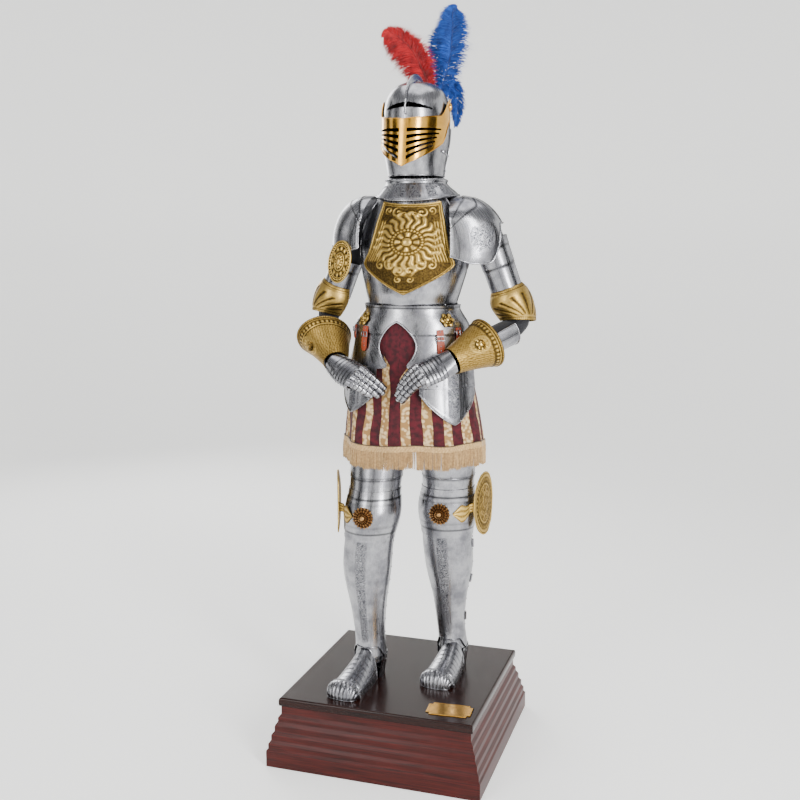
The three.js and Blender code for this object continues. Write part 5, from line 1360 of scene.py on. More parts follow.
@dataclass
class Skirt:
    """Striped cloth skirt, hung in soft folds, with braid and a twisted fringe at its hem."""

    top: float = 1140.0
    flare: float = 996.0
    hem: float = 748.0
    folds: int = 9
    heading: float = 9.0
    fringe_length: float = 58.0
    threads: int = 3100
    seed: int = 5

    def point(self, a: Array, z: Array, grow: Array | float) -> Array:
        """Point of the cloth's outer face."""
        row = HIPS.at(z)
        depth = 5.5 * ease((self.flare - z) / 240)
        small = 0.8 * ease((self.flare - z) / 200) * np.cos(31 * a + 2.0 * np.sin(z / 37.0))
        return oval(row, a, grow + depth * np.cos(self.folds * a + 0.7) + small)

    def wave(self, a: Array) -> Array:
        """Unevenness of the hem."""
        return 5 * np.sin(2 * a - 0.4) + 3 * np.sin(5 * a + 1)

    def build(self, palette: Palette) -> None:
        """Build the cloth, its braid and its fringe."""
        form = Form()
        a, v = mesh_of(turn(192), np.linspace(0, 1, 36))
        z = mix(self.top, self.hem + self.wave(a), v)
        grid = self.point(a, z, 0)
        form.sheet(grid, wall=CLOTH_WALL, closed=True)
        ring = np.linalg.norm(np.diff(np.concatenate([grid, grid[:, :1]], 1), axis=1),
                              axis=2).mean(0).sum() * MM
        cloth = StripedSkirtCloth(float(ring)).make()
        skirt = form.piece("skirt_cloth", [cloth], ["skirt"], slot="velvet")
        fringe = self.fringe(palette)

    def fringe(self, palette: Palette) -> bpy.types.Object:
        """Build the heading braid and the threads.

        Returns:
            The fringe object.
        """
        rng = np.random.default_rng(self.seed)
        form = Form()
        a = turn(540)
        top = self.hem + self.wave(a) + self.heading
        rows = [self.point(a, top - d, g) for d, g in ((0, 1.2), (0.6, 3.4), (5, 3.9), (9, 3.2), (13, 3.9),
                                                       (17.4, 3.4), (18, 1.2))]
        weave = 0.5 + 0.5 * np.cos(np.arange(540) * math.pi * 0.5)[None,
                                                                   :] * np.array([0, 1, 1, -1, 1, 1, 0])[:,
                                                                           None]
        form.sheet(np.array(rows), wall=0.8, closed=True, height=0.5 + 0.4 * weave)
        for z, r in ((0.6, 1.5), (-17.2, 0.9)):
            form.tube(self.point(a, top + z, 2.6), r, 6, closed=True, finish=1, twist=0.2, depth=0.2,
                      height=0.5)
        angle = rng.random(self.threads) * TAU
        lock = np.floor(angle / TAU * 54)
        lock_mid = (lock + 0.5) / 54 * TAU
        start = self.hem + self.wave(angle) - self.heading + 2
        end = self.hem + self.wave(angle) - self.fringe_length + 2.5 * np.sin(lock * 2.4) + rng.normal(0,
                1.8, self.threads)
        depth = rng.uniform(0.6, 3.8, self.threads)
        tone = rng.uniform(0.55, 1.0, self.threads)
        steps = np.linspace(0, 1, 4)
        for k in range(self.threads):
            drift = (lock_mid[k] - angle[k]) * 0.1 * steps + rng.normal(0, 0.004) * steps
            zs = mix(start[k], end[k], steps)
            path = self.point(angle[k] + drift, zs, depth[k] + 0.6 * np.sin(steps * 5 + k))
            form.tube(path, np.array([0.9, 1.0, 0.95, 0.45]), 3, finish=0, height=float(tone[k]),
                      hint=np.array([0.7, 0.7, 0.05]))
        return form.piece("skirt_fringe_threads", [palette.fringe, palette.braid], ["skirt_fringe"],
                          slot="fringe")


TRUNK = Table("z x y w f b", (1080, 28, -6, 146, 128, 100), (1152, 30, -6, 133, 114, 86),
              (1200, 33, -6, 143, 128, 92),
              (1270, 36, -6, 160, 134, 104), (1340, 38, -6, 164, 122, 108), (1400, 39, -6, 154, 106, 100),
              (1440, 41, -6, 134, 96, 90), (1476, 42, -6, 108, 92, 88), (1500, 42, -5, 97, 92, 91))
BREAST_TOP = Table("deg z", (0, 1466), (30, 1470), (56, 1494), (66, 1396), (76, 1318), (90, 1262))


def trunk_point(a: Array, z: Array, grow: Array | float) -> Array:
    """Point of the trunk's plates, with the ridge down the breast."""
    return oval(TRUNK.at(z), np.asarray(a), grow + 5.0 * np.maximum(0, np.cos(a)) ** 20)


@dataclass
class Trunk:
    """Breastplate and backplate with rolled and roped edges."""

    waist: float = 1150.0

    def build(self, palette: Palette) -> None:
        """Build both plates."""
        for name, turned in (("breastplate", 0.0), ("backplate", math.pi)):
            form = Form()
            deg = np.concatenate([np.linspace(-89.5, -50, 28), np.linspace(-48, 48, 40),
                                  np.linspace(50, 89.5, 28)])
            a, v = mesh_of(np.radians(deg), np.linspace(0, 1, 46))
            top = BREAST_TOP.at(np.abs(np.degrees(a)))["z"]
            grid = trunk_point(a + turned, mix(self.waist, top, v), 0)
            form.sheet(grid)
            form.tube(grid[-1] + np.array([0, 0, 0.4]), 2.6, 10, twist=0.09, depth=0.22)
            low = trunk_point(np.radians(deg) + turned, np.full(len(deg), self.waist + 1.5), 0.7)
            form.tube(low, 1.4, 8)
            centre = np.array([36, -6, 1300.0])
            at = lambda u, w: trunk_point(u, w, 0.2)
            rivet_row(form, at, np.radians([-80, -60, 60, 80]) + turned, 1163.0, centre, 2.6)
            if turned:
                seam = trunk_point(np.full(30, math.pi), np.linspace(1160, 1458, 30), 0.3)
                form.tube(seam, 0.9, 6)
            form.piece(f"{name}_plate", [palette.steel], [name], slot="steel")


@dataclass
class ChestShield:
    """Gilt shield on the breast: roped border, a rayed rosette in the middle and leaf scrolls round it."""

    outline: Table = field(default_factory=lambda: Table(
        "z left right", (1192, 3.5, 4.5), (1206, -8, 16), (1236, -30, 38), (1268, -49, 57),
                                                         (1280, -52, 60), (1310, -43, 52),
        (1360, -37, 47), (1420, -35, 45), (1457, -37, 48)))
    centre: float = 0.56
    rays: int = 22

    def at(self, u: Array, v: Array, grow: Array | float) -> Array:
        """Point of the shield's outer face without relief."""
        row = self.outline.at(mix(1192, 1457, v))
        a = np.radians(mix(row["left"], row["right"], (u + 1) / 2))
        dip = np.where(v > 0.8, -9 * (1 - u * u) * ((v - 0.8) / 0.2), 0)
        return trunk_point(a, row["z"] + dip, grow)

    def relief(self, u: Array, v: Array) -> tuple[Array, Array]:
        """Height in millimetres and tone of the embossing."""
        row = self.outline.at(mix(1192, 1457, v))
        half = (row["right"] - row["left"]) / 2 * math.radians(1) * 128
        x = u * half
        y = (v - self.centre) * 265
        r = np.hypot(x, y)
        spin = np.arctan2(x, y)
        boss = np.sqrt(clamp01(1 - (r / 12) ** 2))
        petals = (0.5 + 0.5 * np.cos(8 * spin)) * ease((r - 13) / 2) * ease((29 - r) / 4)
        beads = (0.55 + 0.45 * np.cos(28 * spin)) * bump(r - 33, 2.6)
        hair = (0.5 + 0.5 * np.cos(self.rays * spin + 1.3 * np.sin(r / 5.5))) * ease((r - 37) / 3)
        hair = hair * ease((88 + 9 * np.cos(4 * spin) - r) / 7)
        rib = 0.5 + 0.5 * np.cos(TAU * (np.abs(x) + 0.3 * y + 5 * np.cos(y / 26)) / 7.5)
        ribs = rib * ease((np.abs(x) - 54) / 8) * ease((64 - y) / 8) * ease((y + 58) / 8)
        leaf = np.zeros_like(r)
        curls = ((30, 88, 15, 1), (12, 82, 8, -1), (34, -62, 15, 1), (12, -80, 13, -1), (62, -64, 11, 1),
                 (14, -104, 9, 1), (58, 92, 11, -1))
        for sx in (-1, 1):
            for cx, cy, size, hand in curls:
                dx, dy = sx * x - cx, y - cy
                q = np.hypot(dx, dy)
                spiral = 0.5 + 0.5 * np.cos(np.arctan2(dy, dx) * hand - q / size * 6.5)
                leaf = np.maximum(leaf, spiral**1.5 * ease((size * 1.2 - q) / 4))
        edge = np.minimum((1 - np.abs(u)) * half, np.minimum(v * 265, (1 - v) * 265 + 3))
        rope = bump(edge - 4.5, 2.6)
        twist = 0.72 + 0.28 * np.cos((x + 1.3 * y) * 0.9)
        inner = bump(edge - 11.5, 1.2)
        field_on = ease((edge - 13) / 3)
        art = np.maximum.reduce([boss, petals, beads, 0.9 * hair, 0.75 * ribs,
                                 0.9 * leaf * ease((r - 62) / 8)])
        tone = clamp01(0.2 + 0.8 * art * field_on + rope * twist + inner * 0.6)
        lift = (7.0 * boss + 4.6 * petals + 3.4 * beads + 3.0 * hair + 2.2 * ribs + 2.6 * leaf) * field_on
        lift = np.minimum(lift, 8.0) + 3.6 * rope * twist + 1.2 * inner
        swell = 4.5 * clamp01(1 - (r / 80) ** 2)
        return lift + swell, tone

    def build(self, palette: Palette) -> None:
        """Build the shield."""
        u, v = mesh_of(np.linspace(-1, 1, 130), np.linspace(0, 1, 148))
        lift, tone = self.relief(u, v)
        form = Form()
        form.sheet(self.at(u, v, SEAM + BRASS_WALL), wall=BRASS_WALL, drop=lift, height=tone)
        form.piece("chest_shield_relief", [palette.gilt], ["chest_shield"], slot="relief", sharp=70)


FAULD = Table("z x y w f b", (975, 26, -6, 195, 142, 156), (1020, 28, -6, 180, 139, 148),
              (1075, 29, -6, 171, 134, 130),
              (1105, 28, -6, 168, 129, 118), (1147, 30, -6, 141, 119, 93),
              (1160, 30, -6, 141.6, 119.5, 93.5))
FAULD_EDGE = Table("t x z deg", (0.0, 0, 1116, 0), (0.1, 20, 1104, 9), (0.2, 45, 1076, 24),
                   (0.3, 56, 1046, 38), (0.4, 47, 1012, 48),
                   (0.48, 32, 992, 55), (0.54, 42, 984, 60), (0.7, 108, 982, 70), (0.85, 165, 982, 82),
                   (1.0, 190, 982, 95))


def fauld_point(a: Array, z: Array, grow: Array | float) -> Array:
    """Point of the hip plates' outer surface."""
    return oval(FAULD.at(z), np.asarray(a), grow)


@dataclass
class HipPlates:
    """Fauld with its arch in front, culet behind, gilt rosettes and leather straps with buckles."""

    lame: float = 1078.0
    low: float = 984.0
    arch_x: float = -6.0

    def fauld_at(self, u: Array, v: Array) -> Array:
        """Point of the fauld: u across, v from the waist down to the arched edge."""
        edge = FAULD_EDGE.at(np.abs(u))
        side = np.where(u < 0, -1.0, 1.0)
        row = FAULD.at(edge["z"])
        offset = side * edge["x"] + np.where(np.abs(u) < 0.6, self.arch_x * (1 - np.abs(u) / 0.6), 0)
        low_a = np.arcsin(np.clip(offset / row["w"], -0.999, 0.999))
        low_a = np.where(np.abs(u) > 0.985, side * math.radians(95), low_a)
        a = mix(side * np.radians(edge["deg"]), low_a, ease(v) * 0.5 + v * 0.5)
        z = mix(1160, edge["z"], v)
        return fauld_point(a, z, SEAM + STEEL_WALL + np.where(z > self.lame, LAME_STEP, 0))

    def build(self, palette: Palette) -> None:
        """Build all hip pieces."""
        form = Form()
        u, v = mesh_of(np.linspace(-1, 1, 113), np.linspace(0, 1, 50))
        grid = self.fauld_at(u, v)
        # Painted shade: dark lines under the lame edge and under the breastplate's lower edge.
        form.sheet(grid, height=lame_edge_shade(grid[..., 2], (self.lame, 1154.0), 2.0))
        form.tube(grid[-1], 3.0, 10)
        form.tube(grid[0], 1.4, 8)
        centre = np.array([28, -6, 1070.0])
        at = lambda a, z: fauld_point(a, z, SEAM + STEEL_WALL + LAME_STEP)
        rivet_row(form, at, np.radians([-82, -68, -55, 60, 74, 86]), 1086.0, centre, 2.8)
        form.piece("fauld_plates", [palette.steel], ["fauld"], slot="steel")
        back = Form()
        z_rows = stepped(self.low, 1160.0, (self.lame,), 6)
        a, z = mesh_of(np.radians(np.linspace(95.5, 264.5, 65)), z_rows)
        grid = fauld_point(a, z, SEAM + STEEL_WALL + np.where(z > self.lame, LAME_STEP, 0))
        # Painted shade: a dark line under the lame edge.
        back.sheet(grid, height=lame_edge_shade(z, (self.lame,), 2.0))
        back.tube(grid[0], 2.2, 10)
        rivet_row(back, at, np.radians(np.linspace(104, 256, 9)), 1086.0, centre, 2.6)
        back.piece("culet_plates", [palette.steel], ["culet"], slot="steel")
        self.straps(palette)
        self.rosettes(palette)

    def straps(self, palette: Palette) -> None:
        """Build the leather straps with their steel buckles."""
        rows = (("1", -62, 1100, 1060), ("2", -38, 1100, 1028), ("3", 41, 1094, 1018),
                ("4", 64, 1098, 1056))
        over = SEAM + STEEL_WALL + LAME_STEP + 0.45 + 2.4
        for mark, deg, top, low in rows:
            half = 9.5 / 150 * 180 / math.pi
            u, v = mesh_of(np.linspace(-1, 1, 9), np.linspace(0, 1, 26))
            narrow = 1 - 0.55 * ease((v - 0.86) / 0.14)
            angle = np.radians(deg + u * half * narrow)
            grid = fauld_point(angle, mix(top, low, v), over + 3 * np.sin(math.pi * v))
            form = Form()
            form.sheet(grid, wall=2.4)
            span = top - low
            mid = mix(top, low, 0.32)
            frame_path = []
            for du, dz in ((-1.15, 6), (1.15, 6), (1.15, -6), (-1.15, -6)):
                frame_path.append(fauld_point(np.radians(deg + du * half), np.array(mid + dz),
                                              over + 2.2 + 3 * math.sin(math.pi * 0.32)))
            corners = np.array(frame_path)
            loop = np.concatenate([np.linspace(corners[k], corners[(k + 1) % 4], 5)[:-1] for k in range(4)])
            form.tube(loop, 1.5, 6, closed=True, finish=1)
            out = unit(fauld_point(np.radians(deg), np.array(mid), 10)
                       - fauld_point(np.radians(deg), np.array(mid), 0))
            tongue = np.linspace(fauld_point(np.radians(deg), np.array(mid + 6.0), over + 5.5),
                                 fauld_point(np.radians(deg), np.array(mid - 7.0), over + 5.5), 4)
            form.tube(tongue, 1.1, 6, finish=1)
            for share in (0.08, 0.62, 0.78):
                z = top - share * span
                spot = fauld_point(np.radians(deg), np.array(z), over + 3 * math.sin(math.pi * share))
                form.rivets(spot, out, 2.2, 1)
            form.piece(f"hip_strap_{mark}", [palette.strap, palette.steel], [f"strap_{mark}"], slot="strap")

    def rosettes(self, palette: Palette) -> None:
        """Build the gilt rosettes."""
        for mark, deg in (("R", -45.0), ("L", 52.0)):
            z = 1120.0
            row = FAULD.at(z)
            at = fauld_point(np.radians(deg), np.array(z), SEAM + STEEL_WALL + LAME_STEP + 1.9)
            flat = unit(vec(math.sin(math.radians(deg)) / row["w"],
                            -math.cos(math.radians(deg)) / row["f"], 0.0))
            out = unit(flat + np.array([0, 0, 0.55]))
            form = Form()
            rings = [(20, 0, 0.2, 0), (21, 2, 0.6, 1), (18.5, 4.4, 1.0, 1), (15, 5.2, 0.9, 1),
                     (12.5, 3.2, 0.05, 0), (11, 5.0, 0.9, 1),
                     (8.5, 6.6, 1, 1), (6.5, 4.8, 0.1, 0), (5, 7.8, 0.9, 0), (2, 9.2, 1, 0)]
            form.dome(at, out, rings, 60, lobes=6, lobe=0.12)
            form.piece(f"hip_rosette_disc_{mark}", [palette.gilt], [f"hip_rosette_{mark}"], slot="relief",
                       sharp=55)


@dataclass
class Tasset:
    """Two-lame tasset of one side with a raised border and an etched band down the middle."""

    side: Side
    grow: float = 4.0

    @property
    def sizes(self) -> tuple[float, float, float, float, float, float]:
        """Middle and half width in degrees, then heights: top, split, side corner and point."""
        return {Side.RIGHT: (-46.0, 28.0, 981.5, 925.0, 905.0, 846.0),
                Side.LEFT: (50.0, 31.0, 981.5, 932.0, 905.0, 822.0)}[self.side]

    def at(self, deg: Array, z: Array, grow: Array | float) -> Array:
        """Point of the tasset's outer surface."""
        row = FAULD.at(np.maximum(975, z))
        row["z"] = z
        return oval(row, np.radians(deg), grow + np.maximum(0, 975 - z) * 0.09)

    def build(self, palette: Palette) -> None:
        """Build both lames."""
        m = self.side.mark
        mid, half, top, split, low, point = self.sizes
        centre = np.array([28, -6, 930.0])
        us = np.linspace(-1, 1, 61)
        upper = Form()
        u, z = mesh_of(us, np.linspace(top, split - 6, 14))
        ridge = 2 * np.maximum(0, 1 - u * u * 9)
        band = ease((0.2 - np.abs(u)) / 0.03)
        grid = self.at(mid + u * half, z, self.grow + STEEL_WALL + SEAM + ridge)
        upper.sheet(grid, etch=band)
        upper.tube(grid[-1], 1.2, 6)
        at = lambda p, q: self.at(mid + p * half, q, self.grow + STEEL_WALL + SEAM)
        rivet_row(upper, at, np.array([-0.88, -0.5, 0.5, 0.88]), split + 2.0, centre, 2.8)
        upper.piece(f"tasset_upper_plate_{m}", [palette.steel], [f"tasset_upper_{m}"], slot="steel")
        lower = Form()
        u, v = mesh_of(us, np.linspace(0, 1, 34))
        edge = mix(point, low, np.abs(u) ** 1.35) + 6 * ease((np.abs(u) - 0.75) / 0.25)
        z = mix(split + 12, edge, v)
        ridge = 2 * np.maximum(0, 1 - u * u * 9)
        grid = self.at(mid + u * (half - 0.6), z, self.grow + ridge)
        border = np.minimum((1 - np.abs(u)) * half * 2.6, (1 - v) * (split - point) * 0.9)
        line = bump(border - 8, 1.5)
        band = ease((0.2 - np.abs(u)) / 0.03) * ease((border - 12) / 4)
        lower.sheet(grid, etch=band, drop=0.7 * line)
        lower.tube(grid[-1], 2.3, 10, twist=0.1, depth=0.18)
        at = lambda p, q: self.at(mid + p * half, q, self.grow)
        sides = np.array([-0.93, 0.93])
        rivet_row(lower, at, sides, split - 14.0, centre, 2.5)
        lower.piece(f"tasset_lower_plate_{m}", [palette.steel], [f"tasset_lower_{m}"], slot="steel")


@dataclass
class Gorget:
    """Flared collar with etched panels between smooth rays, a beaded neck ring and a roped edge."""

    sections: Table = field(default_factory=lambda: Table(
        "z x y w f b", (1470, 46, -6, 123, 120, 110), (1482, 44, -5, 116, 112, 105),
                                                          (1504, 41, -4, 93, 92, 92),
        (1524, 40, -4, 83, 85, 88)))
    rays: int = 14

    def at(self, a: Array, z: Array, grow: Array | float) -> Array:
        """Point of the collar."""
        row = self.sections.at(z)
        row["z"] = z - 17 * np.maximum(0, np.cos(a)) ** 1.5 * ease((1512 - z) / 36)
        return oval(row, a, grow)

    def build(self, palette: Palette) -> None:
        """Build the collar."""
        form = Form()
        us = turn(144)
        profile = Table("z g", (1474, 0), (1506, 0), (1511, 0.6), (1514, 4.4), (1517, 5.4), (1520, 4.6),
                        (1522.5, 0.4), (1526.4, -5))
        a, z = mesh_of(us, np.concatenate([np.linspace(1474, 1506, 14), np.linspace(1508, 1526.4, 12)]))
        grid = self.at(a, z, profile.at(z)["g"])
        ray = np.abs(np.cos(self.rays * a / 2))
        panel = ease((0.86 - ray) / 0.05) * ease((z - 1479) / 2) * ease((1503 - z) / 2)
        form.sheet(grid, closed=True, etch=panel, drop=0.5 * (1 - panel) * (z < 1506))
        form.tube(self.at(us, np.full(144, 1475.0), 0.6), 2.8, 10, closed=True, twist=0.1, depth=0.2)
        beads = turn(60)
        out = surface_out(lambda p, q: self.at(p, q, 5.2), beads, np.full(60, 1517.0), 1e-3, 1e-3,
                          np.array([40, -4, 1517.0]))
        form.rivets(self.at(beads, np.full(60, 1517.0), 4.9), out, 2.2)
        form.piece("gorget_collar", [palette.steel], ["gorget"], slot="steel")


SKULL = Table("z x y w f b", (1524, 40, -4, 77, 81, 86), (1560, 40, -4, 82, 89, 95),
              (1620, 40, -2, 91, 106, 112),
              (1680, 40, 0, 94, 112, 120), (1720, 40, 2, 92, 112, 120), (1755, 40, 4, 82, 101, 110),
              (1778, 40, 6, 64, 80, 88),
              (1790, 40, 8, 42, 54, 60), (1796, 40, 8, 16, 22, 24))


def skull_point(a: Array, z: Array, grow: Array | float) -> Array:
    """Point of the helmet's skull."""
    return oval(SKULL.at(z), np.asarray(a), grow)


def prism(outline: Sequence[Sequence[float]], x: float, near: float, far: float,
          z: float) -> bpy.types.Object:
    """Make a cutter: an outline in X and Z, drawn out along Y.

    Args:
        outline: corners as x and z.
        x: added to the corners' x.
        near: first y.
        far: last y.
        z: added to the corners' z.

    Returns:
        The cutter, in metres.
    """
    loop = np.array(outline, float)
    ahead = np.roll(loop, -1, 0)
    if np.sum(loop[:, 0] * ahead[:, 1] - ahead[:, 0] * loop[:, 1]) < 0:
        loop = loop[::-1]
    base = np.array([[x + p[0], near, z + p[1] + PLINTH_HEIGHT] for p in loop])
    back = base + np.array([0, far - near, 0])
    points = np.concatenate([base, back]) * MM + ORIGIN
    n = len(outline)
    faces = [list(range(n))[::-1], list(range(n, 2 * n))]
    faces += [[i, (i + 1) % n, n + (i + 1) % n, n + i] for i in range(n)]
    mesh = bpy.data.meshes.new("cutter")
    mesh.from_pydata(points.tolist(), [], faces)
    mesh.update()
    made = bpy.data.objects.new("cutter", mesh)
    bpy.context.scene.collection.objects.link(made)
    return made


def carve(piece: bpy.types.Object, cutters: Sequence[bpy.types.Object]) -> None:
    """Cut shapes out of a piece and drop the cutters.

    Args:
        piece: the piece to cut.
        cutters: closed shapes that don't touch each other.
    """
    for cutter in cutters:
        change = piece.modifiers.new("cut", "BOOLEAN")
        change.operation = "DIFFERENCE"
        change.solver = "EXACT"
        change.object = cutter
    bpy.context.view_layer.update()
    graph = bpy.context.evaluated_depsgraph_get()
    result = bpy.data.meshes.new_from_object(piece.evaluated_get(graph))
    piece.modifiers.clear()
    piece.data = result
    for cutter in cutters:
        bpy.data.objects.remove(cutter)


@dataclass
class Helmet:
    """Close helmet: combed skull with arched eye slits, bevor with its catch, hinged brass visor."""

    slit_z: float = 1712.0
    slit_from: float = 2.0
    slit_to: float = 68.0
    pivot: tuple[float, float, float] = (97.6, 2.0, 1722.0)
    visor_rows: tuple[float, float, float] = (1680.0, 1552.0, 1622.0)
    slits: int = 5
    slit_inner: tuple[float, float] = (1650.0, 19.0)
    slit_outer: tuple[float, float] = (1655.0, 11.5)
    slit_reach: tuple[float, float] = (89.0, 3.5)
    slit_half: tuple[float, float] = (5.4, 2.2)
    band_half: float = 11.0

    def build(self, palette: Palette) -> None:
        """Build the helmet's pieces."""
        self.skull(palette)
        self.bevor(palette)
        self.visor(palette)

    def arc(self, theta: Array, grow: Array | float) -> Array:
        """Point over the middle of the skull, from the brow to the nape."""
        c, s = np.cos(theta), np.sin(theta)
        depth = np.where(c > 0, 110, 116)
        return vec(40.0, 2 - (depth + grow) * c, 1690 + (106 + grow) * s)

    def skull(self, palette: Palette) -> None:
        """Build the skull with its comb, slits and rivets."""
        form = Form()
        a, v = mesh_of(turn(120), np.concatenate([np.linspace(0, 0.9, 35), np.linspace(0.91, 1, 11)]))
        deg = np.abs(np.degrees(np.angle(np.exp(1j * a))))
        low = mix(1671, 1527, ease((deg - 62) / 26))
        grid = skull_point(a, mix(low, 1796, v), 0)
        crown = []
        top = grid[-1]
        middle = np.array([40.0, 8.0, 1796.0])
        for k in range(1, 6):
            share = k / 5 * math.pi / 2
            ring = middle + (top - middle) * max(0.02, math.cos(share))
            ring[:, 2] = 1796 + 4.5 * math.sin(share)
            crown.append(ring)
        grid = np.concatenate([grid, np.array(crown)])
        # Painted shade: the inner face takes the near-black steel.
        form.sheet(grid, closed=True, inside=1)
        shell = form.piece("skull_dome", [palette.steel, palette.inside_shade_steel], ["helmet_skull"],
                           slot="steel")
        cutters = []
        for sign in (-1, 1):
            outline = []
            for t in np.linspace(0, 1, 13):
                outline.append((sign * mix(self.slit_from, self.slit_to, t), 16 * (1 - t**1.8)))
            for t in np.linspace(1, 0, 13):
                outline.append((sign * mix(self.slit_from, self.slit_to, t), 2.5 - 4.5 * t * t))
            cutters.append(prism(outline, 40.0, -60.0, -140.0, self.slit_z))
        carve(shell, cutters)
        comb = Form()
        theta = np.radians(np.linspace(2, 152, 90))
        tall = 19 * np.sin(math.pi * (0.05 + 0.9 * np.linspace(0, 1, 90))) ** 0.7
        loop = []
        for x, share in ((-6.4, -0.25), (-4.6, 0.3), (-3.2, 0.8), (-2.6, 1.0), (2.6, 1.0), (3.2, 0.8),
                         (4.6, 0.3), (6.4, -0.25)):
            line = self.arc(theta, np.where(share < 0, -4.0, tall * share))
            line[:, 0] += x
            loop.append(line)
        comb.sheet(np.array(loop).transpose(1, 0, 2), wall=0, closed=True)
        comb.tube(self.arc(theta, tall - 0.4), 3.0, 10, twist=0.085, depth=0.22)
        us = np.radians(np.concatenate([np.linspace(-60, 60, 60)]))
        comb.tube(skull_point(us, np.full(60, 1672.0), 0.4), 1.4, 8)
        rim_a = np.radians(np.concatenate([np.linspace(90, 270, 80)]))
        comb.tube(skull_point(rim_a, np.full(80, 1529.5), 0.9), 2.4, 10, twist=0.1, depth=0.18)
        at = lambda p, q: skull_point(p, q, 0.2)
        centre = np.array([40, 0, 1640.0])
        rivet_row(comb, at, np.radians([100, 125, 150, 180, 210, 235, 260]), 1542.0, centre, 2.6)
        comb.piece("skull_comb", [palette.steel], slot="steel")

    def bevor_at(self, a: Array, v: Array) -> Array:
        """Point of the bevor."""
        deg = np.abs(np.degrees(a))
        z = mix(1528, mix(1590, 1664, ease(deg / 75)), v)
        chin = 16 * np.maximum(0, np.cos(a)) ** 2 * np.sin(math.pi * clamp01((z - 1510) / 130))
        return skull_point(a, z, 1.5 + STEEL_WALL + chin)

    def bevor(self, palette: Palette) -> None:
        """Build the bevor with its catch."""
        form = Form()
        a, v = mesh_of(np.radians(np.linspace(-112, 112, 73)), np.linspace(0, 1, 28))
        grid = self.bevor_at(a, v)
        # Painted shade: the bevor darkens where it runs up behind the visor, and its inner face takes the
        # near-black steel.
        under_visor_shade = ease((grid[..., 2] - self.visor_low(np.minimum(1, np.abs(a) / math.radians(90))) - 8) / 5)
        form.sheet(grid, inside=1, height=1 - under_visor_shade)
        form.tube(grid[0] + np.array([0, 0, 1.4]), 2.2, 10)
        for i in (0, -1):
            form.tube(grid[:, i], 1.2, 6)
        centre = np.array([40, 0, 1590.0])
        rivet_row(form, self.bevor_at, np.radians([-104, -88, 88, 104]), 0.12, centre, 2.6)
        post = self.bevor_at(np.radians(74), np.array(0.5))
        out = unit(post - np.array([40, 0, post[2]]))
        form.dome(post - out, out, [(5.5, 0), (5.5, 3), (3, 5), (3, 8), (4.6, 9), (4.2, 11), (1.5, 12)], 12)
        arm = np.linspace(post + out * 4, self.bevor_at(np.radians(98), np.array(0.42)) + out * 3.4, 6)
        form.tube(arm, 2.6, 8)
        form.piece("bevor_plate", [palette.steel, palette.inside_shade_steel], ["helmet_bevor"], slot="steel")

    def visor_low(self, t: Array) -> Array:
        """Height of the visor's lower edge, from its point (0) to its pivots (1)."""
        return mix(self.visor_rows[1], self.visor_rows[2],
                   np.minimum(1, t * 1.3)) + 62 * ease((t - 0.72) / 0.28)

    def visor_at(self, a: Array, z: Array, grow: Array | float = 0.0) -> Array:
        """Point of the visor's outer face."""
        front = np.maximum(0, np.cos(a))
        keel = 26 * front**3 * (0.5 + 0.5 * ease((self.visor_rows[0] + 15 - z) / 130))
        g = grow + keel + 2.5
        return vec(40 + (96.5 + g) * np.sin(a), -(np.where(np.cos(a) > 0, 116, 116) + g) * np.cos(a), z)

    def visor(self, palette: Palette) -> None:
        """Build the brass visor with its slits, rim and pivots."""
        top, point, _ = self.visor_rows
        form = Form()
        a, v = mesh_of(np.radians(np.linspace(-90, 90, 97)), np.linspace(0, 1, 36))
        t = np.abs(a) / math.radians(90)
        high = mix(top, top + 18, t) + 44 * ease((t - 0.68) / 0.32)
        grid = self.visor_at(a, mix(self.visor_low(t), high, v))
        # Painted shade: the inner face takes the near-black steel.
        form.sheet(grid, wall=BRASS_WALL, inside=1)
        plate = form.piece("visor_plate", [palette.brass, palette.inside_shade_steel], ["helmet_visor"],
                           Body.VISOR, slot="brass", sharp=30)
        cutters = []
        for sign in (-1, 1):
            for k in range(self.slits):
                inner, outer, far = (a - k * b for a, b in (self.slit_inner, self.slit_outer,
                                                            self.slit_reach))
                near, end = self.slit_half
                outline = [(sign * self.band_half, inner - near), (sign * far, outer - end),
                           (sign * far, outer + end), (sign * self.band_half, inner + near)]
                cutters.append(prism(outline, 40.0, -20.0, -160.0, 0.0))
        carve(plate, cutters)
        trim = Form()
        trim.tube(grid[0], 1.7, 8)
        trim.tube(grid[-1], 1.5, 8)
        across, up = mesh_of(np.radians(np.linspace(-4.6, 4.6, 9)), np.linspace(point + 2, top - 1, 40))
        trim.sheet(self.visor_at(across, up, 2.0), wall=2.4)
        for sign in (-1, 1):
            base = np.array([40 + sign * self.pivot[0], self.pivot[1], self.pivot[2]])
            trim.dome(base, np.array([sign, 0, 0.0]), [(13, 0), (13, 2.4), (11.5, 3.2), (9, 3.0),
                                                       (7.5, 5.4), (3, 6.4)], 24)
        trim.piece("visor_trim", [palette.brass], (), Body.VISOR, slot="brass")


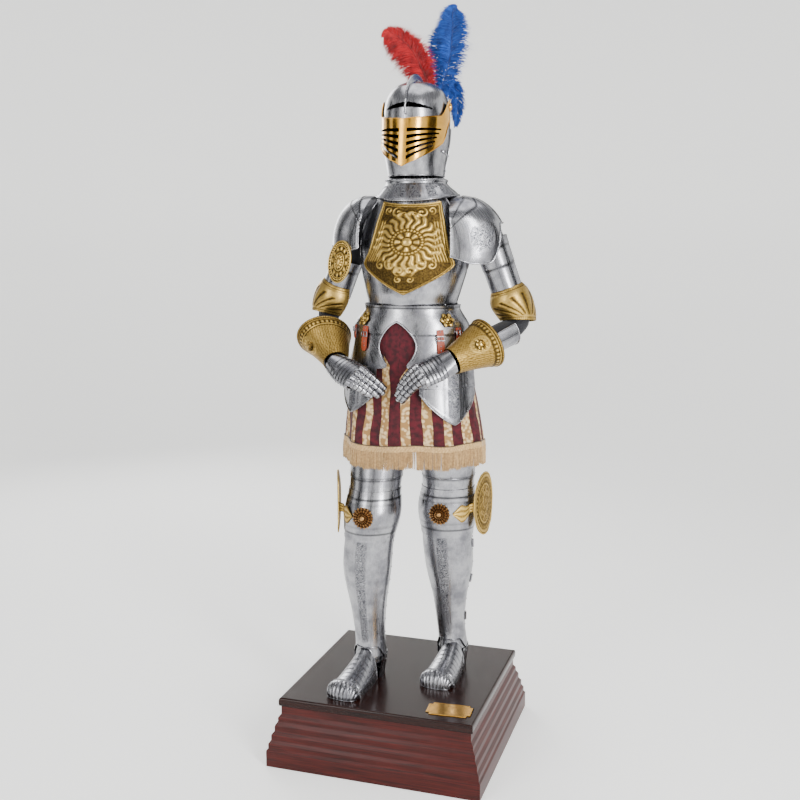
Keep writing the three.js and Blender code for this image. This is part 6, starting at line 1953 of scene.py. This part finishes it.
@dataclass
class Feather:
    """One ostrich feather: a bent shaft with many fine drooping barbs."""

    rows: tuple[tuple[float, float, float, float], ...]
    barbs: int
    seed: int
    droop: float = 0.35

    def add_to(self, form: Form) -> None:
        """Add the shaft and barbs.

        Args:
            form: the form that takes them.
        """
        rng = np.random.default_rng(self.seed)
        table = Table("s x y z r", *[(k, *row) for k, row in enumerate(self.rows)])
        last = len(self.rows) - 1
        line = table.at(np.linspace(0, last, 40))
        shaft = vec(line["x"], line["y"], line["z"])
        form.tube(shaft, np.linspace(2.0, 0.6, 40), 5, height=0.55)
        flat = unit(np.array([0.18, 1.0, 0.1]))
        steps = np.linspace(0, 1, 5)
        share = rng.random(self.barbs) ** 0.82
        for k in range(self.barbs):
            s = mix(0.35, last - 0.02, share[k])
            here, ahead = table.at(s), table.at(min(last, s + 0.05))
            root = vec(here["x"], here["y"], here["z"])
            tangent = unit(vec(ahead["x"], ahead["y"], ahead["z"]) - vec(*(here[c] for c in "xyz")) + 1e-6)
            side = unit(np.cross(tangent, flat)) * (1 if k % 2 else -1)
            length = float(max(5.0, here["r"])) * rng.uniform(0.75, 1.18)
            lean = rng.normal(0.55, 0.16)
            away = side * math.cos(lean) + tangent * math.sin(lean) + flat * rng.normal(0, 0.2)
            curl = side * rng.uniform(0.0, 0.12) + np.array([0, 0, -1.0]) * self.droop * rng.uniform(0.6,
                    1.3)
            path = root + length * (steps[:, None] * away + (steps**2)[:, None] * curl)
            wobble = rng.normal(0, 0.02, 3) * length
            path = path + np.sin(steps * math.pi * 1.5)[:, None] * wobble
            form.tube(path, np.array([0.75, 1.15, 1.15, 0.85, 0.3]), 3,
                      height=float(rng.uniform(0.55, 1.15)), hint=flat)


@dataclass
class Plumes:
    """Brass plume holder with a red feather in front of blue ones."""

    red_barbs: int = 2700
    tall_barbs: int = 2300
    side_barbs: int = 850
    low_barbs: int = 850

    def build(self, palette: Palette) -> None:
        """Build the holder and the feathers."""
        form = Form()
        rows = Table("s x y z r", (0, 40, 124.9, 1640, 5), (1, 40, 124.9, 1650, 9),
                     (2, 40, 128.9, 1690, 7), (3, 46, 142.9, 1699.4, 9))
        line = rows.at(np.linspace(0, 3, 30))
        form.tube(vec(line["x"], line["y"], line["z"]), line["r"] - 0.2, 16)
        form.piece("plume_socket", [palette.brass], ["plume_holder"], slot="brass")
        red = Form()
        Feather(((40, 136, 1705, 4), (38, 132, 1790, 26), (18, 118, 1846, 52), (-6, 100, 1898, 54),
                 (-40, 84, 1934, 40),
                 (-70, 72, 1950, 18), (-84, 66, 1938, 6)), self.red_barbs, 11).add_to(red)
        red.piece("red_ostrich_plume", [palette.red_feather], ["plume_red"], slot="plumeRed", sharp=180)
        blue = Form()
        Feather(((48, 144.5, 1701.5, 6), (70, 150, 1790, 28), (90, 156, 1870, 50), (98, 156, 1940, 52),
                 (102, 148, 1990, 42),
                 (108, 138, 2016, 20), (122, 128, 2020, 6)), self.tall_barbs, 12).add_to(blue)
        Feather(((48, 144.5, 1701.5, 6), (54, 160, 1790, 24), (48, 168, 1870, 36), (54, 170, 1940, 34),
                 (74, 162, 1986, 8)),
                self.side_barbs, 13).add_to(blue)
        Feather(((48, 144.5, 1701.5, 6), (76, 164, 1790, 26), (102, 172, 1806, 28), (114, 174, 1752, 22),
                 (112, 168, 1684, 5)),
                self.low_barbs, 14, 0.55).add_to(blue)
        blue.piece("blue_ostrich_plumes", [palette.blue_feather], ["plume_blue"], slot="plumeBlue",
                   sharp=180)


@dataclass
class Axis:
    """A limb's axis with two directions across it."""

    start: Array
    end: Array
    lean: Array

    def __post_init__(self) -> None:
        """Work out the directions."""
        way = self.end - self.start
        self.length = float(np.linalg.norm(way))
        self.axis = way / self.length
        self.out = unit(self.lean - self.axis * (self.lean @ self.axis))
        self.cross = np.cross(self.axis, self.out)

    def at(self, t: Array | float, a: Array | float, r: Array | float,
           r_cross: Array | float | None = None, shift: Array | float = 0.0) -> Array:
        """Point round the axis.

        Args:
            t: share of the length.
            a: angle from the out direction.
            r: radius along out.
            r_cross: radius across, or the same.
            shift: added along out.

        Returns:
            Points in millimetres.
        """
        r_cross = r if r_cross is None else r_cross
        t, a, r, r_cross, shift = np.broadcast_arrays(t, a, r, r_cross, shift)
        return (self.start + self.axis * (self.length * t)[..., None] + self.out
                * (shift + r * np.cos(a))[..., None]
                + self.cross * (r_cross * np.sin(a))[..., None])


ARM_JOINTS = {
    Side.RIGHT: {"shoulder": (-138, -4, 1392), "elbow": (-252, 26, 1112), "wrist": (-160, -142, 984),
                 "knuckle": (-80, -190, 955),
                 "tip": (-8, -194, 912), "palm": (0.42, 0.5, -0.76)},
    Side.LEFT: {"shoulder": (243, -4, 1392), "elbow": (342, 34, 1104), "wrist": (176, -152, 1002),
                "knuckle": (112, -194, 970),
                "tip": (46, -196, 908), "palm": (-0.3, 0.5, -0.81)},
}


@dataclass
class Arm:
    """Rerebrace, sleeve, couter, vambrace and gauntlet of one side."""

    side: Side
    upper_from: dict[Side, float] = field(default_factory=lambda: {Side.RIGHT: 0.36, Side.LEFT: 0.16})
    upper_to: float = 0.74

    def joint(self, name: str) -> Array:
        """Place of a joint."""
        return np.array(ARM_JOINTS[self.side][name], float)

    @property
    def upper(self) -> Axis:
        """Axis of the upper arm."""
        return Axis(self.joint("shoulder"), self.joint("elbow"),
                    np.array([self.side.sign * 0.8, -0.6, 0.0]))

    @property
    def fore(self) -> Axis:
        """Axis of the forearm."""
        return Axis(self.joint("elbow"), self.joint("wrist"), np.array([self.side.sign * 0.8, -0.5, 0.3]))

    def build(self, palette: Palette) -> None:
        """Build the arm's pieces."""
        self.rerebrace(palette)
        self.sleeve(palette)
        self.couter(palette)
        self.vambrace(palette)
        self.cuff(palette)
        self.hand(palette)

    def rerebrace(self, palette: Palette) -> None:
        """Build the upper arm's lames."""
        m = self.side.mark
        lames = (0.24, 0.42) if self.side is Side.LEFT else (0.46,)
        low = self.upper_from[self.side]
        frame_ = self.upper
        a, t = mesh_of(turn(56), stepped(low, self.upper_to, lames, 0.02, 0.003))
        grow = sum((np.where(t < e, 1.2, 0.0) for e in lames), np.zeros_like(t))
        grid = frame_.at(t, a, mix(50, 45, t) * (1 - 0.012) + grow)
        form = Form()
        # Painted shade: dark lines under the lame edges.
        form.sheet(grid, closed=True, height=lame_edge_shade(t, lames, 0.008))
        form.tube(grid[0], 1.5, 8, closed=True)
        at = lambda p, q: frame_.at(q, p, mix(50, 45, q) + 1.0)
        for e in lames:
            rivet_row(form, at, np.radians([-80, -25, 30, 85]), e - 0.02, frame_.start, 2.4)
        form.piece(f"rerebrace_lames_{m}", [palette.steel], [f"rerebrace_{m}"], slot="steel")

    def sleeve(self, palette: Palette) -> None:
        """Build the black sleeve with its creases at the elbow."""
        m = self.side.mark
        up, fore = self.upper, self.fore
        first = self.upper_from[self.side] - {Side.RIGHT: 0.18, Side.LEFT: 0.06}[self.side]
        stations = [(up, first, 42.6), (up, 0.5, 42.6), (up, 0.8, 41), (up, 0.97, 33), (fore, 0.1, 30),
                    (fore, 0.26, 34), (fore, 0.7, 34.7)]
        rows = [(k, *axis.at(t, 0.0, 0.0), r) for k, (axis, t, r) in enumerate(stations)]
        table = Table("s x y z r", *rows)
        s = np.linspace(0, 6, 70)
        line = table.at(s)
        path = vec(line["x"], line["y"], line["z"])
        tangent = unit(np.gradient(path, axis=0))
        e1 = unit(up.out - np.sum(up.out * tangent, -1, keepdims=True) * tangent)
        e2 = np.cross(tangent, e1)
        a = turn(40)
        crease = 1.4 * np.sin(s * 9.0)[:, None] * (0.5 + 0.5 * np.cos(a + 2.0)) + 0.7 * np.cos(5 * a
                + s[:, None])
        r = line["r"][:, None] * 0.985 + crease * ease((s[:, None] - 1.2) / 1.0) * ease((5.2 - s[:, None])
                / 1.0)
        grid = path[:, None] + e1[:, None] * (r * np.cos(a))[..., None] + e2[:,
                None] * (r * np.sin(a))[..., None]
        form = Form()
        form.sheet(grid, wall=CLOTH_WALL, closed=True, height=0.8)
        made = form.piece(f"sleeve_cloth_{m}", [palette.black_cloth], [f"arming_sleeve_{m}"], slot="sleeve")

    def couter(self, palette: Palette) -> None:
        """Build the gilt elbow plate: a fan of flutes inside a beaded border."""
        m, sign = self.side.mark, self.side.sign
        elbow = self.joint("elbow")
        up_way = unit(elbow - self.joint("shoulder"))
        fore_way = unit(self.joint("wrist") - elbow)
        bend = unit(up_way + fore_way)
        lean = np.array([sign * 0.8, -0.6, 0.1])
        us = np.linspace(-1, 1, 75)
        vs = np.linspace(-1, 1, 51)
        grid, lift, tone = [], [], []
        for v in vs:
            t = (v + 1) / 2
            centre = elbow - up_way * mix(114, 10, t)
            way = unit(mix(up_way, bend, 0.5 * ease(t)))
            ring = Axis(centre, centre + way, lean)
            fall = math.sqrt(1 - (0.425 if v < 0 else 0.3) * v * v)
            grid.append(ring.at(0.0, us * math.radians(116), 62 * fall + 0.4))
            fan = np.arctan2(us * 1.5, 1.15 - v)
            ray = 0.5 + 0.5 * np.cos(fan * 22)
            reach = np.hypot(us * 1.5, 1.15 - v)
            body = ease((reach - 0.45) / 0.1) * ease((1.75 - reach) / 0.1)
            hub = bump(reach - 0.36, 0.09)
            edge = np.minimum((1 - np.abs(us)) * 126, (1 - abs(v)) * 52)
            border = bump(edge - 4.0, 3.4)
            line = bump(edge - 10.5, 1.2)
            inside = ease((edge - 12) / 2)
            beads = 0.55 + 0.45 * np.cos(np.maximum(np.abs(us) * 126 * (edge >= (1 - abs(v)) * 51.9),
                                                    abs(v) * 52 * (edge < (1 - abs(v)) * 51.9)) * 0.9)
            cut = ray**4 * body * inside
            lift.append(1.6 * inside * (1 - cut) + 1.4 * hub * inside + 2.0 * border * beads + 1.2 * line)
            seam = bump(edge - 8.0, 1.2) + bump(edge - 0.4, 0.8)
            tone.append(clamp01(0.72 - 0.6 * cut + 0.2 * hub + 0.2 * border * beads - 0.35 * border
                                * (1 - beads) - 0.5 * seam))
        form = Form()
        form.sheet(np.array(grid), wall=BRASS_WALL, drop=np.array(lift), height=np.array(tone))
        form.piece(f"couter_relief_{m}", [palette.gilt], [f"couter_{m}"], slot="relief", sharp=70)

    def vambrace(self, palette: Palette) -> None:
        """Build the forearm plate."""
        m = self.side.mark
        gutter = Axis(self.joint("elbow"), self.joint("wrist"),
                      np.array([self.side.sign * 0.62, 0.2, -0.75]))
        a, t = mesh_of(np.radians(np.linspace(-100, 100, 49)), np.linspace(0.14, 0.9, 34))
        grid = gutter.at(t, a, mix(47, 35, ease(t)))
        form = Form()
        form.sheet(grid)
        form.tube(grid[0], 2.4, 10)
        form.tube(grid[:, 0], 1.2, 6)
        form.tube(grid[:, -1], 1.2, 6)
        form.piece(f"vambrace_plate_{m}", [palette.steel], [f"vambrace_{m}"], slot="steel")

    def cuff(self, palette: Palette) -> None:
        """Build the gilt bell cuff with its studded border and rosette."""
        m = self.side.mark
        start, end, mouth, mouth_cross, shift = {
            Side.RIGHT: (0.44, 0.93, 82, 76, 26), Side.LEFT: (0.49, 0.93, 74, 74, 20)}[self.side]
        fore = self.fore
        a, v = mesh_of(turn(150), np.linspace(0, 1, 42))
        flare = (1 - v) ** 1.25
        r = mix(37.3, mouth, flare)
        r_cross = mix(39.3, mouth_cross, flare)
        grid = fore.at(mix(start, end, v), a, r, r_cross, shift * flare)
        down = v * fore.length * (end - start)
        rope = bump(down - 2.6, 2.4)
        line = bump(down - 9.0, 1.0) + bump(down - 22.0, 1.0)
        stud = (0.5 + 0.5 * np.cos(a * 34)) * bump(down - 15.5, 3.4)
        arc = a * (r + r_cross) / 2
        stipple = (0.5 + 0.5 * np.cos(arc * 0.8) * np.cos(down * 0.8 + 0.5
                                                          * np.sin(arc * 0.2))) * ease((down - 24) / 2)
        around_u = np.angle(np.exp(1j * (a - 0.2)))
        dx, dy = around_u * 62, (v - 0.42) * fore.length * (end - start)
        q = np.hypot(dx, dy)
        spin = np.arctan2(dy, dx)
        leaf = (0.5 + 0.5 * np.cos(10 * spin)) * ease((q - 13) / 3) * ease((22 - q) / 4)
        hoop = bump(q - 24.5, 1.4)
        body = ease((down - 24) / 2)
        trough = ease((down - 9) / 1.5) * ease((22 - down) / 1.5)
        tone = clamp01(0.85 * rope * (0.75 + 0.25 * np.cos(a * 70)) + 0.8 * line + 0.95 * stud
                       + (0.36 + 0.34 * stipple) * body
                       + 0.5 * leaf + 0.5 * hoop + 0.12 * trough)
        lift = 2.2 * rope + 1.1 * line + 1.9 * stud + 0.35 * stipple + 1.6 * leaf + 1.4 * hoop
        form = Form()
        form.sheet(grid, wall=BRASS_WALL, closed=True, drop=lift, height=tone)
        at = fore.at(mix(start, end, 0.42), 0.2, 60, 60, 11)
        out = fore.out - fore.axis * 0.28 + fore.cross * 0.2
        rings = [(16, -4, 0.2, 0), (16, 1, 0.3, 0), (16.5, 2.2, 0.9, 1), (13, 4.2, 1.0, 1),
                 (9, 3.4, 0.1, 0), (7, 6.4, 0.95, 0), (3, 8, 1, 0)]
        form.dome(at, out, rings, 48, lobes=8, lobe=0.12)
        form.piece(f"cuff_relief_{m}", [palette.gilt], [f"gauntlet_cuff_{m}"], slot="relief", sharp=70)

    def hand(self, palette: Palette) -> None:
        """Build the metacarpal lames, the finger scales and the glove."""
        m = self.side.mark
        wrist, knuckle, tip = self.joint("wrist"), self.joint("knuckle"), self.joint("tip")
        palm = Axis(wrist, knuckle, -np.array(ARM_JOINTS[self.side]["palm"]))
        form = Form()
        lames = (0.2, 0.33, 0.46, 0.59, 0.72, 0.86)
        wrist_r = {Side.RIGHT: 30.0, Side.LEFT: 33.0}[self.side]
        start = {Side.RIGHT: -0.1, Side.LEFT: -0.2}[self.side]
        u, t = mesh_of(np.linspace(-1, 1, 49), stepped(start, 1.0, lames, 0.03, 0.004))
        grow = 2.0 - steps_above(t, lames, 0.4)
        open_ = clamp01((t - start) / (0.41 - start))
        grid = palm.at(t, u * math.radians(104), mix(wrist_r + 3, 24 + grow, open_),
                       mix(wrist_r + 3, 42 + grow, open_), -2 * open_)
        # Painted shade: dark lines under the lame edges.
        form.sheet(grid, height=lame_edge_shade(t, lames, 0.012))
        at = lambda p, q: palm.at(q, p * math.radians(104), 25.5, 43.5, -2)
        for e in lames[2:]:
            rivet_row(form, at, np.linspace(-0.9, 0.9, 9), e - 0.035, (wrist + knuckle) / 2, 1.5)
        form.tube(palm.at(np.full(48, 1.0), np.linspace(-1, 1, 48) * math.radians(104), 24.4, 42.4, -2),
                  1.5, 8, twist=0.15, depth=0.2)
        for lane, length in ((-0.75, 1.0), (-0.25, 1.08), (0.25, 1.03), (0.75, 0.86)):
            root = knuckle + palm.cross * lane * 36 + palm.out * 11
            end = (tip + palm.cross * lane * 30 - knuckle) * length + knuckle
            scales = 6
            ts = np.linspace(0.0, 1.0, 12)
            line = np.array([mix(root, end, x) + palm.out * 9 * math.sin(math.pi * x) for x in ts])
            form.tube(line, mix(9.0, 7.2, ts), 12, finish=1, hint=palm.cross, squeeze=0.94)
            for k in range(scales):
                t0 = k / scales * 0.95
                ts = t0 + np.array([0.0, 0.015, 0.75, 0.84]) / scales
                line = np.array([mix(root, end, x) + palm.out * (9 * math.sin(math.pi * x) + 0.6)
                                 for x in ts])
                r = mix(10.9, 8.9, t0) * np.array([0.84, 1.06, 0.98, 0.86])
                form.tube(line, r, 16, hint=palm.cross, squeeze=0.94)
            cap = np.array([mix(root, end, x) + palm.out * 9 * math.sin(math.pi * x)
                            for x in (0.94, 0.975, 1.0, 1.012)])
            form.tube(cap, np.array([8.8, 8.4, 6.4, 2.4]), 16, hint=palm.cross, squeeze=0.94)
            seat = root - palm.axis * 2
            form.dome(seat + palm.out * 5, palm.out, [(8.5, 0), (7.6, 3.6), (4.6, 6.2), (1.5, 7.0)], 14)
        form.piece(f"gauntlet_lames_{m}", [palette.steel, palette.glove], [f"gauntlet_hand_{m}"],
                   slot="steel")
        glove = Form()
        a, t = mesh_of(turn(40), np.linspace(start, 0.95, 24))
        share = clamp01((t - start) / (0.41 - start))
        grid = palm.at(t, a, mix(wrist_r, 20.8, share), mix(wrist_r, 38.8, share), -2.6 * share)
        glove.sheet(grid, wall=2.4, closed=True, drop=0.5 * np.sin(9 * a + t * 14))
        glove.piece(f"glove_leather_{m}", [palette.glove], [f"glove_{m}"], slot="glove")


@dataclass
class Pauldron:
    """Shoulder cap of one side in three lames with a roped edge; the left one bears an etched round."""

    side: Side
    lames: tuple[float, float] = (0.66, 0.84)

    @property
    def sizes(self) -> dict[str, float]:
        """Centre, radii, reach and edge heights."""
        keys = ("x", "y", "z", "rx", "ox", "rz", "oz", "ry", "front", "back", "top", "outer", "wing", "end")
        values = {
            Side.RIGHT: (-98, -4, 1338, 80, 40, 78, 63.3, 100, 86, 80, 98.6, 1334, 1312, 1324),
            Side.LEFT: (172, -4, 1330, 100, 38, 88, 58.5, 108, 90, 82, 97, 1396, 1282, 1300)}[self.side]
        return dict(zip(keys, map(float, values), strict=True))

    def at(self, u: Array, v: Array, grow: Array | float = 0.0) -> Array:
        """Point of the cap: u from front to back, v from the lower edge to the neck."""
        p = self.sizes
        theta = np.where(u < 0, u * math.radians(p["front"]), u * math.radians(p["back"]))
        wing = mix(p["wing"], p["end"], ease((-0.6 - u) / 0.4))
        low = mix(p["outer"], wing, ease((-0.08 - u) / 0.3))
        c, s = np.cos(theta), np.sin(theta)
        start = np.arcsin(np.clip((low - p["z"]) / (p["rz"] * c + p["oz"]), -1, 1))
        phi = mix(start, math.radians(p["top"]), v)
        reach = np.where(s < 0, p["ox"] * (1 - 0.95 * s * s), p["ox"])
        x = p["x"] + self.side.sign * np.cos(phi) * ((p["rx"] + grow) * c + reach)
        z = p["z"] + np.sin(phi) * ((p["rz"] + grow) * c + p["oz"])
        return vec(x, p["y"] + (p["ry"] + grow) * s, z)

    def build(self, palette: Palette) -> None:
        """Build the cap."""
        m = self.side.mark
        form = Form()
        u, v = mesh_of(np.linspace(-1, 1, 81), stepped(0, 1, self.lames, 0.027, 0.003))
        step = sum((np.where(v > e, -LAME_STEP, 0.0) for e in self.lames), np.zeros_like(v))
        grid = self.at(u, v, step)
        etch: Array | float = 0.0
        if self.side is Side.LEFT:
            middle = self.at(np.array(-0.5), np.array(0.3))
            far = np.linalg.norm(grid - middle, axis=-1)
            etch = ease((40 - far) / 2) * (1 - bump(far - 33, 1.6))
        edge_line = bump(np.minimum((1 - np.abs(u)) * 150, v * 170) - 8, 1.4)
        # Painted shade: dark lines under the lame edges.
        form.sheet(grid, etch=etch, drop=0.6 * edge_line, height=lame_edge_shade(v, self.lames, 0.011))
        form.tube(grid[0], 2.6, 10, twist=0.09, depth=0.2)
        form.tube(grid[:, 0], 2.4, 10, twist=0.09, depth=0.2)
        form.tube(grid[:, -1], 2.4, 10, twist=0.09, depth=0.2)
        centre = np.array([self.sizes["x"], -4.0, 1340.0])
        at = lambda p, q: self.at(p, q, 0.2)
        rivet_row(form, at, np.array([-0.88, -0.6, 0.6, 0.88]), self.lames[0] - 0.035, centre, 2.6)
        at = lambda p, q: self.at(p, q, -1.2)
        rivet_row(form, at, np.array([-0.85, 0.85]), self.lames[1] - 0.035, centre, 2.6)
        form.piece(f"pauldron_lames_{m}", [palette.steel], [f"pauldron_{m}"], slot="steel")


@dataclass
class Besagew:
    """Oval gilt disc that hangs before the right armpit."""

    at: tuple[float, float, float] = (-166.5, -90.9, 1283.5)
    out: tuple[float, float, float] = (-0.32, -0.93, 0.1)

    def build(self, palette: Palette) -> None:
        """Build the disc with its beaded border and rosette."""
        form = Form()
        rings = [(62, 0, 0.2, 0), (63, 2.5, 0.8, 0), (62, 5.2, 1.0, 0), (59, 5.8, 0.9, 0),
                 (56.5, 3.6, 0.05, 0), (51, 3.4, 0.1, 0),
                 (49, 5.0, 0.8, 0), (46.5, 4.6, 0.7, 0), (45, 3.4, 0.1, 0), (42, 4.4, 0.6, 1),
                 (36, 6.4, 1.0, 1), (31, 5.4, 0.5, 1),
                 (29, 4.4, 0.05, 0), (27, 6.0, 0.9, 0), (24, 6.4, 0.8, 0), (22, 4.8, 0.05, 0),
                 (19, 7.6, 0.8, 1), (14, 10.0, 1.0, 1),
                 (10, 8.6, 0.3, 0), (8, 10.8, 0.9, 0), (3, 12.6, 1.0, 0)]
        place, out = np.array(self.at), np.array(self.out)
        form.dome(place, out, rings, 96, up=(0.16, 0, 1), lobes=12, lobe=0.09, squash=0.68)
        axis = unit(out)
        e2 = unit(np.array([0.16, 0, 1]) - axis * (np.array([0.16, 0, 1]) @ axis))
        e1 = np.cross(e2, axis)
        for a in turn(40):
            spot = place + e1 * 53.8 * 0.68 * math.cos(a) + e2 * 53.8 * math.sin(a) + axis * 3.2
            form.dome(spot, axis, [(2.4, 0, 0.9), (2.0, 1.4, 1), (0.8, 2.2, 1)], 7)
        form.piece("besagew_disc", [palette.gilt], ["besagew_R"], slot="relief", sharp=60)


# The studio


@dataclass
class Studio:
    """Pale floor that curves up all round, soft lamps, and the camera."""

    eye: tuple[float, float, float] = (0.9612, -3.0039, 1.5737)
    azimuth: float = 0.31320
    pitch: float = 0.15668
    focal_px: float = 1056.6
    floor_colour: str = "#f3f3f1"

    def build(self) -> None:
        """Set floor, lamps, world and camera."""
        self.floor()
        self.lamps()
        self.camera()

    def floor(self) -> None:
        """Make the floor and its rising rim as one bowl."""
        radii = [(0.01, 0), (4.0, 0), (5.2, 0.06), (6.2, 0.45), (6.9, 1.2), (7.2, 2.4), (7.3, 6.0)]
        profile = Table("s r z", *[(k, r, z) for k, (r, z) in enumerate(radii)])
        a, s = mesh_of(turn(96), np.linspace(0, 6, 60))
        row = profile.at(s)
        points = vec(row["r"] * np.cos(a), row["r"] * np.sin(a), np.maximum(row["z"], 0) - 0.001)
        n, c = points.shape[:2]
        faces = [[j * c + i, j * c + (i + 1) % c, (j + 1) * c + (i + 1) % c, (j + 1) * c + i]
                 for j in range(n - 1) for i in range(c)]
        mesh = bpy.data.meshes.new("studio_floor")
        mesh.from_pydata(points.reshape(-1, 3).tolist(), [], faces)
        mesh.shade_smooth()
        material, _, shader = fresh("pale_paper_sweep")
        set_all(shader, Base_Color=linear(self.floor_colour), Roughness=0.9,
                Emission_Color=linear("#ffffff"), Emission_Strength=0.42)
        mesh.materials.append(material)
        floor = bpy.data.objects.new("studio_floor", mesh)
        bpy.context.scene.collection.objects.link(floor)

    def lamp(self, name: str, at: Sequence[float], size: tuple[float, float], power: float,
             aim: Sequence[float] = (0, 0, 1.1)) -> None:
        """Hang one soft box.

        Args:
            name: lamp name.
            at: place.
            size: width and height in metres.
            power: watts.
            aim: point that it faces.
        """
        data = bpy.data.lights.new(name, "AREA")
        data.shape = "RECTANGLE"
        data.size, data.size_y = size
        data.energy = power
        made = bpy.data.objects.new(name, data)
        made.location = at
        made.rotation_mode = "QUATERNION"
        made.rotation_quaternion = (Vector(aim) - Vector(at)).to_track_quat("-Z", "Y")
        bpy.context.scene.collection.objects.link(made)
        made.visible_camera = False

    def flag(self, name: str, at: Sequence[float], size: tuple[float, float], aim: Sequence[float]) -> None:
        """Stand one dark card that only shows as a reflection.

        Args:
            name: card name.
            at: place.
            size: width and height in metres.
            aim: point that it faces.
        """
        w, h = size[0] / 2, size[1] / 2
        mesh = bpy.data.meshes.new(name)
        mesh.from_pydata([(-w, -h, 0), (w, -h, 0), (w, h, 0), (-w, h, 0)], [], [[0, 1, 2, 3]])
        material, _, shader = fresh(name)
        set_all(shader, Base_Color=linear("#16171a"), Roughness=1.0)
        mesh.materials.append(material)
        card = bpy.data.objects.new(name, mesh)
        card.location = at
        card.rotation_mode = "QUATERNION"
        card.rotation_quaternion = (Vector(aim) - Vector(at)).to_track_quat("-Z", "Y")
        card.visible_camera = False
        card.visible_shadow = False
        card.visible_diffuse = False
        bpy.context.scene.collection.objects.link(card)

    def lamps(self) -> None:
        """Hang the soft boxes and stand the cards."""
        self.lamp("key_softbox", (2.7, -2.5, 2.2), (0.7, 3.0), 170)
        self.lamp("fill_softbox", (-1.5, -3.6, 2.4), (0.9, 2.8), 60)
        self.lamp("top_softbox", (0.0, 0.4, 4.8), (3.6, 3.6), 110)
        self.lamp("rim_softbox", (-2.6, 2.8, 2.6), (1.2, 2.6), 70)
        self.flag("card_left_front", (-2.6, -1.7, 1.5), (1.3, 3.6), (0, 0, 1.3))
        self.flag("card_left", (-3.2, 0.3, 1.5), (1.3, 3.6), (0, 0, 1.3))
        self.flag("card_right", (3.1, 0.2, 1.5), (1.6, 3.6), (0, 0, 1.3))
        self.flag("card_front", (0.8, -4.3, 1.5), (0.7, 3.4), (0, 0, 1.3))
        self.flag("card_back", (0.6, 3.8, 1.5), (1.6, 3.6), (0, 0, 1.3))
        world = bpy.data.worlds.new("studio_air")
        world.use_nodes = True
        back = world.node_tree.nodes["Background"]
        back.inputs[0].default_value = linear("#f2f3f5")
        back.inputs[1].default_value = 0.42
        bpy.context.scene.world = world

    def camera(self) -> None:
        """Set the camera at the solved place."""
        data = bpy.data.cameras.new("view")
        data.sensor_width = 36.0
        data.lens = self.focal_px / 800.0 * 36.0
        data.clip_end = 100.0
        made = bpy.data.objects.new("view", data)
        made.location = Vector(self.eye) + Vector(ORIGIN.tolist())
        made.rotation_euler = (math.pi / 2 - self.pitch, 0.0, self.azimuth)
        bpy.context.scene.collection.objects.link(made)
        bpy.context.scene.camera = made


def main() -> None:
    """Build every sub-assembly in order."""
    logging.basicConfig(level=logging.INFO, format="%(message)s")
    palette = Palette()
    parts: list[object] = [Plinth()]
    parts += [cls(side) for side in Side for cls in (Leg, Foot)]
    parts += [Skirt(), Trunk(), ChestShield(), HipPlates()]
    parts += [Tasset(side) for side in Side]
    parts += [Gorget(), Helmet(), Plumes()]
    parts += [cls(side) for side in Side for cls in (Arm, Pauldron)]
    parts += [Besagew()]
    for part in parts:
        LOG.info("building %s", type(part).__name__)
        part.build(palette)
    Studio().build()


if __name__ == "__main__":
    main()
